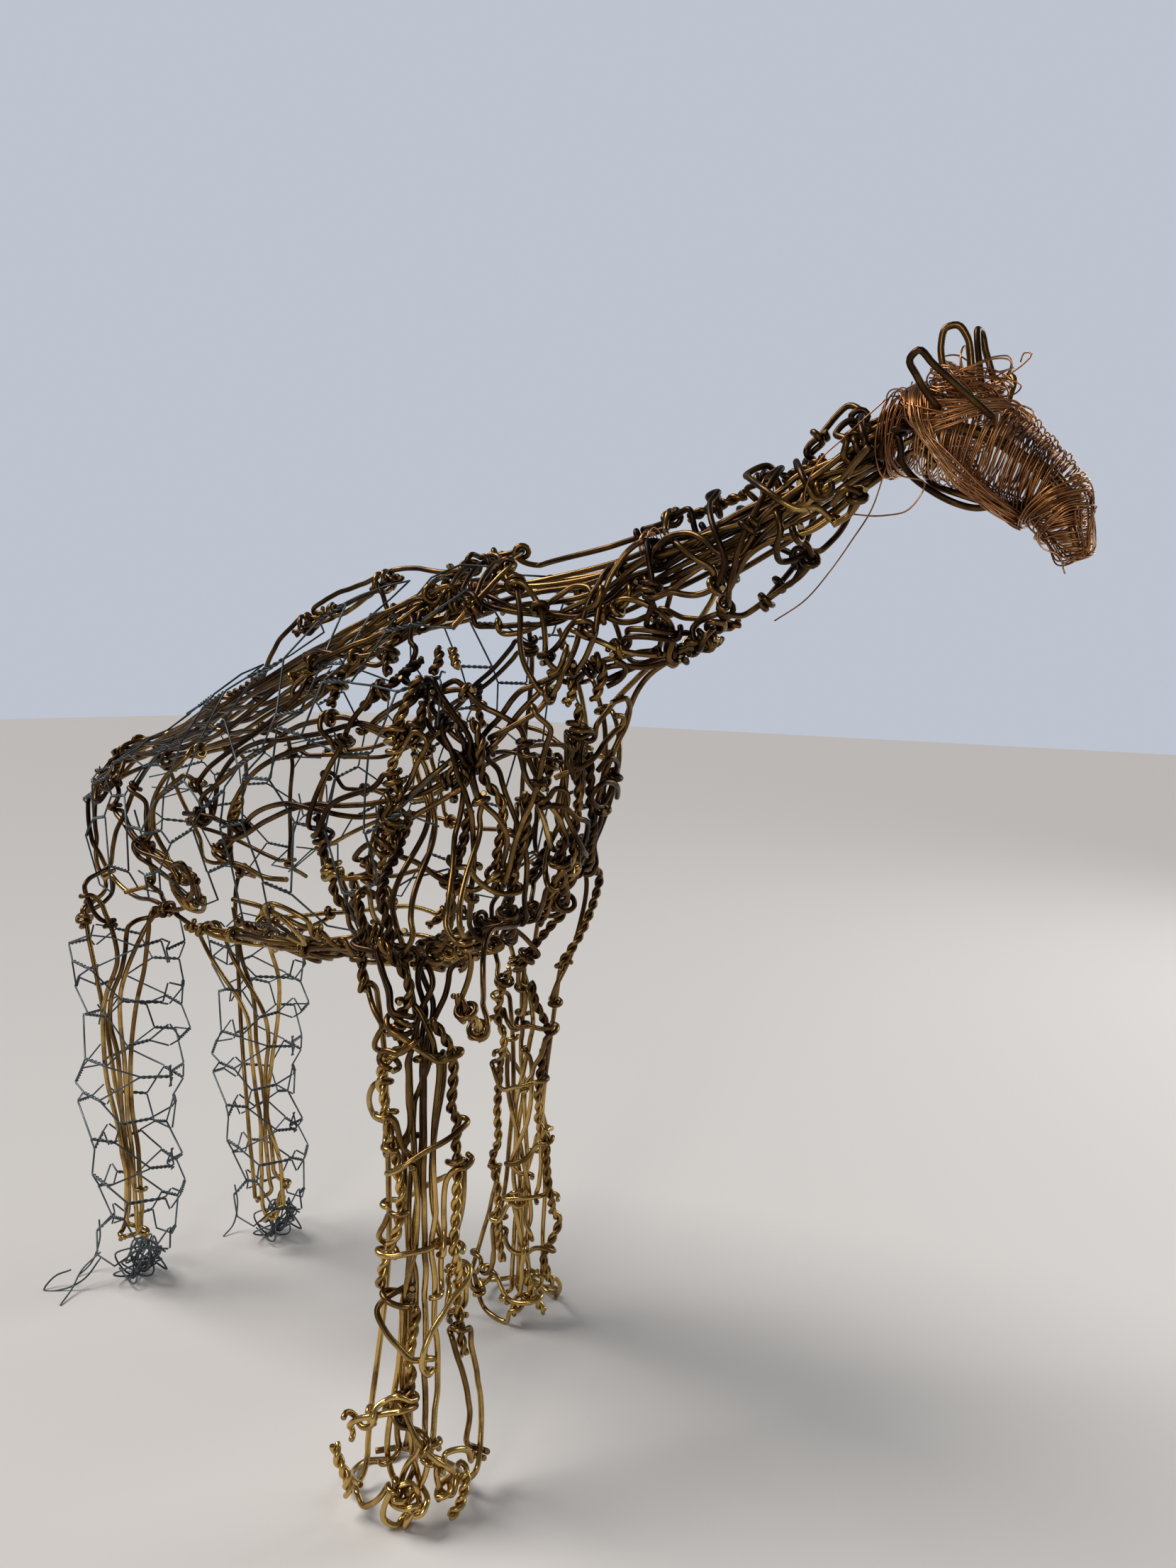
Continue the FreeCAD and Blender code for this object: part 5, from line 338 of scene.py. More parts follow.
        ("pair", [T(-21, 0, 19), T(-10, 0, 20), T(1, 0, 22)]),
        ("wire", [T(0, 0, 24), T(13, 0, 24), T(27, 0, 20), T(37, 0, 17)]),
        ("pair", [T(35, 0, 16), T(45, 0, 15), T(55, 0, 14)]),
        ("wire", [T(54, 0, 16), T(66, 0, 14), T(80, 0, 9), T(98, 0, 4)]),
        ("wire", [T(-18, 3, 15), T(-4, 5, 14), T(8, 6, 12)]),
        ("wire", [T(4, 2, 17), T(20, 6, 12), T(38, 8, 10), T(56, 8, 8)]),
        ("wire", [T(28, 47, 2), T(46, 48, 2), T(64, 46, 2), T(84, 43, 2), T(102, 34, 2)]),
        ("wire", [T(44, 50, 4), T(62, 50, 4), T(80, 47, 4), T(92, 43, 4)]),
    ],
    "withers_loops": [
        ("wire", [T(90, 4, 3), T(92, 12, 4), T(96, 22, 4), T(103, 31, 3), T(112, 38, 3)]),
        ("wire", [T(98, -6, 3), T(103, 4, 5), T(108, 14, 5), T(112, 28, 4), T(117, 42, 3)]),
        ("wire", [T(112, -8, 2), T(114, 2, 5), T(117, 16, 5), T(120, 34, 4), T(123, 46, 4)]),
        ("wire", [T(120, 0, 3), T(124, 14, 4), T(126, 28, 3), T(127, 42, 3)]),
        ("wire", [T(98, 0, 6), T(110, -5, 9), T(121, -6, 10), T(130, 2, 7), T(133, 18, 4),
                  T(139, 30, 3), T(148, 36, 3)]),
        ("wire", [T(142, 20, 5), T(133, 40, 5), T(125, 51, 5)]),
    ],
    "rump_hoops_right": [
        ("wire", [T(-150, 34, 2), T(-156, 50, 2), T(-157, 62, 2), T(-155, 76, 2), T(-152, 90, 2),
                  T(-148, 104, 2), T(-146, 116, 2), T(-145, 128, 2), HR(205, 124, 0)]),
        ("wire", [T(-86, 56, 2), T(-90, 66, 3), T(-95, 78, 3), T(-105, 88, 3), T(-111, 98, 3),
                  T(-119, 108, 3), HR(226, 86, 2), HR(212, 78, 1)]),
        ("wire", [T(-112, 64, 0), T(-115, 73, 0), T(-101, 84, 0), T(-82, 95, 1), T(-70, 101, 0),
                  T(-57, 110, 0), T(-46, 117, 0)]),
        ("wire", [T(-84, 62, -1), T(-80, 76, -1), T(-78, 90, -1), T(-79, 103, -1), T(-82, 118, -1),
                  HR(224, 46, -1)]),
        ("wire", [T(-46, 62, 0), T(-60, 68, 1), T(-68, 76, 1), T(-71, 88, 1), T(-74, 98, 1)]),
        ("wire", [T(-40, 72, 2), T(-54, 75, 2), T(-66, 81, 2), T(-66, 92, 1), T(-58, 104, 1),
                  T(-54, 116, 1)]),
        ("wire", [T(-80, 96, 3), T(-64, 103, 3), T(-52, 107, 3), T(-40, 112, 3), T(-34, 117, 2)]),
        ("wire", [T(-84, 98, 4), T(-72, 105, 4), T(-62, 112, 3), T(-54, 118, 2)]),
        ("wire", [T(-140, 118, 0), T(-126, 128, 0), T(-108, 132, 0), T(-92, 130, 0), T(-78, 134, 0)]),
    ],
    "rump_knots": [
        ("wire", [T(-138, 50, 3), T(-146, 60, 4), T(-142, 70, 4), T(-132, 70, 4), T(-128, 58, 4),
                  T(-134, 46, 3)]),
        ("wire", [T(-124, 42, 4), T(-116, 54, 4), T(-122, 64, 4), T(-132, 62, 5), T(-130, 50, 5)]),
        ("wire", [T(-44, 108, 4), T(-36, 116, 4), T(-42, 126, 4), T(-54, 122, 4), T(-52, 112, 4)]),
        ("wire", [T(-50, 116, 6), T(-40, 122, 6), T(-32, 116, 6), T(-36, 107, 6), T(-46, 108, 6)]),
        ("wire", [T(-34, 124, 3), T(-44, 132, 3), T(-56, 130, 3), T(-58, 120, 3)]),
        ("pair", [T(-134, 40, 2), T(-144, 50, 2), T(-150, 60, 2), T(-148, 72, 2)]),
    ],
    "rump_hoops_left": [
        ("wire", [T(-150, -34, 2), T(-156, -50, 2), T(-157, -64, 2), T(-155, -78, 2), T(-150, -92, 2),
                  T(-144, -106, 2), T(-138, -120, 1), HL(222, 200, 0)]),
        ("wire", [T(-104, -50, 1), T(-110, -64, 2), T(-118, -78, 2), T(-124, -92, 2), T(-124, -106, 2),
                  T(-118, -120, 1), HL(214, 222, 0)]),
        ("wire", [T(-70, -48, 1), T(-74, -62, 1), T(-80, -76, 1), T(-82, -90, 1), T(-80, -104, 1),
                  T(-76, -118, 1), HL(218, 300, 0)]),
        ("wire", [T(-34, -56, 0), T(-46, -68, 1), T(-56, -80, 1), T(-60, -94, 1), T(-56, -108, 1),
                  T(-48, -122, 0)]),
        ("wire", [T(-150, -96, 3), T(-134, -100, 4), T(-116, -106, 4), T(-98, -112, 3),
                  T(-80, -118, 2)]),
    ],
    "flank_wires_right": [
        ("wire", [T(-33, 86, 0), T(-28, 77, 1), T(-19, 72, 1), T(-8, 69, 1), T(4, 67, 1), T(20, 64, 0),
                  T(44, 56, 0)]),
        ("wire", [T(-22, 89, 1), T(-16, 83, 2), T(-4, 79, 2), T(12, 75, 2), T(28, 73, 2), T(44, 71, 2),
                  T(62, 70, 2), T(76, 71, 2), T(88, 75, 2), T(106, 82, 2)]),
        ("wire", [T(-6, 106, 1), T(-2, 97, 0), T(2, 90, 0), T(9, 84, 0), T(18, 80, 0), T(32, 78, 0),
                  T(50, 77, -1), T(66, 77, -1), T(82, 78, -1)]),
        ("pair", [T(12, 88, 2), T(8, 92, 2), T(6, 97, 2)]),
        ("wire", [T(-18, 106, 2), T(0, 101, 2), T(16, 99, 2), T(32, 97, 1), T(50, 95, 1), T(68, 96, 0),
                  T(84, 97, 0), T(100, 98, 0), T(114, 98, 0), T(128, 96, 0), T(142, 93, 0)]),
        ("wire", [T(-34, 88, 3), T(-20, 90, 3), T(-4, 93, 3), T(8, 96, 3)]),
        ("wire", [T(-14, 108, 2), T(-2, 108, 2), T(10, 112, 2), T(20, 116, 2), T(36, 118, 2)]),
        ("wire", [T(46, 58, 2), T(54, 60, 2), T(66, 64, 2)]),
        ("pair", [T(71, 54, 2), T(67, 60, 2), T(66, 67, 2)]),
        ("wire", [T(66, 68, 3), T(66, 73, 3), T(72, 77, 3)]),
        ("wire", [T(74, 52, 0), T(86, 55, 0), T(98, 57, 0)]),
        ("wire", [T(8, 136, 3), T(10, 130, 3), T(18, 127, 3), T(30, 130, 3), T(42, 138, 3)]),
        ("wire", [T(-12, 126, 1), T(4, 129, 1), T(16, 134, 1), T(32, 142, 1), T(48, 148, 1)]),
    ],
    "shoulder_wires_right": [
        ("wire", [T(119, 69, 3), T(112, 73, 3), T(108, 77, 3), T(107, 82, 3)]),
        ("pair", [T(118, 66, 5), T(112, 73, 4), T(108, 80, 3), T(110, 85, 4), T(106, 90, 4),
                  T(110, 97, 4), T(108, 104, 3), T(102, 110, 3), T(96, 117, 3)]),
        ("wire", [T(105, 93, 3), T(109, 98, 4), T(113, 102, 4), T(110, 104, 3)]),
        ("pair", [T(111, 102, 2), T(107, 105, 2), T(105, 108, 2), T(100, 107, 2)]),
        ("wire", [T(126, 79, 2), T(120, 85, 1), T(112, 92, 1), T(102, 101, 1), T(93, 108, 1),
                  T(88, 116, 1), T(83, 128, 1), T(73, 148, 1)]),
        ("wire", [T(96, 66, 4), T(88, 72, 4), T(80, 81, 4), T(71, 88, 4), T(64, 95, 3), T(62, 101, 3),
                  T(66, 106, 3)]),
        ("pair", [T(62, 98, 2), T(65, 105, 2), T(64, 110, 2), T(68, 115, 2), T(66, 122, 2),
                  T(69, 130, 2), T(72, 142, 2), T(78, 152, 3), T(86, 162, 3)]),
        ("wire", [T(70, 116, 2), T(69, 124, 2), T(66, 134, 2), T(62, 146, 2), T(60, 158, 2)]),
        ("wire", [T(107, 91, 5), T(98, 93, 5), T(85, 94, 5), T(75, 96, 5), T(70, 101, 5),
                  T(68, 105, 5)]),
        ("wire", [T(113, 103, 3), T(127, 101, 3), T(142, 99, 3)]),
        ("wire", [T(100, 105, 5), T(110, 112, 4), T(118, 119, 4), T(127, 128, 4)]),
        ("pair", [T(138, 108, 2), T(132, 118, 2), T(126, 128, 2), T(122, 136, 2), T(116, 144, 2),
                  T(108, 152, 2), T(98, 158, 3), T(88, 166, 4)]),
        ("wire", [T(66, 117, 4), T(73, 115, 5), T(79, 117, 5)]),
        ("pair", [T(78, 117, 3), T(79, 122, 3), T(75, 127, 3), T(76, 134, 3), T(71, 143, 3)]),
        ("wire", [T(71, 142, 5), T(74, 150, 5), T(76, 160, 4), T(75, 172, 3)]),
        ("wire", [T(101, 108, 4), T(91, 110, 4), T(84, 113, 3), T(79, 116, 2)]),
        ("wire", [T(126, 79, 4), T(134, 88, 4), T(138, 100, 4), T(139, 113, 3), T(134, 130, 3),
                  T(124, 148, 2)]),
        ("wire", [T(128, 128, 3), T(134, 133, 3), T(141, 138, 3)]),
    ],
    "shoulder_lacing_right": [
        ("pair", [T(120, 57, 3), T(122, 61, 3), T(120, 66, 3)]),
        ("wire", [T(121, 65, 5), T(126, 71, 5), T(132, 77, 5), T(138, 83, 5), T(142, 89, 5),
                  T(141, 94, 5)]),
        ("pair", [T(126, 57, 2), T(130, 64, 2)]),
        ("wire", [T(130, 65, 2), T(136, 72, 2), T(144, 79, 2), T(152, 86, 2), T(158, 94, 2),
                  T(160, 104, 2), T(162, 116, 2)]),
        ("pair", [T(121, 70, 2), T(128, 76, 2), T(135, 83, 2)]),
        ("wire", [T(118, 73, 0), T(127, 79, 0), T(134, 86, 0), T(139, 89, 0)]),
        ("wire", [T(116, 76, 1), T(122, 81, 1), T(130, 87, 1), T(137, 91, 1)]),
        ("pair", [T(118, 71, 2), T(117, 79, 2), T(112, 83, 2)]),
        ("wire", [T(128, 66, -1), T(116, 68, -1), T(104, 70, -1), T(90, 74, -1)]),
        ("pair", [T(88, 70, 3), T(96, 66, 3), T(106, 63, 3), T(114, 59, 3)]),
        ("pair", [T(95, 46, 2), T(94, 54, 2), T(98, 61, 2)]),
        ("wire", [T(103, 44, 2), T(104, 51, 2), T(112, 56, 2)]),
        ("pair", [T(140, 82, 4), T(143, 90, 4), T(141, 96, 3), T(144, 103, 3), T(150, 112, 3),
                  T(149, 122, 3), T(145, 132, 3), T(142, 144, 3)]),
        ("wire", [T(142, 99, 4), T(144, 106, 4), T(148, 114, 4), T(150, 122, 4), T(147, 132, 4)]),
        ("wire", [T(139, 87, 5), T(143, 92, 6), T(140, 97, 6), T(135, 94, 6)]),
        ("wire", [T(112, 84, 5), T(118, 80, 6), T(124, 83, 6), T(126, 88, 5)]),
        ("wire", [T(146, 90, 2), T(154, 90, 2), T(164, 92, 2), T(172, 94, 1)]),
    ],
    "chest_wires": [
        ("pair", [T(176, 92, 2), T(178, 98, 2), T(175, 103, 2)]),
        ("wire", [T(172, 102, 4), T(168, 109, 4), T(163, 117, 4), T(158, 124, 4), T(150, 131, 4),
                  T(141, 139, 4)]),
        ("pair", [T(160, 118, 3), T(156, 128, 3), T(148, 136, 2), T(142, 148, 2), T(138, 162, 2),
                  T(130, 176, 2), T(120, 186, 2)]),
        ("wire", [T(133, 122, 3), T(137, 129, 4), T(141, 136, 4), T(145, 143, 4)]),
        ("wire", [T(133, 124, 2), T(129, 130, 3), T(131, 138, 3), T(136, 140, 3)]),
        ("wire", [T(165, 124, 3), T(169, 138, 3), T(171, 152, 4), T(172, 166, 4), T(168, 178, 3),
                  T(161, 186, 2), T(152, 190, 2)]),
        ("pair", [T(180, 116, 3), T(178, 130, 3), T(175, 146, 2), T(170, 160, 2), T(162, 170, 2),
                  T(150, 178, 2), T(138, 186, 2)]),
        ("wire", [T(162, 164, 3), T(154, 166, 3), T(146, 173, 2), T(138, 180, 2)]),
        ("pair", [T(161, 174, 2), T(155, 180, 2), T(149, 187, 2)]),
        ("wire", [T(158, 100, 1), T(160, 112, 1), T(163, 126, 1), T(166, 142, 1), T(164, 158, 1),
                  T(158, 172, 1)]),
        ("wire", [T(146, 96, 0), T(150, 110, 0), T(153, 126, 0), T(152, 142, 0), T(146, 156, 0),
                  T(138, 168, 0)]),
        ("wire", [T(133, 150, 3), T(124, 156, 3), T(114, 160, 3), T(105, 166, 3), T(98, 162, 3)]),
        ("wire", [T(176, 108, 0), T(174, 122, 0), T(170, 136, 0), T(164, 150, 0), T(156, 160, 0)]),
        ("wire", [T(178, 180, 1), T(170, 190, 1), T(160, 198, 1), T(150, 206, 1), T(140, 212, 1)]),
        ("wire", [T(182, 128, 1), T(176, 142, 1), T(172, 160, 0), T(170, 176, 0), T(172, 192, 0)]),
    ],
    "chest_coils": [
        ("wire", [T(176, 120, 4), T(178, 128, 7), T(177, 136, 4), T(174, 130, 2), T(174, 121, 5),
                  T(176, 128, 8), T(175, 137, 5)]),
        ("wire", [T(178, 156, 3), T(182, 164, 8), T(182, 178, 8), T(177, 184, 4), T(174, 174, 2),
                  T(176, 160, 6), T(180, 166, 11), T(180, 182, 11), T(176, 196, 7)]),
        ("wire", [T(170, 126, 5), T(176, 138, 5), T(183, 156, 6), T(189, 172, 8), T(188, 160, 7)]),
        ("wire", [T(188, 150, 4), T(191, 164, 5), T(188, 178, 5), T(183, 172, 6)]),
        ("wire", [T(174, 78, 3), T(178, 84, 5), T(176, 91, 5), T(171, 86, 4)]),
        ("pair", [T(186, 106, 2), T(188, 118, 2), T(184, 128, 2)]),
    ],
    "belly_wires": [
        ("wire", [T(-50, 180, 2), T(-34, 179, 2), T(-18, 178, 2), T(0, 178, 2)]),
        ("wire", [T(-24, 168, 0), T(-16, 161, 0), T(0, 158, 0), T(20, 157, 0), T(36, 153, 0),
                  T(52, 151, 0)]),
        ("wire", [T(6, 182, 3), T(22, 181, 3), T(38, 178, 3), T(58, 177, 3), T(76, 178, 4)]),
        ("wire", [T(80, 176, 6), T(92, 181, 7), T(98, 176, 5), T(97, 164, 4)]),
        ("wire", [T(50, 152, 2), T(62, 160, 2), T(72, 168, 2), T(84, 172, 2), T(96, 170, 2),
                  T(108, 166, 2)]),
        ("pair", [T(50, 206, 1), T(62, 216, 1), T(76, 212, 1), T(90, 208, 1), T(104, 214, 1)]),
        ("wire", [T(-60, 200, 0), T(-40, 206, 0), T(-18, 210, 0), T(6, 214, 0), T(30, 216, 0),
                  T(52, 212, 0)]),
        ("pair", [T(60, 188, 1), T(68, 196, 1), T(76, 204, 1)]),
        ("wire", [T(64, 176, 1), T(72, 190, 1), T(84, 198, 1), T(98, 204, 1), T(112, 208, 1)]),
        ("wire", [T(-46, 150, 1), T(-38, 170, 1), T(-30, 190, 1), T(-24, 208, 1)]),
        ("wire", [T(14, 150, 2), T(18, 168, 2), T(20, 186, 2), T(22, 204, 2)]),
        ("wire", [T(-78, 148, 1), T(-56, 158, 2), T(-32, 162, 2), T(-6, 160, 2), T(20, 164, 2),
                  T(46, 162, 3), T(72, 166, 3), T(98, 170, 3)]),
        ("wire", [T(-70, 196, 1), T(-40, 190, 1), T(-10, 186, 2), T(22, 188, 2), T(54, 190, 2),
                  T(86, 188, 2), T(112, 182, 1)]),
    ],
    "belly_knots": [
        ("wire", [T(-8, 166, 4), T(-4, 178, 6), T(4, 176, 7), T(5, 164, 5), T(-2, 160, 4)]),
        ("wire", [T(2, 170, 5), T(10, 178, 6), T(14, 168, 5), T(8, 160, 4)]),
        ("wire", [T(76, 170, 6), T(80, 184, 9), T(86, 178, 9), T(84, 166, 6)]),
        ("pair", [T(-16, 136, 3), T(-6, 142, 3), T(4, 140, 3)]),
        ("wire", [T(22, 132, 4), T(26, 142, 4), T(22, 150, 4), T(16, 144, 4)]),
    ],
    "flank_wires_left": [
        ("wire", [T(-60, -62, 0), T(-36, -66, 0), T(-10, -68, 1), T(18, -66, 1), T(46, -62, 0),
                  T(74, -56, 0), T(98, -48, 0)]),
        ("wire", [T(-40, -84, 1), T(-14, -88, 1), T(14, -90, 1), T(42, -86, 1), T(70, -84, 1),
                  T(98, -88, 1), T(122, -94, 1)]),
        ("wire", [T(-52, -112, 1), T(-28, -104, 1), T(-2, -100, 1), T(26, -104, 1), T(54, -110, 1),
                  T(80, -112, 1)]),
        ("wire", [T(-20, -122, 0), T(4, -128, 0), T(28, -126, 0), T(52, -132, 0), T(76, -138, 0)]),
        ("wire", [T(30, -48, 2), T(24, -62, 3), T(20, -78, 3), T(26, -94, 3), T(34, -108, 3)]),
        ("pair", [T(60, -58, 2), T(56, -66, 2), T(58, -74, 2)]),
    ],
    "shoulder_wires_left": [
        ("wire", [T(104, -40, 2), T(98, -54, 3), T(90, -70, 3), T(84, -86, 3), T(84, -102, 3),
                  T(90, -118, 2)]),
        ("wire", [T(122, -46, 2), T(126, -62, 2), T(130, -78, 3), T(132, -94, 3), T(128, -110, 3),
                  T(118, -126, 2)]),
        ("pair", [T(98, -84, 3), T(102, -92, 3), T(100, -100, 3)]),
        ("wire", [T(100, -102, 2), T(96, -114, 2), T(90, -128, 2), T(84, -142, 1)]),
        ("wire", [T(66, -70, 4), T(80, -76, 4), T(94, -80, 5), T(110, -86, 4), T(126, -92, 4),
                  T(142, -96, 3)]),
        ("wire", [T(140, -70, 2), T(146, -86, 3), T(148, -102, 3), T(144, -118, 3), T(138, -134, 2)]),
        ("pair", [T(112, -116, 2), T(108, -124, 2), T(104, -134, 2)]),
        ("wire", [T(150, -80, 2), T(158, -94, 2), T(162, -110, 2), T(160, -128, 2), T(154, -146, 2)]),
        ("wire", [T(104, -132, 3), T(112, -144, 3), T(124, -152, 3), T(136, -158, 3)]),
    ],
    "fore_leg_hangers": [
        ("wire", [T(118, 88, -3), T(119, 97, -3), T(121, 106, -2), FR(244, 70, -4), FR(231, 64, -4)]),
        ("wire", [T(136, 92, -2), T(134, 101, -2), T(131, 110, -2), FR(242, 34, -4), FR(229, 34, -5)]),
        ("pair", [T(102, 99, 2), T(106, 106, 2), FR(250, 92, 2), FR(240, 88, 1), FR(232, 86, 1)]),
        ("wire", [T(142, 104, 2), T(140, 114, 2), FR(240, 22, 1), FR(228, 6, 1), FR(214, 8, 1),
                  FR(204, 18, 1)]),
        ("pair", [T(178, 140, 2), T(175, 162, 2), T(168, 182, 2), T(158, 200, 2), T(146, 216, 2),
                  FL(240, 330, 4), FL(226, 350, 3), FL(212, 12, 3), FL(198, 34, 2)]),
        ("pair", [T(164, 150, 3), T(158, 172, 3), T(148, 190, 3), T(136, 204, 2), T(124, 212, 2),
                  FL(236, 20, 4), FL(222, 44, 3), FL(208, 66, 2), FL(196, 88, 2)]),
        ("pair", [T(88, 112, 3), T(94, 122, 3), T(100, 134, 3), FR(250, 128, 2), FR(238, 122, 2),
                  FR(224, 128, 2), FR(210, 124, 2)]),
        ("wire", [T(140, -128, 1), T(134, -146, 0), FR(226, -20, 1), FR(216, -16, 3), FR(208, -30, 3),
                  FR(200, -46, 4)]),
        ("wire", [T(98, -96, 0), T(99, -106, 0), T(101, -118, 0), FL(232, 252, -3), FL(214, 240, -4),
                  FL(194, 230, -5)]),
        ("wire", [T(116, -98, 0), T(114, -110, 0), FL(240, 320, -2), FL(218, 350, -2), FL(200, 14, -1),
                  FL(190, 30, 0)]),
        ("wire", [T(84, -102, 0), T(86, -114, 0), FL(238, 206, -3), FL(216, 170, -2), FL(200, 134, 0),
                  FL(190, 112, 1)]),
        ("wire", [T(112, 172, 1), T(106, 190, 1), FL(212, 96, 2), FL(200, 86, 2), FL(188, 84, 1)]),
        ("wire", [T(124, 160, 1), T(118, 180, 1), T(112, 200, 1), FL(206, 58, 2), FL(194, 50, 2)]),
        ("wire", [T(110, 82, -6), T(112, 92, -6), T(116, 102, -6), FR(246, 96, -6), FR(232, 84, -6),
                  FR(216, 74, -7), FR(200, 66, -10), FR(182, 62, -12)]),
    ],
    "neck_core_wires": [
        ("wire", [T(104, 18, -4), T(128, 22, -4), T(154, 26, -5), T(182, 34, -6), T(210, 40, -6),
                  T(238, 40, -6), T(264, 36, -6), T(288, 30, -6), T(308, 30, -7)]),
        ("wire", [T(96, 30, -3), T(122, 34, -4), T(150, 38, -5), T(178, 50, -5), T(206, 58, -5),
                  T(234, 56, -5), T(262, 52, -6), T(286, 54, -6), T(308, 60, -6)]),
        ("wire", [T(112, 8, -7), T(138, 8, -8), T(166, 10, -9), T(194, 10, -10), T(222, 12, -10),
                  T(250, 8, -9), T(278, 4, -9), T(304, 0, -9)]),
        ("wire", [T(116, -14, -4), T(142, -18, -4), T(170, -22, -4), T(198, -26, -5), T(226, -28, -5),
                  T(254, -30, -5), T(280, -34, -6), T(306, -40, -6)]),
        ("wire", [T(130, 46, -3), T(156, 52, -4), T(182, 64, -4), T(208, 74, -3), T(234, 72, -3),
                  T(258, 74, -4), T(282, 82, -5), T(306, 92, -5)]),
        ("wire", [T(134, -36, -4), T(160, -44, -4), T(188, -54, -4), T(216, -62, -4), T(244, -64, -4),
                  T(270, -70, -5), T(296, -80, -6)]),
        ("wire", [T(206, 92, -6), T(230, 92, -7), T(254, 96, -7), T(276, 104, -6), T(298, 112, -6)]),
        ("wire", [T(214, -92, -6), T(238, -90, -7), T(262, -96, -7), T(284, -104, -6),
                  T(304, -112, -6)]),
    ],
    "neck_top_wires": [
        ("wire", [T(136, -4, 1), T(156, 4, 1), T(178, 8, 1), T(192, 4, 2), T(203, 0, 2)]),
        ("wire", [T(199, 4, 4), T(211, 14, 3), T(222, 26, 3)]),
        ("pair", [T(218, 20, 2), T(228, 4, 2), T(239, -2, 2)]),
        ("wire", [T(238, -6, 4), T(248, 2, 3), T(257, 6, 3)]),
        ("pair", [T(256, 8, 1), T(264, 2, 1), T(272, 2, 1)]),
        ("wire", [T(261, -16, 6), T(267, -2, 5), T(276, 8, 3)]),
        ("wire", [T(265, 14, 2), T(268, 4, 7), T(273, -2, 12), T(279, -6, 16), T(284, -6, 15),
                  T(288, 6, 8)]),
        ("pair", [T(282, 22, 1), T(289, 12, 2), T(296, 2, 2), T(301, -4, 2)]),
        ("wire", [T(266, 30, 3), T(271, 60, 3), T(275, 88, 3), T(277, 104, 2)]),
        ("wire", [T(281, -30, 2), T(285, -8, 4), T(289, 18, 3), T(291, 44, 2)]),
        ("wire", [T(288, 62, 3), T(283, 40, 4), T(287, 22, 4), T(293, 34, 4)]),
    ],
    "neck_lacing_right": [
        ("wire", [T(236, 4, 5), T(233, 20, 5), T(233, 38, 4), T(237, 62, 4), T(242, 86, 4),
                  T(245, 108, 4), T(240, 122, 4), T(231, 120, 4), T(222, 108, 4), T(215, 94, 4)]),
        ("wire", [T(238, 4, 7), T(244, 22, 6), T(253, 46, 5), T(259, 64, 5), T(266, 86, 5),
                  T(273, 108, 5), T(279, 120, 5), T(285, 124, 5)]),
        ("wire", [T(256, 10, 4), T(259, 30, 3), T(258, 54, 3), T(255, 76, 2), T(251, 96, 2),
                  T(246, 112, 2), T(242, 132, 2), T(238, 158, 2), T(234, 176, 2)]),
        ("wire", [T(209, 56, 4), T(213, 76, 4), T(215, 98, 4), T(213, 118, 4), T(208, 136, 4)]),
        ("wire", [T(209, 66, 2), T(218, 56, 2), T(227, 62, 2), T(235, 78, 2), T(241, 96, 2),
                  T(247, 108, 1), T(252, 102, 1), T(256, 90, 2)]),
        ("wire", [T(213, 96, 2), T(213, 114, 2), T(214, 138, 2), T(215, 162, 2)]),
        ("wire", [T(200, 94, 2), T(208, 106, 2), T(214, 124, 3), T(216, 146, 3), T(216, 164, 3)]),
        ("wire", [T(200, 118, 4), T(206, 122, 5), T(213, 130, 4), T(219, 146, 4), T(226, 166, 4)]),
        ("wire", [T(203, 122, 6), T(209, 127, 6), T(215, 136, 6), T(222, 152, 5)]),
        ("wire", [T(148, 38, 2), T(156, 44, 3), T(164, 60, 3), T(171, 84, 3), T(178, 96, 3),
                  T(186, 100, 3), T(190, 84, 3), T(193, 66, 3), T(199, 54, 3), T(207, 52, 3)]),
        ("wire", [T(140, 24, 4), T(152, 48, 4), T(160, 74, 4), T(170, 92, 4), T(180, 92, 4),
                  T(186, 72, 3), T(190, 50, 2)]),
        ("wire", [T(170, 76, 2), T(178, 70, 2), T(186, 78, 2), T(192, 94, 2), T(198, 108, 2),
                  T(205, 116, 2)]),
        ("wire", [T(163, 50, 1), T(172, 46, 1), T(181, 56, 1), T(187, 76, 1), T(193, 92, 1)]),
        ("wire", [T(267, 160, 2), T(262, 142, 3), T(263, 122, 3), T(267, 104, 2)]),
        ("wire", [T(208, 20, 1), T(214, 44, 1), T(222, 66, 0), T(231, 90, 0), T(238, 110, 0)]),
    ],
    "neck_lacing_left": [
        ("wire", [T(148, -30, 2), T(158, -50, 3), T(168, -76, 3), T(180, -92, 3), T(190, -74, 3),
                  T(200, -54, 3), T(212, -60, 3), T(222, -84, 3), T(230, -108, 3)]),
        ("wire", [T(236, -6, 3), T(232, -26, 3), T(233, -50, 3), T(240, -74, 3), T(249, -96, 3),
                  T(256, -116, 3), T(254, -140, 3)]),
        ("wire", [T(198, -100, 2), T(208, -112, 3), T(218, -128, 3), T(226, -146, 3), T(230, -166, 2)]),
        ("wire", [T(258, -24, 3), T(262, -48, 3), T(259, -76, 3), T(253, -102, 3), T(247, -128, 2),
                  T(242, -152, 2)]),
        ("wire", [T(206, -38, 2), T(214, -62, 2), T(214, -88, 2), T(208, -114, 2), T(202, -140, 2)]),
        ("wire", [T(268, -34, 2), T(274, -60, 3), T(276, -90, 3), T(272, -118, 3), T(264, -144, 2)]),
    ],
    "neck_throat_wires": [
        ("wire", [T(182, 114, 2), T(188, 130, 2), T(195, 150, 2), T(203, 168, 2), T(212, 176, 2),
                  T(222, 172, 3)]),
        ("wire", [T(182, 140, 1), T(190, 162, 1), T(200, 176, 1), T(211, 182, 2), T(222, 184, 2)]),
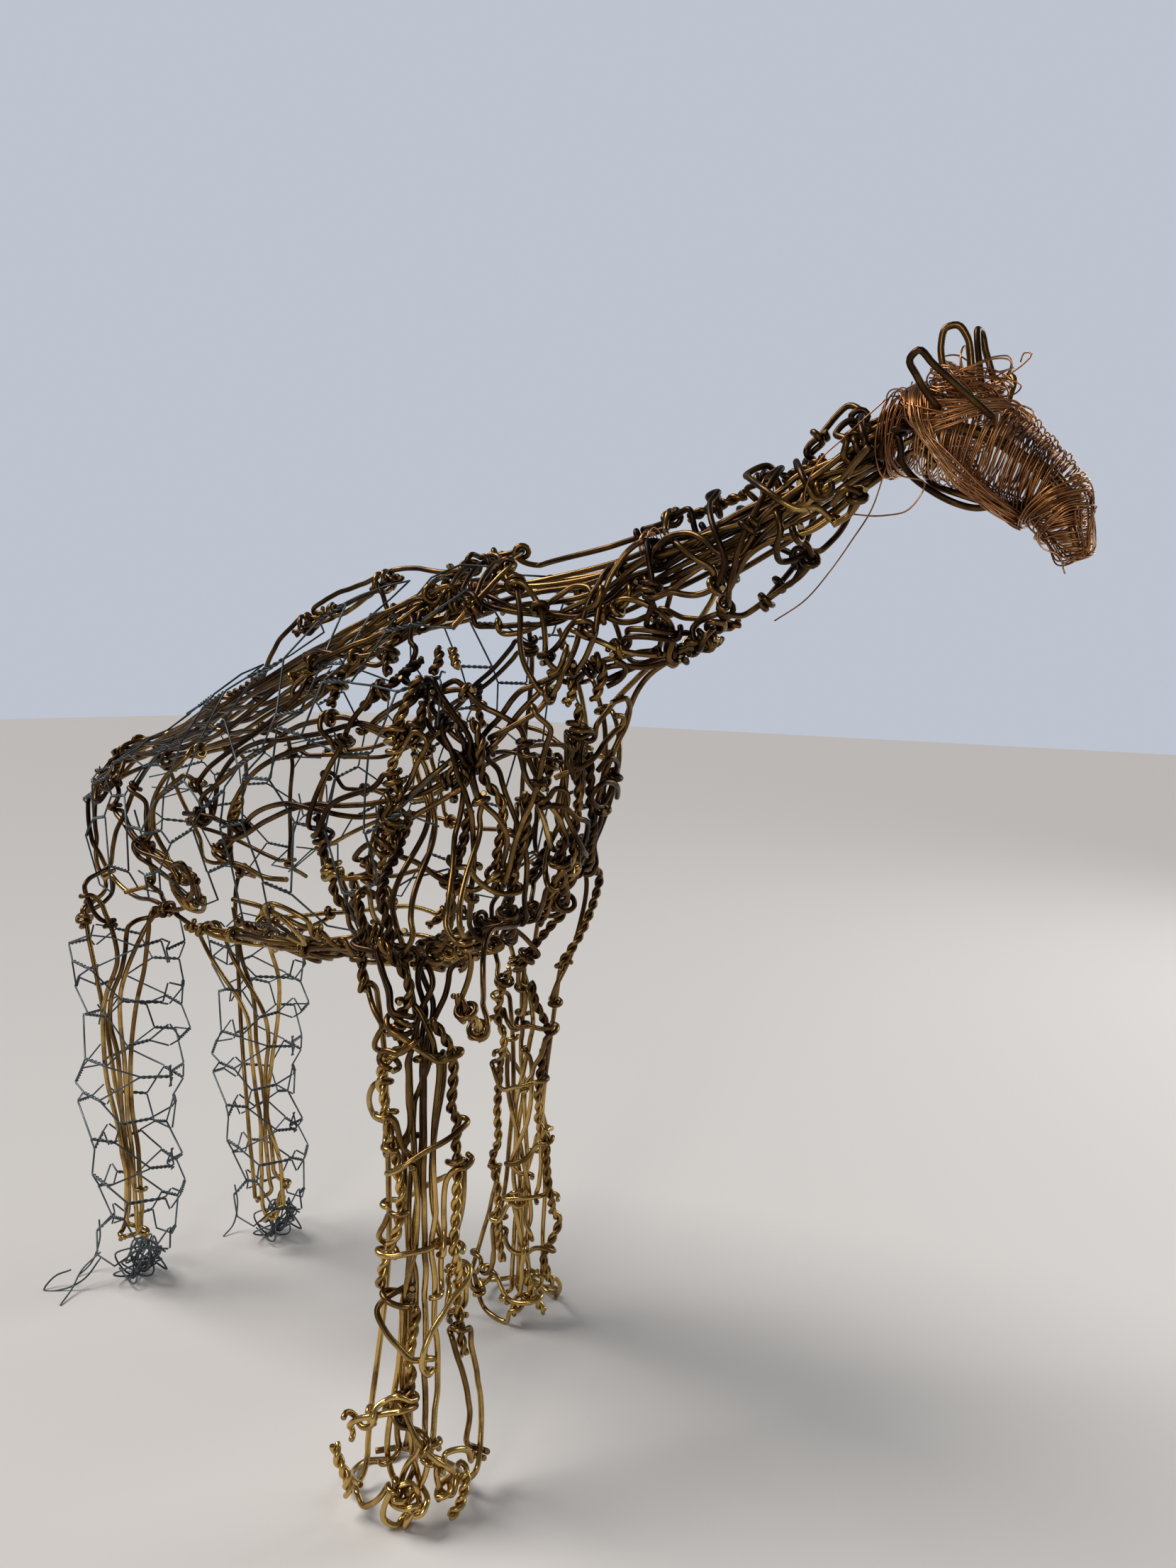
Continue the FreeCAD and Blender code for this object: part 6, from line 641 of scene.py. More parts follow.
        ("wire", [T(174, 176, 1), T(184, 180, 1), T(194, 184, 1), T(206, 188, 2), T(218, 190, 2)]),
        ("wire", [T(236, 160, 3), T(243, 168, 4), T(250, 176, 4), T(257, 180, 4), T(264, 180, 5),
                  T(270, 170, 5), T(272, 152, 4), T(271, 132, 2)]),
        ("wire", [T(240, 142, 1), T(245, 126, 1), T(251, 116, 2), T(258, 116, 2), T(266, 124, 3),
                  T(275, 136, 4), T(283, 140, 5), T(290, 134, 5)]),
        ("wire", [T(245, 132, -1), T(251, 114, -1), T(257, 104, -1), T(264, 98, -2), T(272, 94, -2)]),
        ("wire", [T(183, 87, 3), T(189, 104, 3), T(195, 126, 3), T(203, 150, 3), T(213, 164, 4),
                  T(224, 168, 5)]),
        ("wire", [T(128, 96, 2), T(139, 93, 2), T(150, 90, 1), T(161, 86, 1), T(170, 86, 1),
                  T(178, 92, 1)]),
        ("wire", [T(176, 96, -1), T(184, 110, -1), T(192, 130, 0), T(200, 148, 0), T(209, 162, 1)]),
        ("wire", [T(186, 88, 0), T(195, 94, 0), T(204, 98, 0)]),
    ],
    "neck_knots": [
        ("pair", [T(214, 180, 3), T(221, 188, 4), T(228, 188, 5)]),
        ("pair", [T(225, 172, 3), T(232, 178, 3), T(238, 182, 4)]),
        ("wire", [T(221, 168, 3), T(224, 158, 6), T(229, 162, 7), T(229, 172, 5), T(224, 174, 5)]),
        ("wire", [T(229, 160, 4), T(233, 152, 6), T(237, 158, 6), T(235, 168, 5)]),
        ("wire", [T(194, 128, 3), T(197, 138, 5), T(193, 146, 5), T(189, 138, 4)]),
        ("wire", [T(284, 124, 7), T(290, 120, 8), T(293, 132, 8), T(289, 144, 8), T(283, 140, 8)]),
        ("wire", [T(284, 104, 4), T(288, 98, 6), T(291, 108, 7), T(287, 118, 6), T(282, 112, 5)]),
        ("wire", [T(288, 110, 5), T(293, 102, 6), T(298, 96, 7)]),
        ("wire", [T(188, 70, 3), T(192, 76, 5), T(190, 84, 5), T(185, 78, 4)]),
    ],
    "jaw_wires": [
        ("wire", [T(300, 90, 0), K(8, 84, 1), K(12, 96, 1), K(15, 138, 2), K(20, 170, 3), K(28, 186, 4),
                  K(38, 190, 4.5), K(48, 186, 4), K(58, 178, 3), K(68, 168, 2)]),
        ("wire", [T(300, -90, 0), K(8, -84, 1), K(13, -104, 1), K(17, -140, 2), K(24, -164, 3),
                  K(34, -172, 3), K(46, -172, 2), K(58, -168, 1), K(70, -160, 0)]),
        ("wire", [K(3, 40, -4), K(18, 46, -5), K(32, 50, -6), K(46, 52, -6), K(58, 54, -4),
                  K(70, 54, -2), K(80, 60, -0.5), K(88, 66, 0.8), K(94, 72, 0.8)]),
        ("wire", [K(5, -40, -4), K(20, -46, -5), K(36, -52, -6), K(52, -56, -5), K(66, -60, -2),
                  K(80, -58, -1)]),
        ("wire", [K(10, 0, -7), K(24, 4, -7), K(38, 6, -8), K(52, 6, -6), K(64, 4, -3), K(78, 2, -2)]),
    ],
    "right_ear_loop": [
        ("wire", [P(321, -18, 440), P(319, -25, 444), P(317, -31, 449), P(316, -36, 454),
                  P(319, -37, 456), P(323, -33, 452), P(328, -27, 447), P(333, -20, 442),
                  P(338, -14, 437)]),
    ],
    "left_ear_loop": [
        ("wire", [P(331, 15, 438), P(330.5, 19, 447), P(331, 21, 455), P(332, 22, 460.5),
                  P(334, 21.5, 461.2), P(336, 20, 457.5), P(336, 18, 450), P(334.5, 15, 438)]),
    ],
    "right_ossicone": [
        ("wire", [P(321.5, -9, 448), P(319.5, -10, 457), P(318.5, -10, 465), P(319.5, -9.5, 470),
                  P(323, -8.5, 470.8), P(326.5, -7.5, 466.5), P(328, -6.5, 459), P(328.5, -6, 448)]),
    ],
    "left_ossicone": [
        ("wire", [P(330, 3, 449), P(328, 4, 460), P(326.5, 5, 469), P(326, 6.8, 472.7),
                  P(326.6, 9.6, 472.3), P(328, 11.2, 466), P(331.5, 11.5, 449)]),
    ],
}


def company(route, number, spread):
    """More wires of a bundle: each follows one route, wandering a little to either side of it."""
    wires = []
    for wire in range(1, number + 1):
        follower = []
        for stop, (form, along, angle, proud) in enumerate(route):
            follower.append((
                form,
                along + 3 * math.sin(1.7 * wire + stop),
                angle + spread * math.sin(2.4 * wire + 0.9 * stop),
                proud + 1.6 * math.sin(3.3 * wire + 1.3 * stop),
            ))
        wires.append(("wire", follower))
    return wires


# Bundles: node, its wire that leads the bundle, how many more run with it, and how many degrees
# they wander.
BUNDLES = [
    ("spine_wires", 0, 2, 9), ("spine_wires", 1, 2, 9), ("spine_wires", 2, 2, 10),
    ("spine_wires", 4, 1, 10), ("spine_wires", 5, 1, 8), ("neck_core_wires", 0, 1, 12),
    ("neck_core_wires", 1, 2, 10),
    ("neck_core_wires", 3, 1, 12), ("neck_core_wires", 4, 2, 10), ("neck_core_wires", 5, 1, 10),
    ("neck_core_wires", 6, 1, 10), ("belly_wires", 11, 3, 8), ("belly_wires", 12, 2, 10),
    ("back_outer_wires", 9, 1, 5), ("back_outer_wires", 10, 2, 8), ("flank_wires_right", 1, 1, 4),
    ("flank_wires_right", 4, 1, 4), ("rump_hoops_right", 0, 1, 5), ("rump_hoops_right", 2, 1, 5),
    ("chest_wires", 5, 1, 8), ("chest_wires", 9, 1, 8), ("neck_throat_wires", 0, 1, 8),
    ("neck_throat_wires", 7, 1, 6), ("fore_right_core_wires", 0, 1, 10), ("fore_left_core_wires", 0, 1, 10),
    ("flank_wires_left", 0, 1, 6), ("flank_wires_left", 1, 1, 6),
]
for node, leader, number, spread in BUNDLES:
    WIRES[node] += company(WIRES[node][leader][1], number, spread)


def smooth_row(stations, at):
    """The rows of a table joined by cubic curves whose slopes come from the rows on either side."""
    table = np.array(stations, dtype=float)
    keys, rows = table[:, 0], table[:, 1:]
    slopes = np.gradient(rows, keys, axis=0)
    at = np.clip(np.asarray(at, dtype=float), keys[0], keys[-1])
    low = np.clip(np.searchsorted(keys, at, side="left") - 1, 0, len(keys) - 2)
    span = (keys[low + 1] - keys[low])[:, None]
    t = (at - keys[low])[:, None] / span
    return (
        rows[low] * (1 + 2 * t) * (1 - t) ** 2 + slopes[low] * span * t * (1 - t) ** 2
        + rows[low + 1] * t ** 2 * (3 - 2 * t) - slopes[low + 1] * span * t ** 2 * (1 - t)
    )


def placed(route):
    """Stations in space: each on the ring round its form at its angle, standing proud of it."""
    spots = []
    for form, first, second, third in route:
        if form == "space":
            spots.append((first, second, third))
            continue
        turn, proud = math.radians(second), third
        if form == "trunk":
            top, bottom, half_width = smooth_row(TRUNK_STATIONS, [first])[0]
            spots.append((
                first,
                -(half_width + proud) * math.sin(turn),
                (top + bottom) / 2 + ((top - bottom) / 2 + proud) * math.cos(turn),
            ))
        elif form == "head":
            x, z, half_depth, half_width = smooth_row(HEAD_STATIONS, [first])[0]
            behind, ahead = smooth_row(HEAD_STATIONS, [first - 2, first + 2])
            run, rise = ahead[0] - behind[0], ahead[1] - behind[1]
            length = math.hypot(run, rise)
            out = (half_depth + proud) * math.cos(turn)
            spots.append((
                x - rise / length * out, -(half_width + proud) * math.sin(turn), z + run / length * out,
            ))
        else:
            x, y, half_length, half_width = smooth_row(LEG_STATIONS[form], [first])[0]
            spots.append((
                x + (half_length + proud) * math.cos(turn), y - (half_width + proud) * math.sin(turn), first,
            ))
    return np.array(spots)


def eased(points, spacing, least=1):
    """Points on the cubic curve through the given ones, its slopes weighed by the gaps on either side."""
    points = np.asarray(points, dtype=float)
    whole = np.vstack([2 * points[0] - points[1], points, 2 * points[-1] - points[-2]])
    gaps = np.maximum(np.linalg.norm(np.diff(whole, axis=0), axis=1), 0.1)[:, None]
    steps_between = np.diff(whole, axis=0) / gaps
    slopes = (gaps[:-1] * steps_between[1:] + gaps[1:] * steps_between[:-1]) / (gaps[:-1] + gaps[1:])
    lengths = gaps[1:-1, 0]
    counts = np.maximum(least, np.round(lengths / spacing)).astype(int)
    run = np.repeat(np.arange(len(counts)), counts)
    order = np.arange(len(run)) - np.repeat(np.cumsum(counts) - counts, counts)
    t = (order / counts[run])[:, None]
    span = lengths[run][:, None]
    curve = (
        points[run] * (1 + 2 * t) * (1 - t) ** 2 + slopes[run] * span * t * (1 - t) ** 2
        + points[run + 1] * t ** 2 * (3 - 2 * t) - slopes[run + 1] * span * t ** 2 * (1 - t)
    )
    return np.vstack([curve, points[-1]])


def leg_netting(leg, bottom, wires, columns, first, last):
    """Netting round a leg: each wire twists in turn with the wire above it and the wire below it."""
    panel = []
    step = LEG_STEP
    for wire in range(wires):
        route = [(leg, bottom + wire * step, first, 1)]
        for order, column in enumerate(columns):
            above = (wire + order) % 2 == 0
            pair = wire if above else wire - 1
            height = bottom + pair * step + step / 2
            height += 2.6 * math.sin(2.1 * pair + 1.7 * column) + 1.5 * math.sin(0.7 * pair - 0.3 * column)
            height += -0.55 * (2 * NET) if above else 0.55 * (2 * NET)
            middle = column + 13 * math.sin(1.3 * pair + 0.9 * column)
            proud = 0.5 + 2.8 * math.sin(2.9 * pair + column) + 2.4 * math.sin(0.8 * pair + 0.4 * column)
            turn = 17 + 5 * math.sin(1.9 * pair + 0.6 * column)
            turn = turn if first < last else -turn
            route.append((leg, height, middle - turn, proud))
            tilt = 4.0 * math.sin(1.6 * pair + 0.8 * column)
            route.append((leg, height + tilt, middle + turn, proud + 1.5 * math.sin(pair + 2 * column)))
        route.append((leg, bottom + wire * step, last, 1))
        panel.append(("netting", route))
    return panel


def trunk_netting(angles, columns, side, proud):
    """Netting along the trunk: each wire twists in turn with the wires beside it."""
    panel = []
    step = TRUNK_STEP
    for wire, angle in enumerate(angles):
        route = [("trunk", columns[0] - step * 0.9, angle * side, proud)]
        for order, column in enumerate(columns):
            onward = (wire + order) % 2 == 0
            pair = wire if onward else wire - 1
            between = angles[0] + 14 * pair + 7 + 5.5 * math.sin(1.9 * pair + 0.11 * column)
            spread = math.degrees(0.55 * (2 * NET) / 58)
            between += -spread if onward else spread
            middle = column + 8 * math.sin(2.3 * pair + 0.07 * column)
            lift = proud + 3.2 * math.sin(1.7 * pair + 0.05 * column)
            tilt = 4.5 * math.sin(2.9 * pair + 0.09 * column)
            route.append(("trunk", middle - 0.4 * step, between * side, lift))
            dip = 1.5 * math.sin(pair + column)
            route.append(("trunk", middle + 0.4 * step, (between + tilt) * side, lift - dip))
        route.append(("trunk", columns[-1] + step * 0.9, angle * side, proud))
        panel.append(("netting", route))
    return panel


def winding(kind, form, first, last, turns, proud, start=0, lean=0, ripple=0.5, lean_at=40):
    """One wire wound round a form in rings that lean and wander a little."""
    route = []
    steps = int(turns * 9)
    for step in range(steps + 1):
        share = step / steps
        angle = start + 360 * turns * share
        along = first + (last - first) * share + lean * math.cos(math.radians(angle - lean_at))
        along += 0.5 * math.sin(1.9 * share * turns)
        lift = proud + ripple * math.sin(2.4 * share * turns) + 0.3 * ripple * math.sin(0.13 * angle)
        route.append((form, along, angle, lift))
    return (kind, route)


def wound_band(kind, form, loop, rounds):
    """One wire taken many times round a loop of (along, angle, proud, fan along, fan of angle)."""
    route = []
    for turn in range(rounds):
        offset = turn / (rounds - 1) - 0.5
        for stop, (along, angle, proud, fan_along, fan_angle) in enumerate(loop):
            wander = 0.12 * math.sin(2.7 * turn + 1.9 * stop)
            lift = proud + 0.5 * math.sin(3.1 * turn + 0.8 * stop)
            across = offset + wander
            route.append((form, along + across * fan_along, angle + across * fan_angle, lift))
    return (kind, route)


def tangle(kind, centre, radii, turns, tilt):
    """One wire wound loosely into a ball whose rings turn a little further each time round."""
    route = []
    steps = int(turns * 9)
    lean = math.radians(tilt)
    for step in range(steps + 1):
        round_angle = 2 * math.pi * turns * step / steps
        sway = 0.75 * math.sin(0.37 * round_angle) + 0.25 * math.sin(1.13 * round_angle + 1)
        reach = 1 + 0.07 * math.sin(2.3 * round_angle)
        x = math.cos(round_angle) * math.cos(sway) * reach
        y = math.sin(round_angle) * reach
        z = math.cos(round_angle) * math.sin(sway) * reach + 0.3 * math.sin(0.31 * round_angle)
        x, z = x * math.cos(lean) + z * math.sin(lean), z * math.cos(lean) - x * math.sin(lean)
        route.append((
            "space", centre[0] + radii[0] * x, centre[1] + radii[1] * y, centre[2] + radii[2] * z,
        ))
    return (kind, route)


def crumple(kind, centre, radii, bends, phase):
    """One wire bent to and fro through a rounded heap, straight between its bends."""
    route = []
    for bend in range(bends):
        level = math.sin(1.9 * bend + phase)
        angle = 1.7 * bend + 0.7 * math.sin(2.3 * bend + phase) + phase
        reach = math.sqrt(1 - level ** 2) * (0.7 + 0.3 * math.sin(5.1 * bend + phase)) + 0.15
        route.append((
            "space",
            centre[0] + radii[0] * reach * math.cos(angle),
            centre[1] + radii[1] * reach * math.sin(angle),
            centre[2] + radii[2] * level,
        ))
    return (kind, route)


def coil(kind, form, line, turns, radius, reach=14):
    """One wire wound in small rings along a line of stations on a form."""
    route = []
    steps = int(turns * 7)
    for step in range(steps + 1):
        share = step / steps * (len(line) - 1)
        index = min(int(share), len(line) - 2)
        part = share - index
        along, angle, proud = (
            a + (b - a) * part for a, b in zip(line[index], line[index + 1])
        )
        turn = 2 * math.pi * turns * step / steps
        ring = radius * (1 + 0.18 * math.sin(1.7 * turn / (2 * math.pi)))
        aside = math.degrees(ring / reach) * math.cos(turn)
        route.append((form, along, angle + aside, proud + ring * math.sin(turn)))
    return (kind, route)


OUTER_COLUMNS = (148, 88, 28)
INNER_COLUMNS = (-32, -92, -152)
WIRES["hind_right_netting_outer"] = leg_netting("hind_right", 23, 16, OUTER_COLUMNS, 178, 0)
WIRES["hind_right_netting_inner"] = leg_netting("hind_right", 23, 16, INNER_COLUMNS, -2, -179)
WIRES["hind_left_netting_outer"] = leg_netting("hind_left", 23, 15, INNER_COLUMNS, -2, -179)
WIRES["hind_left_netting_inner"] = leg_netting("hind_left", 23, 15, OUTER_COLUMNS, 178, 0)
for leg in ("hind_right", "hind_left"):
    middle = placed([(leg, 12, 0, -20)])[0, 0] - 2, LEG_STATIONS[leg][0][2]
    WIRES[leg + "_foot_netting"] = [
        crumple("netting", (middle[0], middle[1], 11), (15, 13, 10), 17, 0.4),
        crumple("netting", (middle[0] + 3, middle[1] + 1, 14), (13, 12, 9), 15, 2.0),
        crumple("netting", (middle[0] - 3, middle[1] - 2, 6), (17, 13, 5), 15, 3.9),
        crumple("netting", (middle[0] + 1, middle[1] - 1, 17), (12, 13, 8), 13, 5.3),
        ("netting", [(leg, 30, 150, 2), (leg, 16, 158, 2), (leg, 4, 152, 4), (leg, 0, 140, 8)]),
    ]
WIRES["hind_right_foot_netting"] += [
    ("netting", [HR(14, 118, -2), HR(6, 112, 5), HR(1, 118, 14), HR(0, 124, 24), HR(5, 128, 20),
                 HR(9, 124, 12)]),
    ("netting", [HR(16, 126, -2), HR(9, 122, 6), HR(3, 108, 12), HR(0, 98, 20)]),
]
flank = [-58 + TRUNK_STEP * column for column in range(8)]
rump = [-150 + TRUNK_STEP * column for column in range(4)]
WIRES["netting_right_flank"] = trunk_netting([24 + 14 * wire for wire in range(8)], flank, 1, 6)
WIRES["netting_left_flank"] = trunk_netting([24 + 14 * wire for wire in range(8)], flank, -1, 6)
WIRES["netting_rump"] = (
    trunk_netting([38 + 14 * wire for wire in range(6)], rump, 1, 6)
    + trunk_netting([38 + 14 * wire for wire in range(6)], rump, -1, 6)
)
WIRES["neck_binding_ties"] = [
    coil("copper", "trunk", [(199, 24, -4), (204, 24, -4)], 5, 6.5, 28),
    coil("copper", "trunk", [(253, 30, -4), (257, 30, -4)], 4, 6.5, 24),
]
WIRES["poll_winding"] = [winding("copper", "head", -1, 11, 14, 2.0, 0, 2.0, 1.6)]
WIRES["crown_winding"] = [
    tangle("copper", (325.5, 0, 451), (13.5, 12, 11), 24, 24),
    tangle("copper", (325, 0, 449), (14.5, 13, 8), 10, 50),
]
WIRES["brow_band"] = [wound_band("copper", "head", [
    (20, 70, 2.2, 0, 40), (28, 60, 2.2, 0, 34), (36, 42, 2.6, 2, 14), (41, 16, 3.2, 4, 4),
    (44, -15, 3, 5, 0), (42, -42, 3, 4, 0), (34, -60, 2.6, 2, -20), (26, -72, 2.2, 0, -34),
    (18, -78, 2.2, 3, -28),
    (11, -40, 2.2, 6, 0), (9, 0, 2.2, 6, 0), (11, 44, 2.2, 6, 6), (15, 66, 2.2, 4, 16),
], 20)]
WIRES["cheek_bands"] = [wound_band("copper", "head", [
    (12, 25, 4, 4, 10), (16, 60, 4.4, 5, 10), (22, 88, 4.4, 6, 12), (30, 108, 4.2, 6, 14),
    (41, 128, 4, 6, 16), (52, 146, 3.6, 5, 16), (62, 164, 3.2, 5, 12), (69, 182, 3, 4, 0),
    (62, 198, 3.2, 5, -10),
    (52, 214, 3.6, 5, -12), (41, 232, 4, 6, -12), (30, 252, 4.2, 6, -12), (20, 276, 4.4, 6, -8),
    (14, 306, 4.4, 5, 0), (11, 334, 4.2, 5, 0), (10, 360, 4, 5, 0),
], 16)]
WIRES["cheek_wrap"] = [
    winding("copper", "head", 43, 69, 34, 1.3, 60, 4.0, 0.6, 160),
    winding("copper", "head", 16, 46, 24, 0.4, 20, 3.0, 0.8, 120),
]
WIRES["nose_ridge_winding"] = [
    coil("copper", "head", [(42, 34, 2.8), (50, 30, 2.8), (58, 26, 2.8), (66, 24, 2.8), (73, 22, 2.8)],
         18, 2.2),
    coil("copper", "head", [(46, 2, 2.8), (56, 4, 2.8), (66, 2, 2.8), (75, 0, 2.8)], 13, 2.0),
]
WIRES["muzzle_winding"] = [
    winding("copper", "head", 69, 77, 11, 3.2, 0, 2.0, 1.4),
    wound_band("copper", "head", [
        (77, 20, 2.8, 3, 36), (83, 30, 2.2, 0, 40), (90, 36, 1.6, 0, 34), (95.5, 44, 1.4, 0, 24),
        (96, 110, 1.0, 0, 10), (94, 170, 1.0, 0, 20), (87, 190, 1.4, 0, 20), (78, 178, 2.8, 3, 20),
        (76, 100, 4, 3, 0),
    ], 10),
    winding("copper", "head", 76, 95, 22, 1.0, 90, 2.5, 0.8),
]
WIRES["muzzle_bands"] = [
    wound_band("copper", "head", [
        (80, 40, 3.4, 3, 0), (79, 70, 3.4, 3, 0), (80, 100, 3.4, 3, 0), (82, 140, 3.2, 3, 0),
        (83, 190, 3.2, 3, 0), (82, 250, 3.2, 3, 0), (81, 320, 3.4, 3, 0),
    ], 5),
]
WIRES["loose_wire_ends"] = [
    ("copper", [K(2, 160, 2), T(292, 172, 4), T(284, 182, 8), T(274, 190, 12), T(262, 196, 14),
                T(250, 196, 12)]),
    ("copper", [K(4, 170, 2), P(306, -9, 420), P(314.5, -10, 417), P(309, -12, 407), P(303, -13, 406),
                P(297, -13, 406), P(290, -14, 407)]),
    ("copper", [K(1, 50, 3), T(288, 66, 6), T(280, 80, 8), T(276, 104, 8), T(278, 128, 7)]),
    ("copper", [K(76, 165, 2), P(354.4, -8, 400), P(355, -9, 394.5), P(357, -9, 392), P(361, -9, 390.4),
                P(364, -10, 383.6)]),
    ("copper", [P(334, 4, 452), P(339, 6, 456), P(343, 7, 459), P(345, 8, 462), P(342, 9, 463),
                P(341, 9, 460)]),
    ("copper", [K(43, 20, 4), P(345, -2, 442), P(349, -4, 439), P(347, -6, 434), K(46, 40, 3)]),
]


def end_turns(node):
    """How many times the ends of a node's wires go round their neighbours: knots and loops stay open."""
    if any(word in node for word in ("knots", "coils", "ear_loop", "ossicone")):
        return 0
    if any(word in node for word in ("core", "spine", "jaw", "side_wires", "hoof")):
        return 0.6
    return 1.5


# Tying off: the points in one turn round another wire, the turns where knots lie close together, how
# close that is, the space left under the turns, and the rise of each turn in radii of its wire.
RING_POINTS, FEW_TURNS, KNOT_SPACE, RING_GAP, RING_RISE = 7, 0.6, 13, 0.3, 2.25


def nearest_stop(lines, kinds, number, end, reach):
    """The other brass line that passes nearest to a line's end and the point on it, if within reach."""
    best, held = reach, None
    for other, points in enumerate(lines):
        if other == number or kinds[other] not in ("wire", "pair"):
            continue
        for index in range(2, len(points) - 2):
            gap = math.dist(points[index], end)
            if gap < best:
                best, held = gap, (other, index)
    return held


def tied_line(line, post, ring, rounds, radius):
    """A line carried on in rings round a post, which is three points of another line.

    A ring's point is at the post's middle + ring (cos a arm + sin a across), and rises along the
    post. Points are taken off the line's end until it runs into the first ring with no sharp turn.
    """
    span = [b - a for a, b in zip(post[0], post[2])]
    length = math.hypot(*span)
    for _ in range(4):
        while len(line) > 5 and math.dist(line[-1], post[1]) < ring + 2.5:
            line.pop()
        travel = [b - a for a, b in zip(line[-2], line[-1])]
        sense = 1 if sum(a * t for a, t in zip(span, travel)) > 0 else -1
        ahead = [sense * a / length for a in span]
        arm = [a - b for a, b in zip(line[-1], post[1])]
        lean = sum(a * b for a, b in zip(arm, ahead))
        arm = [a - lean * b for a, b in zip(arm, ahead)]
        far = max(math.hypot(*arm), 0.1)
        arm = [a / far for a in arm]
        across = [
            ahead[1] * arm[2] - ahead[2] * arm[1],
            ahead[2] * arm[0] - ahead[0] * arm[2],
            ahead[0] * arm[1] - ahead[1] * arm[0],
        ]
        if sum(a * t for a, t in zip(across, travel)) < 0:
            across = [-a for a in across]
        start = math.acos(min(1.0, ring / far))
        rings = []
        for step in range(int(RING_POINTS * rounds)):
            angle = start + 2 * math.pi * step / RING_POINTS
            rise = (step / RING_POINTS - rounds / 2) * RING_RISE * radius
            rings.append([
                p + ring * (math.cos(angle) * a + math.sin(angle) * c) + rise * u
                for p, a, c, u in zip(post[1], arm, across, ahead)
            ])
        onward = [b - a for a, b in zip(line[-1], rings[0])]
        straight = sum(a * b for a, b in zip(onward, travel))
        straight /= max(math.hypot(*onward) * math.hypot(*travel), 0.01)
        if (straight > 0.2 and math.hypot(*onward) > 2.0) or len(line) < 6:
            break
        line.pop()
    return line + rings


def wrapped_ends(lines, kinds, turns, reach):
    """Ends of single brass wires carried on in rings round the nearest other, as wires are fixed by hand."""
    finished, knots = [], []
    for number, (line, kind) in enumerate(zip(lines, kinds)):
        line = [list(point) for point in line]
        for _ in range(2 if kind == "wire" and turns[number] else 0):
            line.reverse()
            held = nearest_stop(lines, kinds, number, line[-1], reach)
            if held is None:
                continue
            other, index = held
            post = [list(point) for point in lines[other][index - 1:index + 2]]
            crowded = any(math.dist(post[1], knot) < KNOT_SPACE for knot in knots)
            rounds = FEW_TURNS if crowded else turns[number]
            if rounds > 1:
                knots.append(post[1])
            ring = RADIUS[kind] + RADIUS[kinds[other]] + RING_GAP
            line = tied_line(line, post, ring, rounds, RADIUS[kind])
        finished.append(line)
    return finished


# A bend is open enough when this share of its shorter side is as long as so many radii of its wire
# would need; a tight bend's corner goes this share of the way in, each round.
SIDE_SHARE, BEND_RADII, CORNER_STEP = 0.45, 1.2, 0.35


def opened_bends(lines, kinds, rounds):
    """Any bend tighter than a wire can take is opened by moving its corner in between its neighbours."""
    for _ in range(rounds):
        tight = 0
        for line, kind in zip(lines, kinds):
            for index in range(1, len(line) - 1):
                back = math.dist(line[index - 1], line[index])
                ahead = math.dist(line[index], line[index + 1])
                across = math.dist(line[index - 1], line[index + 1])
                cosine = (across ** 2 - back ** 2 - ahead ** 2) / max(2 * back * ahead, 1e-6)
                bend = math.acos(min(max(cosine, -1.0), 1.0))
                needed = BEND_RADII * RADIUS[kind] * math.tan(min(bend / 2, 1.5))
                if SIDE_SHARE * min(back, ahead) >= needed:
                    continue
                tight += 1
                for axis in range(3):
                    middle = (line[index - 1][axis] + line[index + 1][axis]) / 2
                    line[index][axis] += CORNER_STEP * (middle - line[index][axis])
        if not tight:
            break


def nearest(a, u, b, v):
    """How far along two straight runs their nearest points lie, for many pairs at once."""
    w = a - b
    uu, vv, uv = (u * u).sum(1), (v * v).sum(1), (u * v).sum(1)
    uw, vw = (u * w).sum(1), (v * w).sum(1)
    below = uu * vv - uv * uv
    s = np.where(below > 1e-9, np.clip((uv * vw - vv * uw) / np.maximum(below, 1e-9), 0, 1), 0.5)
    t = np.clip((uv * s + vw) / vv, 0, 1)
    s = np.clip((uv * t - uw) / uu, 0, 1)
    return s, t


def near_runs(points, thick, first, run_owner):
    """The starts of each two straight runs that lie near enough to meet in the next few rounds."""
    middle = (points[first] + points[first + 1]) / 2
    extent = np.linalg.norm(points[first + 1] - points[first], axis=1) / 2 + thick[first]
    found = []
    for start in range(0, len(first), 400):
        block = slice(start, start + 400)
        apart = np.linalg.norm(middle[block, None] - middle[None], axis=2)
        one, two = np.nonzero(apart < extent[block, None] + extent[None] + 3)
        one = one + start
        keep = (two > one) & ((run_owner[one] != run_owner[two]) | (first[two] - first[one] >= 4))
        found.append(np.stack([one[keep], two[keep]]))
    one, two = np.hstack(found)
    return first[one], first[two]


# How much of a push each point near a crossing takes: its place from the run's start, a fixed
# part, and a part that grows along the run.
PUSH_SHARES = ((-1, 0.35, 0), (0, 1, -0.5), (1, 0.5, 0.5), (2, 0.35, 0))
PUSH_LIMIT = 1.2


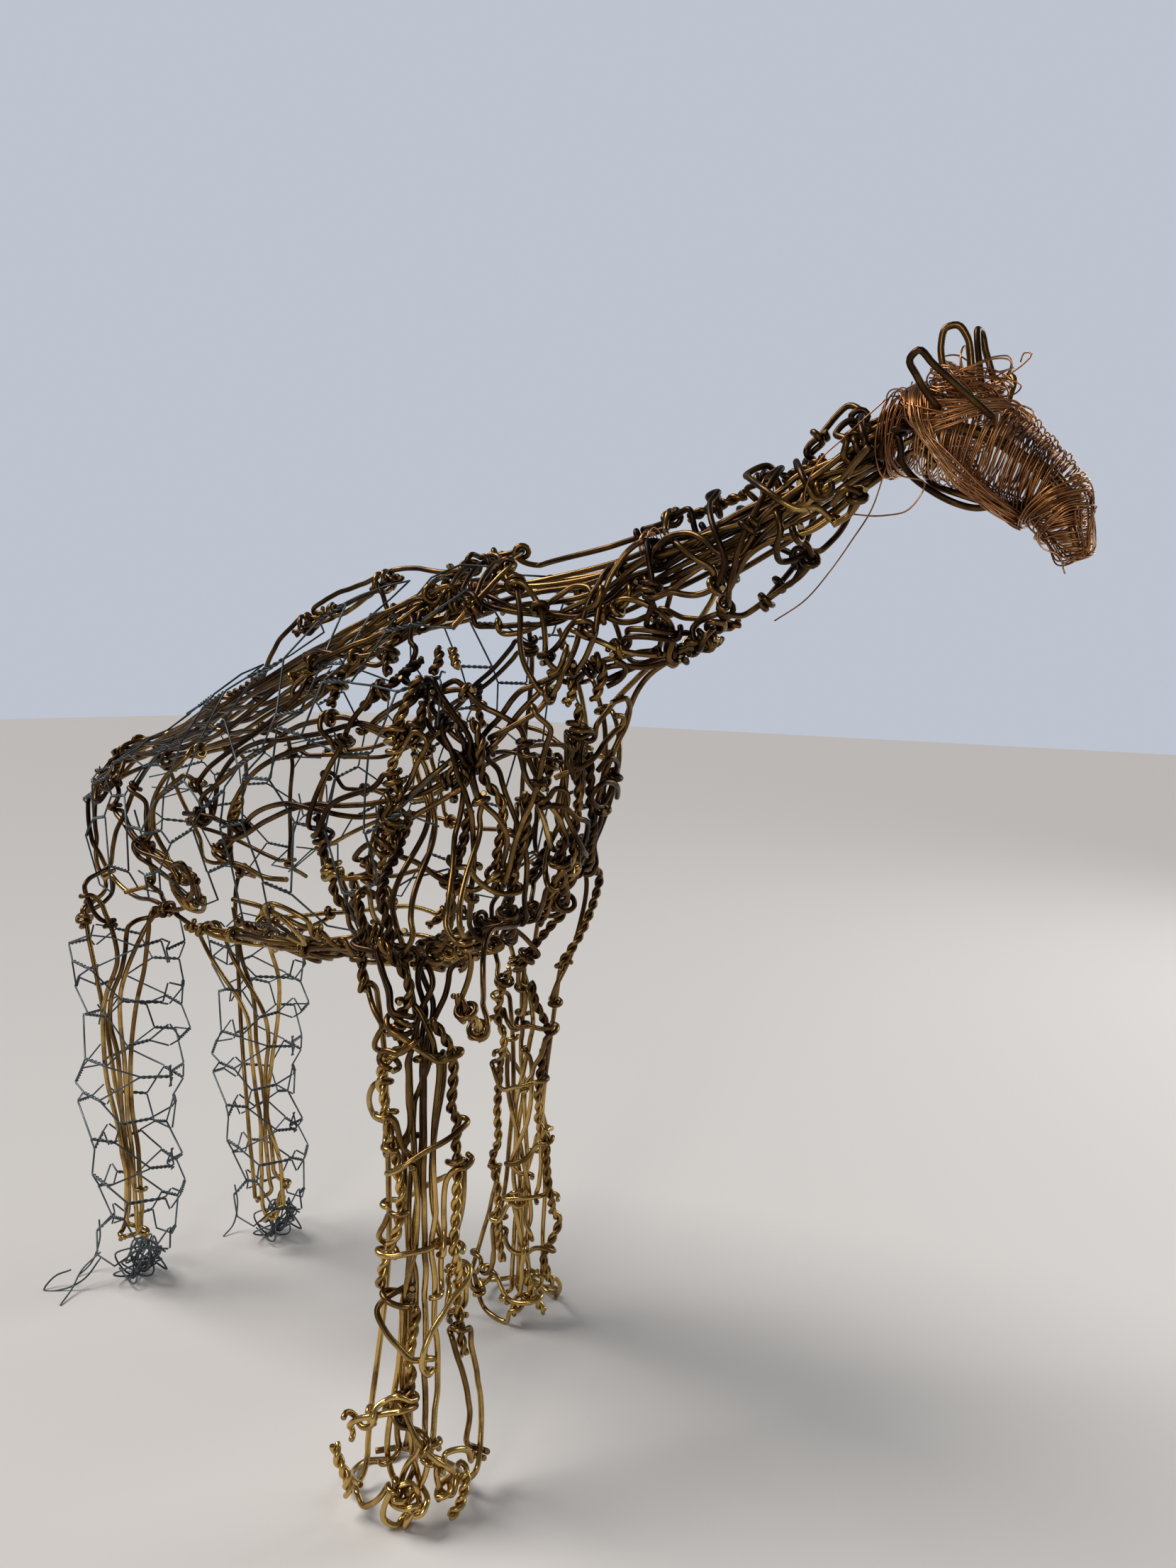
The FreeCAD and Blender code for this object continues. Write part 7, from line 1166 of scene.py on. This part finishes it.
def settle(paths, kinds, rounds):
    """Crossing wires are moved off one another a little each round, the thinner one further."""
    points = np.vstack(paths)
    counts = np.array([len(path) for path in paths])
    ends = np.cumsum(counts)
    owner = np.repeat(np.arange(len(paths)), counts)
    thick = np.array([RADIUS[kind] for kind in kinds])[owner]
    first = np.setdiff1d(np.arange(len(points)), ends - 1)
    for turn in range(rounds):
        if turn % 15 == 0:
            i, j = near_runs(points, thick, first, owner[first])
            need = thick[i] + thick[j] + GAP
            yields = thick[j] / (thick[i] + thick[j])
        u, v = points[i + 1] - points[i], points[j + 1] - points[j]
        s, t = nearest(points[i], u, points[j], v)
        away = points[i] + u * s[:, None] - points[j] - v * t[:, None]
        apart = np.linalg.norm(away, axis=1)
        depth = need - apart
        hit = depth > 0.01
        if not hit.any():
            break
        push = away[hit] / np.maximum(apart[hit], 1e-6)[:, None] * depth[hit][:, None]
        moves = np.zeros_like(points)
        sides = ((i[hit], s[hit], 0.6 * yields[hit]), (j[hit], t[hit], -0.6 * (1 - yields[hit])))
        for index, part, share in sides:
            for offset, fixed, growing in PUSH_SHARES:
                weight = fixed + growing * part
                there = np.clip(index + offset, 0, len(points) - 1)
                same = owner[there] == owner[index]
                np.add.at(moves, there[same], (push * (share * weight)[:, None])[same])
        length = np.linalg.norm(moves, axis=1)
        points = points + moves * np.minimum(1, PUSH_LIMIT / np.maximum(length, 1e-9))[:, None]
        points[:, 2] = np.maximum(points[:, 2], thick)
    return np.split(points, ends[:-1])


def carried_frames(path):
    """Two directions across the path at each point, carried along it with no more turning than it needs."""
    ahead = np.gradient(path, axis=0)
    ahead /= np.maximum(np.linalg.norm(ahead, axis=1), 1e-9)[:, None]
    side = np.empty_like(path)
    start = np.eye(3)[np.argmin(np.abs(ahead[0]))]
    now = np.cross(ahead[0], start)
    for index, direction in enumerate(ahead):
        now = now - direction * (now @ direction)
        now = now / math.sqrt(now @ now)
        side[index] = now
    return side, np.cross(ahead, side)


def tube(path, radius, sides):
    """A circle carried along a path: ring i, corner k is at path i + radius (cos k side + sin k up).

    The radius may vary along the path. The last ring at each end is drawn in to a rounded tip.
    """
    side, up = carried_frames(path)
    radius = np.broadcast_to(radius, len(path)).copy()
    ahead = np.cross(side, up)
    path = np.vstack([path[0] - ahead[0] * radius[0] * TIP_LENGTH, path[0], path[1:-1], path[-1],
                      path[-1] + ahead[-1] * radius[-1] * TIP_LENGTH])
    side = np.vstack([side[0], side, side[-1]])
    up = np.vstack([up[0], up, up[-1]])
    radius = np.concatenate([[radius[0] * TIP_WIDTH], radius, [radius[-1] * TIP_WIDTH]])
    turn = np.arange(sides) * 2 * math.pi / sides
    ring = np.cos(turn)[None, :, None] * side[:, None] + np.sin(turn)[None, :, None] * up[:, None]
    points = path[:, None] + ring * radius[:, None, None]
    along = np.concatenate([[0], np.cumsum(np.linalg.norm(np.diff(path, axis=0), axis=1))])
    return points, along


def wire_mesh(name, tubes, tones):
    """One mesh of many tubes, each closed at both ends, with faces between ring i and ring i + 1.

    The UV map runs round and along each wire; each point has its wire's tone, and 1 at a cut end.
    """
    points, quads, caps, uvs, tone, cut = [], [], [], [], [], []
    offset = 0
    for (wire, along), shade in zip(tubes, tones):
        rings, sides = wire.shape[:2]
        row, k = np.meshgrid(np.arange(rings - 1), np.arange(sides), indexing="ij")
        low, high, after = row * sides + offset, (row + 1) * sides + offset, (k + 1) % sides
        points.append(wire.reshape(-1, 3) * MM)
        quads.append(np.stack([low + k, low + after, high + after, high + k], axis=2).reshape(-1, 4))
        caps.append(np.arange(sides)[::-1] + offset)
        caps.append(np.arange(sides) + offset + (rings - 1) * sides)
        around = np.stack([k, k + 1, k + 1, k], axis=2) / sides
        length = np.stack([along[row], along[row], along[row + 1], along[row + 1]], axis=2)
        uvs.append(np.stack([around, length * MM * 10], axis=3).reshape(-1, 2))
        tone.append(np.full(rings * sides, shade))
        ends = np.zeros((rings, sides))
        ends[0], ends[-1] = 1, 1
        cut.append(ends.ravel())
        offset += rings * sides
    quads = np.vstack(quads)
    cap_sizes = np.array([len(cap) for cap in caps])
    corners = np.concatenate([quads.ravel(), *caps])
    sizes = np.concatenate([np.full(len(quads), 4), cap_sizes])
    starts = np.concatenate([[0], np.cumsum(sizes)[:-1]])
    smooth = np.arange(len(sizes)) < len(quads)
    mesh = bpy.data.meshes.new(name)
    mesh.vertices.add(offset)
    mesh.vertices.foreach_set("co", np.vstack(points).ravel())
    mesh.loops.add(len(corners))
    mesh.loops.foreach_set("vertex_index", corners.astype(np.int32))
    mesh.polygons.add(len(sizes))
    mesh.polygons.foreach_set("loop_start", starts.astype(np.int32))
    mesh.polygons.foreach_set("loop_total", sizes.astype(np.int32))
    mesh.polygons.foreach_set("use_smooth", smooth)
    layer = mesh.uv_layers.new(name="along_wire")
    uvs = np.vstack(uvs + [np.zeros((int(cap_sizes.sum()), 2))])
    layer.data.foreach_set("uv", uvs.astype(np.float32).ravel())
    for title, values in (("tone", tone), ("cut", cut)):
        attribute = mesh.attributes.new(title, "FLOAT", "POINT")
        attribute.data.foreach_set("value", np.concatenate(values).astype(np.float32))
    mesh.update(calc_edges=True)
    mesh.validate()
    return mesh


def twisted(path, radius, pitch, phase):
    """Two strands round one path: strand n is at path + radius (cos a side + sin a up).

    The angle a is a whole number of half turns, about 2 pi length / pitch, plus phase and pi n.
    """
    side, up = carried_frames(path)
    length = np.concatenate([[0], np.cumsum(np.linalg.norm(np.diff(path, axis=0), axis=1))])
    turns = max(1.0, round(2 * length[-1] / pitch) / 2) + 0.5
    angle = 2 * math.pi * turns * length / length[-1] + phase
    strands = []
    for half in (0, math.pi):
        strands.append(path + radius * (
            np.cos(angle + half)[:, None] * side + np.sin(angle + half)[:, None] * up
        ))
    return strands


def netting_strands(panel):
    """Wires of a netting panel: over each twist the two partners turn round their common middle line.

    A twisting wire is at middle + cos a arm + sin a (ahead x arm), a going evenly through NET_TURNS
    turns; between twists it runs straight to its next partner.
    """
    count, stops = panel.shape[:2]
    strands = []
    for wire in range(count):
        parts = []
        for stop in range(stops - 1):
            start, end = panel[wire, stop], panel[wire, stop + 1]
            partner = None
            if stop % 2 == 1:
                other = wire + (1 if (wire + (stop - 1) // 2) % 2 == 0 else -1)
                if 0 <= other < count:
                    partner = other
            if partner is None:
                parts.append(np.array([start, start + (end - start) * 0.5]))
                continue
            share = np.linspace(0, 1, NET_TURN_STEPS * NET_TURNS, endpoint=False)[:, None]
            mine = start + (end - start) * share
            theirs = panel[partner, stop] + (panel[partner, stop + 1] - panel[partner, stop]) * share
            middle, arm = (mine + theirs) / 2, (mine - theirs) / 2
            ahead = (end - start) / np.linalg.norm(end - start)
            arm = arm - ahead * (arm @ ahead)[:, None]
            arm = arm / np.linalg.norm(arm, axis=1)[:, None] * NET_ARM
            turn = 2 * math.pi * NET_TURNS * share
            parts.append(middle + np.cos(turn) * arm + np.sin(turn) * np.cross(ahead, arm))
        parts.append(panel[wire, -1:])
        strands.append(np.vstack(parts))
    return strands


def new_finish(name):
    """A new material, its node tree and shader, and a helper that adds a node and joins its inputs."""
    material = bpy.data.materials.new(name)
    material.use_nodes = True
    tree = material.node_tree

    def add(kind, inputs=None, **settings):
        node = tree.nodes.new(kind)
        for key, value in settings.items():
            setattr(node, key, value)
        for key, value in (inputs or {}).items():
            if isinstance(value, bpy.types.NodeSocket):
                tree.links.new(value, node.inputs[key])
            else:
                node.inputs[key].default_value = value
        return node

    return material, tree, tree.nodes["Principled BSDF"], add


def ramp(add, factor, stops):
    """A colour ramp through (place, colour) stops."""
    node = add("ShaderNodeValToRGB", {"Fac": factor})
    elements = node.color_ramp.elements
    while len(elements) < len(stops):
        elements.new(0.5)
    for element, (place, colour) in zip(elements, stops):
        element.position = place
        element.color = (*colour, 1)
    return node.outputs["Color"]


def wire_finish(name, stops, rough, metal, patch_scale, painted_low_light_share, cut_colour, bump):
    """Drawn wire: patina in soft patches, rubbed bright in places, with painted light making it brighter
    lower down, and fine lengthwise lines.
    """
    material, tree, shader, add = new_finish(name)

    def sum_of(first, share, second):
        return add("ShaderNodeMath", {0: first, 1: share, 2: second}, operation="MULTIPLY_ADD").outputs[0]

    place = add("ShaderNodeTexCoord").outputs["Object"]
    uv = add("ShaderNodeUVMap", uv_map="along_wire").outputs["UV"]
    patches = add("ShaderNodeTexNoise", {
        "Vector": place, "Scale": patch_scale, "Detail": 3.0, "Roughness": 0.6,
    }).outputs["Fac"]
    specks = add("ShaderNodeTexNoise", {
        "Vector": place, "Scale": 900.0, "Detail": 2.0, "Roughness": 0.6,
    }).outputs["Fac"]
    tone = add("ShaderNodeAttribute", attribute_name="tone").outputs["Fac"]
    cut = add("ShaderNodeAttribute", attribute_name="cut").outputs["Fac"]
    level = add("ShaderNodeSeparateXYZ", {"Vector": place}).outputs["Z"]
    # Painted light: this map makes the wire's colour brighter lower down, where more light falls, and leaves
    # it darker higher up.
    low = add("ShaderNodeMapRange", {
        "Value": level, "From Min": 0.26, "From Max": 0.06, "To Min": 0.0, "To Max": painted_low_light_share,
    }, clamp=True).outputs["Result"]
    # The patina patches plus the painted light lower down.
    patches_and_painted_light = add("ShaderNodeMath", {0: patches, 1: low}, operation="ADD").outputs[0]
    fine = sum_of(specks, 0.14, sum_of(tone, 0.22, patches_and_painted_light))
    ends = add("ShaderNodeMix", {0: cut, 6: ramp(add, fine, stops), 7: (*cut_colour, 1)}, data_type="RGBA")
    tree.links.new(ends.outputs[2], shader.inputs["Base Color"])
    roughness = add("ShaderNodeMapRange", {
        "Value": fine, "From Min": 0.3, "From Max": 1.0, "To Min": rough[0], "To Max": rough[1],
    }).outputs["Result"]
    tree.links.new(roughness, shader.inputs["Roughness"])
    stretch = add("ShaderNodeMapping", {"Vector": uv, "Scale": (14.0, 1.2, 1.0)}).outputs["Vector"]
    lines = add("ShaderNodeTexNoise", {"Vector": stretch, "Scale": 3.0, "Detail": 2.0}).outputs["Fac"]
    raised = add("ShaderNodeBump", {
        "Height": sum_of(lines, 0.5, specks), "Strength": bump, "Distance": 0.0002,
    })
    tree.links.new(raised.outputs["Normal"], shader.inputs["Normal"])
    shader.inputs["Metallic"].default_value = metal
    return material


# Each finish's sixth figure is how much painted light brightens its wire lower down; the copper has none.
BRASS_FINISH = wire_finish(
    "aged_brass_wire",
    [(0.38, (0.010, 0.006, 0.004)), (0.60, (0.046, 0.023, 0.010)), (0.82, (0.19, 0.105, 0.032)),
     (1.0, (0.56, 0.37, 0.12))],
    (0.42, 0.22), 1.0, 34.0, 0.30, (0.30, 0.21, 0.09), 0.25)
NET_FINISH = wire_finish(
    "weathered_galvanised_wire",
    [(0.30, (0.012, 0.016, 0.019)), (0.6, (0.036, 0.046, 0.052)), (0.95, (0.12, 0.14, 0.15))],
    (0.62, 0.42), 0.85, 60.0, 0.16, (0.2, 0.22, 0.24), 0.35)
FINE_FINISH = wire_finish(
    "fine_copper_wire",
    [(0.30, (0.040, 0.014, 0.006)), (0.5, (0.15, 0.055, 0.020)), (0.72, (0.42, 0.19, 0.070)),
     (1.0, (0.72, 0.42, 0.19))],
    (0.42, 0.24), 1.0, 70.0, 0.0, (0.5, 0.3, 0.15), 0.15)
FINISHES = {"wire": BRASS_FINISH, "pair": BRASS_FINISH, "netting": NET_FINISH, "copper": FINE_FINISH}


def laid_wires():
    """Every wire's line as bent and fixed: placed on its form, eased apart, tied off and eased again."""
    paths, kinds, owners = [], [], []
    for node, wires in WIRES.items():
        for kind, route in wires:
            paths.append(eased(placed(route), SPACING[kind]))
            kinds.append(kind)
            owners.append(node)
    paths = settle(paths, kinds, FIRST_ROUNDS)
    turns = [end_turns(node) for node in owners]
    tied = wrapped_ends([path.tolist() for path in paths], kinds, turns, END_REACH)
    lines = [path.tolist() for path in settle([np.array(line) for line in tied], kinds, LAST_ROUNDS)]
    opened_bends(lines, kinds, BEND_ROUNDS)
    return [np.array(line) for line in lines], kinds, owners


def panel_surfaces(node, rows):
    """The tubes of a netting panel and the shade of each; the rump's netting is two panels."""
    half = len(rows) // 2
    groups = [rows[:half], rows[half:]] if node == "netting_rump" else [rows]
    strands = [strand for group in groups for strand in netting_strands(np.array(group))]
    tubes = [tube(strand, NET, SIDES["netting"]) for strand in strands]
    return tubes, [(number * SHADE_STEP) % 1 for number in range(len(tubes))]


def wire_surfaces(numbers, paths, kinds):
    """The tubes of a node's wires and the shade of each, a twisted pair being two tubes of one shade."""
    tubes, tones = [], []
    for number in numbers:
        kind = kinds[number]
        radius, strands = RADIUS[kind], [eased(paths[number], FINE_SPACING[kind])]
        if kind == "pair":
            radius, strands = STRAND, twisted(strands[0], STRAND, STRAND_PITCH, 2.4 * number)
        for strand in strands:
            tubes.append(tube(strand, radius, SIDES[kind]))
            tones.append((number * SHADE_STEP) % 1)
    return tubes, tones


paths, kinds, owners = laid_wires()
for node in WIRES:
    numbers = [number for number, owner in enumerate(owners) if owner == node]
    if "netting" in node and "foot" not in node:
        tubes, tones = panel_surfaces(node, [paths[number] for number in numbers])
    else:
        tubes, tones = wire_surfaces(numbers, paths, kinds)
    piece = bpy.data.objects.new(node + "_surface", wire_mesh(node + "_surface", tubes, tones))
    bpy.context.scene.collection.objects.link(piece)
    kind = kinds[numbers[0]]
    piece.data.materials.append(FINISHES[kind])
    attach(piece, "root")
    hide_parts(node)


def ground_sheet():
    """The floor: one large flat square just under the feet."""
    half = 6.0
    corners = [(-half, -half, 0), (half, -half, 0), (half, half, 0), (-half, half, 0)]
    mesh = bpy.data.meshes.new("studio_floor")
    mesh.from_pydata(corners, [], [(0, 1, 2, 3)])
    floor = bpy.data.objects.new("studio_floor", mesh)
    bpy.context.scene.collection.objects.link(floor)
    material, _, shader, _ = new_finish("pale_floor")
    shader.inputs["Base Color"].default_value = (0.66, 0.63, 0.60, 1)
    shader.inputs["Roughness"].default_value = 0.7
    mesh.materials.append(material)


def hung_light(name, kind, place, target, power, colour, **settings):
    """A light of a kind, at a place and turned to face a target."""
    light = bpy.data.lights.new(name, kind)
    light.energy = power
    light.color = colour
    for key, value in settings.items():
        setattr(light, key, value)
    lamp = bpy.data.objects.new(name, light)
    bpy.context.scene.collection.objects.link(lamp)
    lamp.location = place
    back = np.array(place, dtype=float) - np.array(target, dtype=float)
    lamp.rotation_euler = (
        math.atan2(math.hypot(back[0], back[1]), back[2]), 0, math.atan2(back[0], -back[1]),
    )


def studio_sky():
    """Pale light from all round, a little deeper where the camera sees the sky itself."""
    world = bpy.data.worlds.new("studio")
    world.use_nodes = True
    tree = world.node_tree
    seen = tree.nodes["Background"]
    seen.inputs["Color"].default_value = (0.60, 0.65, 0.74, 1)
    seen.inputs["Strength"].default_value = 0.85
    fill = tree.nodes.new("ShaderNodeBackground")
    fill.inputs["Color"].default_value = (0.42, 0.46, 0.54, 1)
    fill.inputs["Strength"].default_value = 0.30
    path = tree.nodes.new("ShaderNodeLightPath")
    mix = tree.nodes.new("ShaderNodeMixShader")
    tree.links.new(path.outputs["Is Camera Ray"], mix.inputs[0])
    tree.links.new(fill.outputs[0], mix.inputs[1])
    tree.links.new(seen.outputs[0], mix.inputs[2])
    tree.links.new(mix.outputs[0], tree.nodes["World Output"].inputs["Surface"])
    bpy.context.scene.world = world


def eye_level_camera(place, right, up):
    """A camera at a place, with everything sharp, its picture's right and up in these directions."""
    lens = bpy.data.cameras.new("eye")
    lens.sensor_width = 36
    lens.lens = 26.37
    lens.clip_start = 0.01
    lens.dof.use_dof = False
    camera = bpy.data.objects.new("eye", lens)
    bpy.context.scene.collection.objects.link(camera)
    matrix = np.eye(4)
    matrix[:3] = np.stack([right, up, np.cross(right, up), place], axis=1)
    camera.matrix_world = mathutils.Matrix(matrix.tolist())
    bpy.context.scene.camera = camera


WARM, COOL = (1.0, 0.93, 0.84), (0.92, 0.96, 1.0)
ground_sheet()
hung_light("sky_window", "SUN", (-1.0, -0.45, 1.5), (0, 0, 0), 2.6, (1.0, 0.98, 0.95), angle=0.5)
hung_light("side_window", "AREA", (0.55, -1.5, 0.75), (0.08, 0, 0.22), 5, WARM, size=0.35)
hung_light("rim", "AREA", (0.9, 1.3, 0.9), (0.08, 0, 0.25), 8, COOL, size=0.8)
studio_sky()
eye_level_camera((0.4465, -0.4251, 0.3470), (0.8344, 0.5507, 0.0229), (-0.0725, 0.0685, 0.9950))
bpy.context.scene.view_settings.view_transform = "Standard"
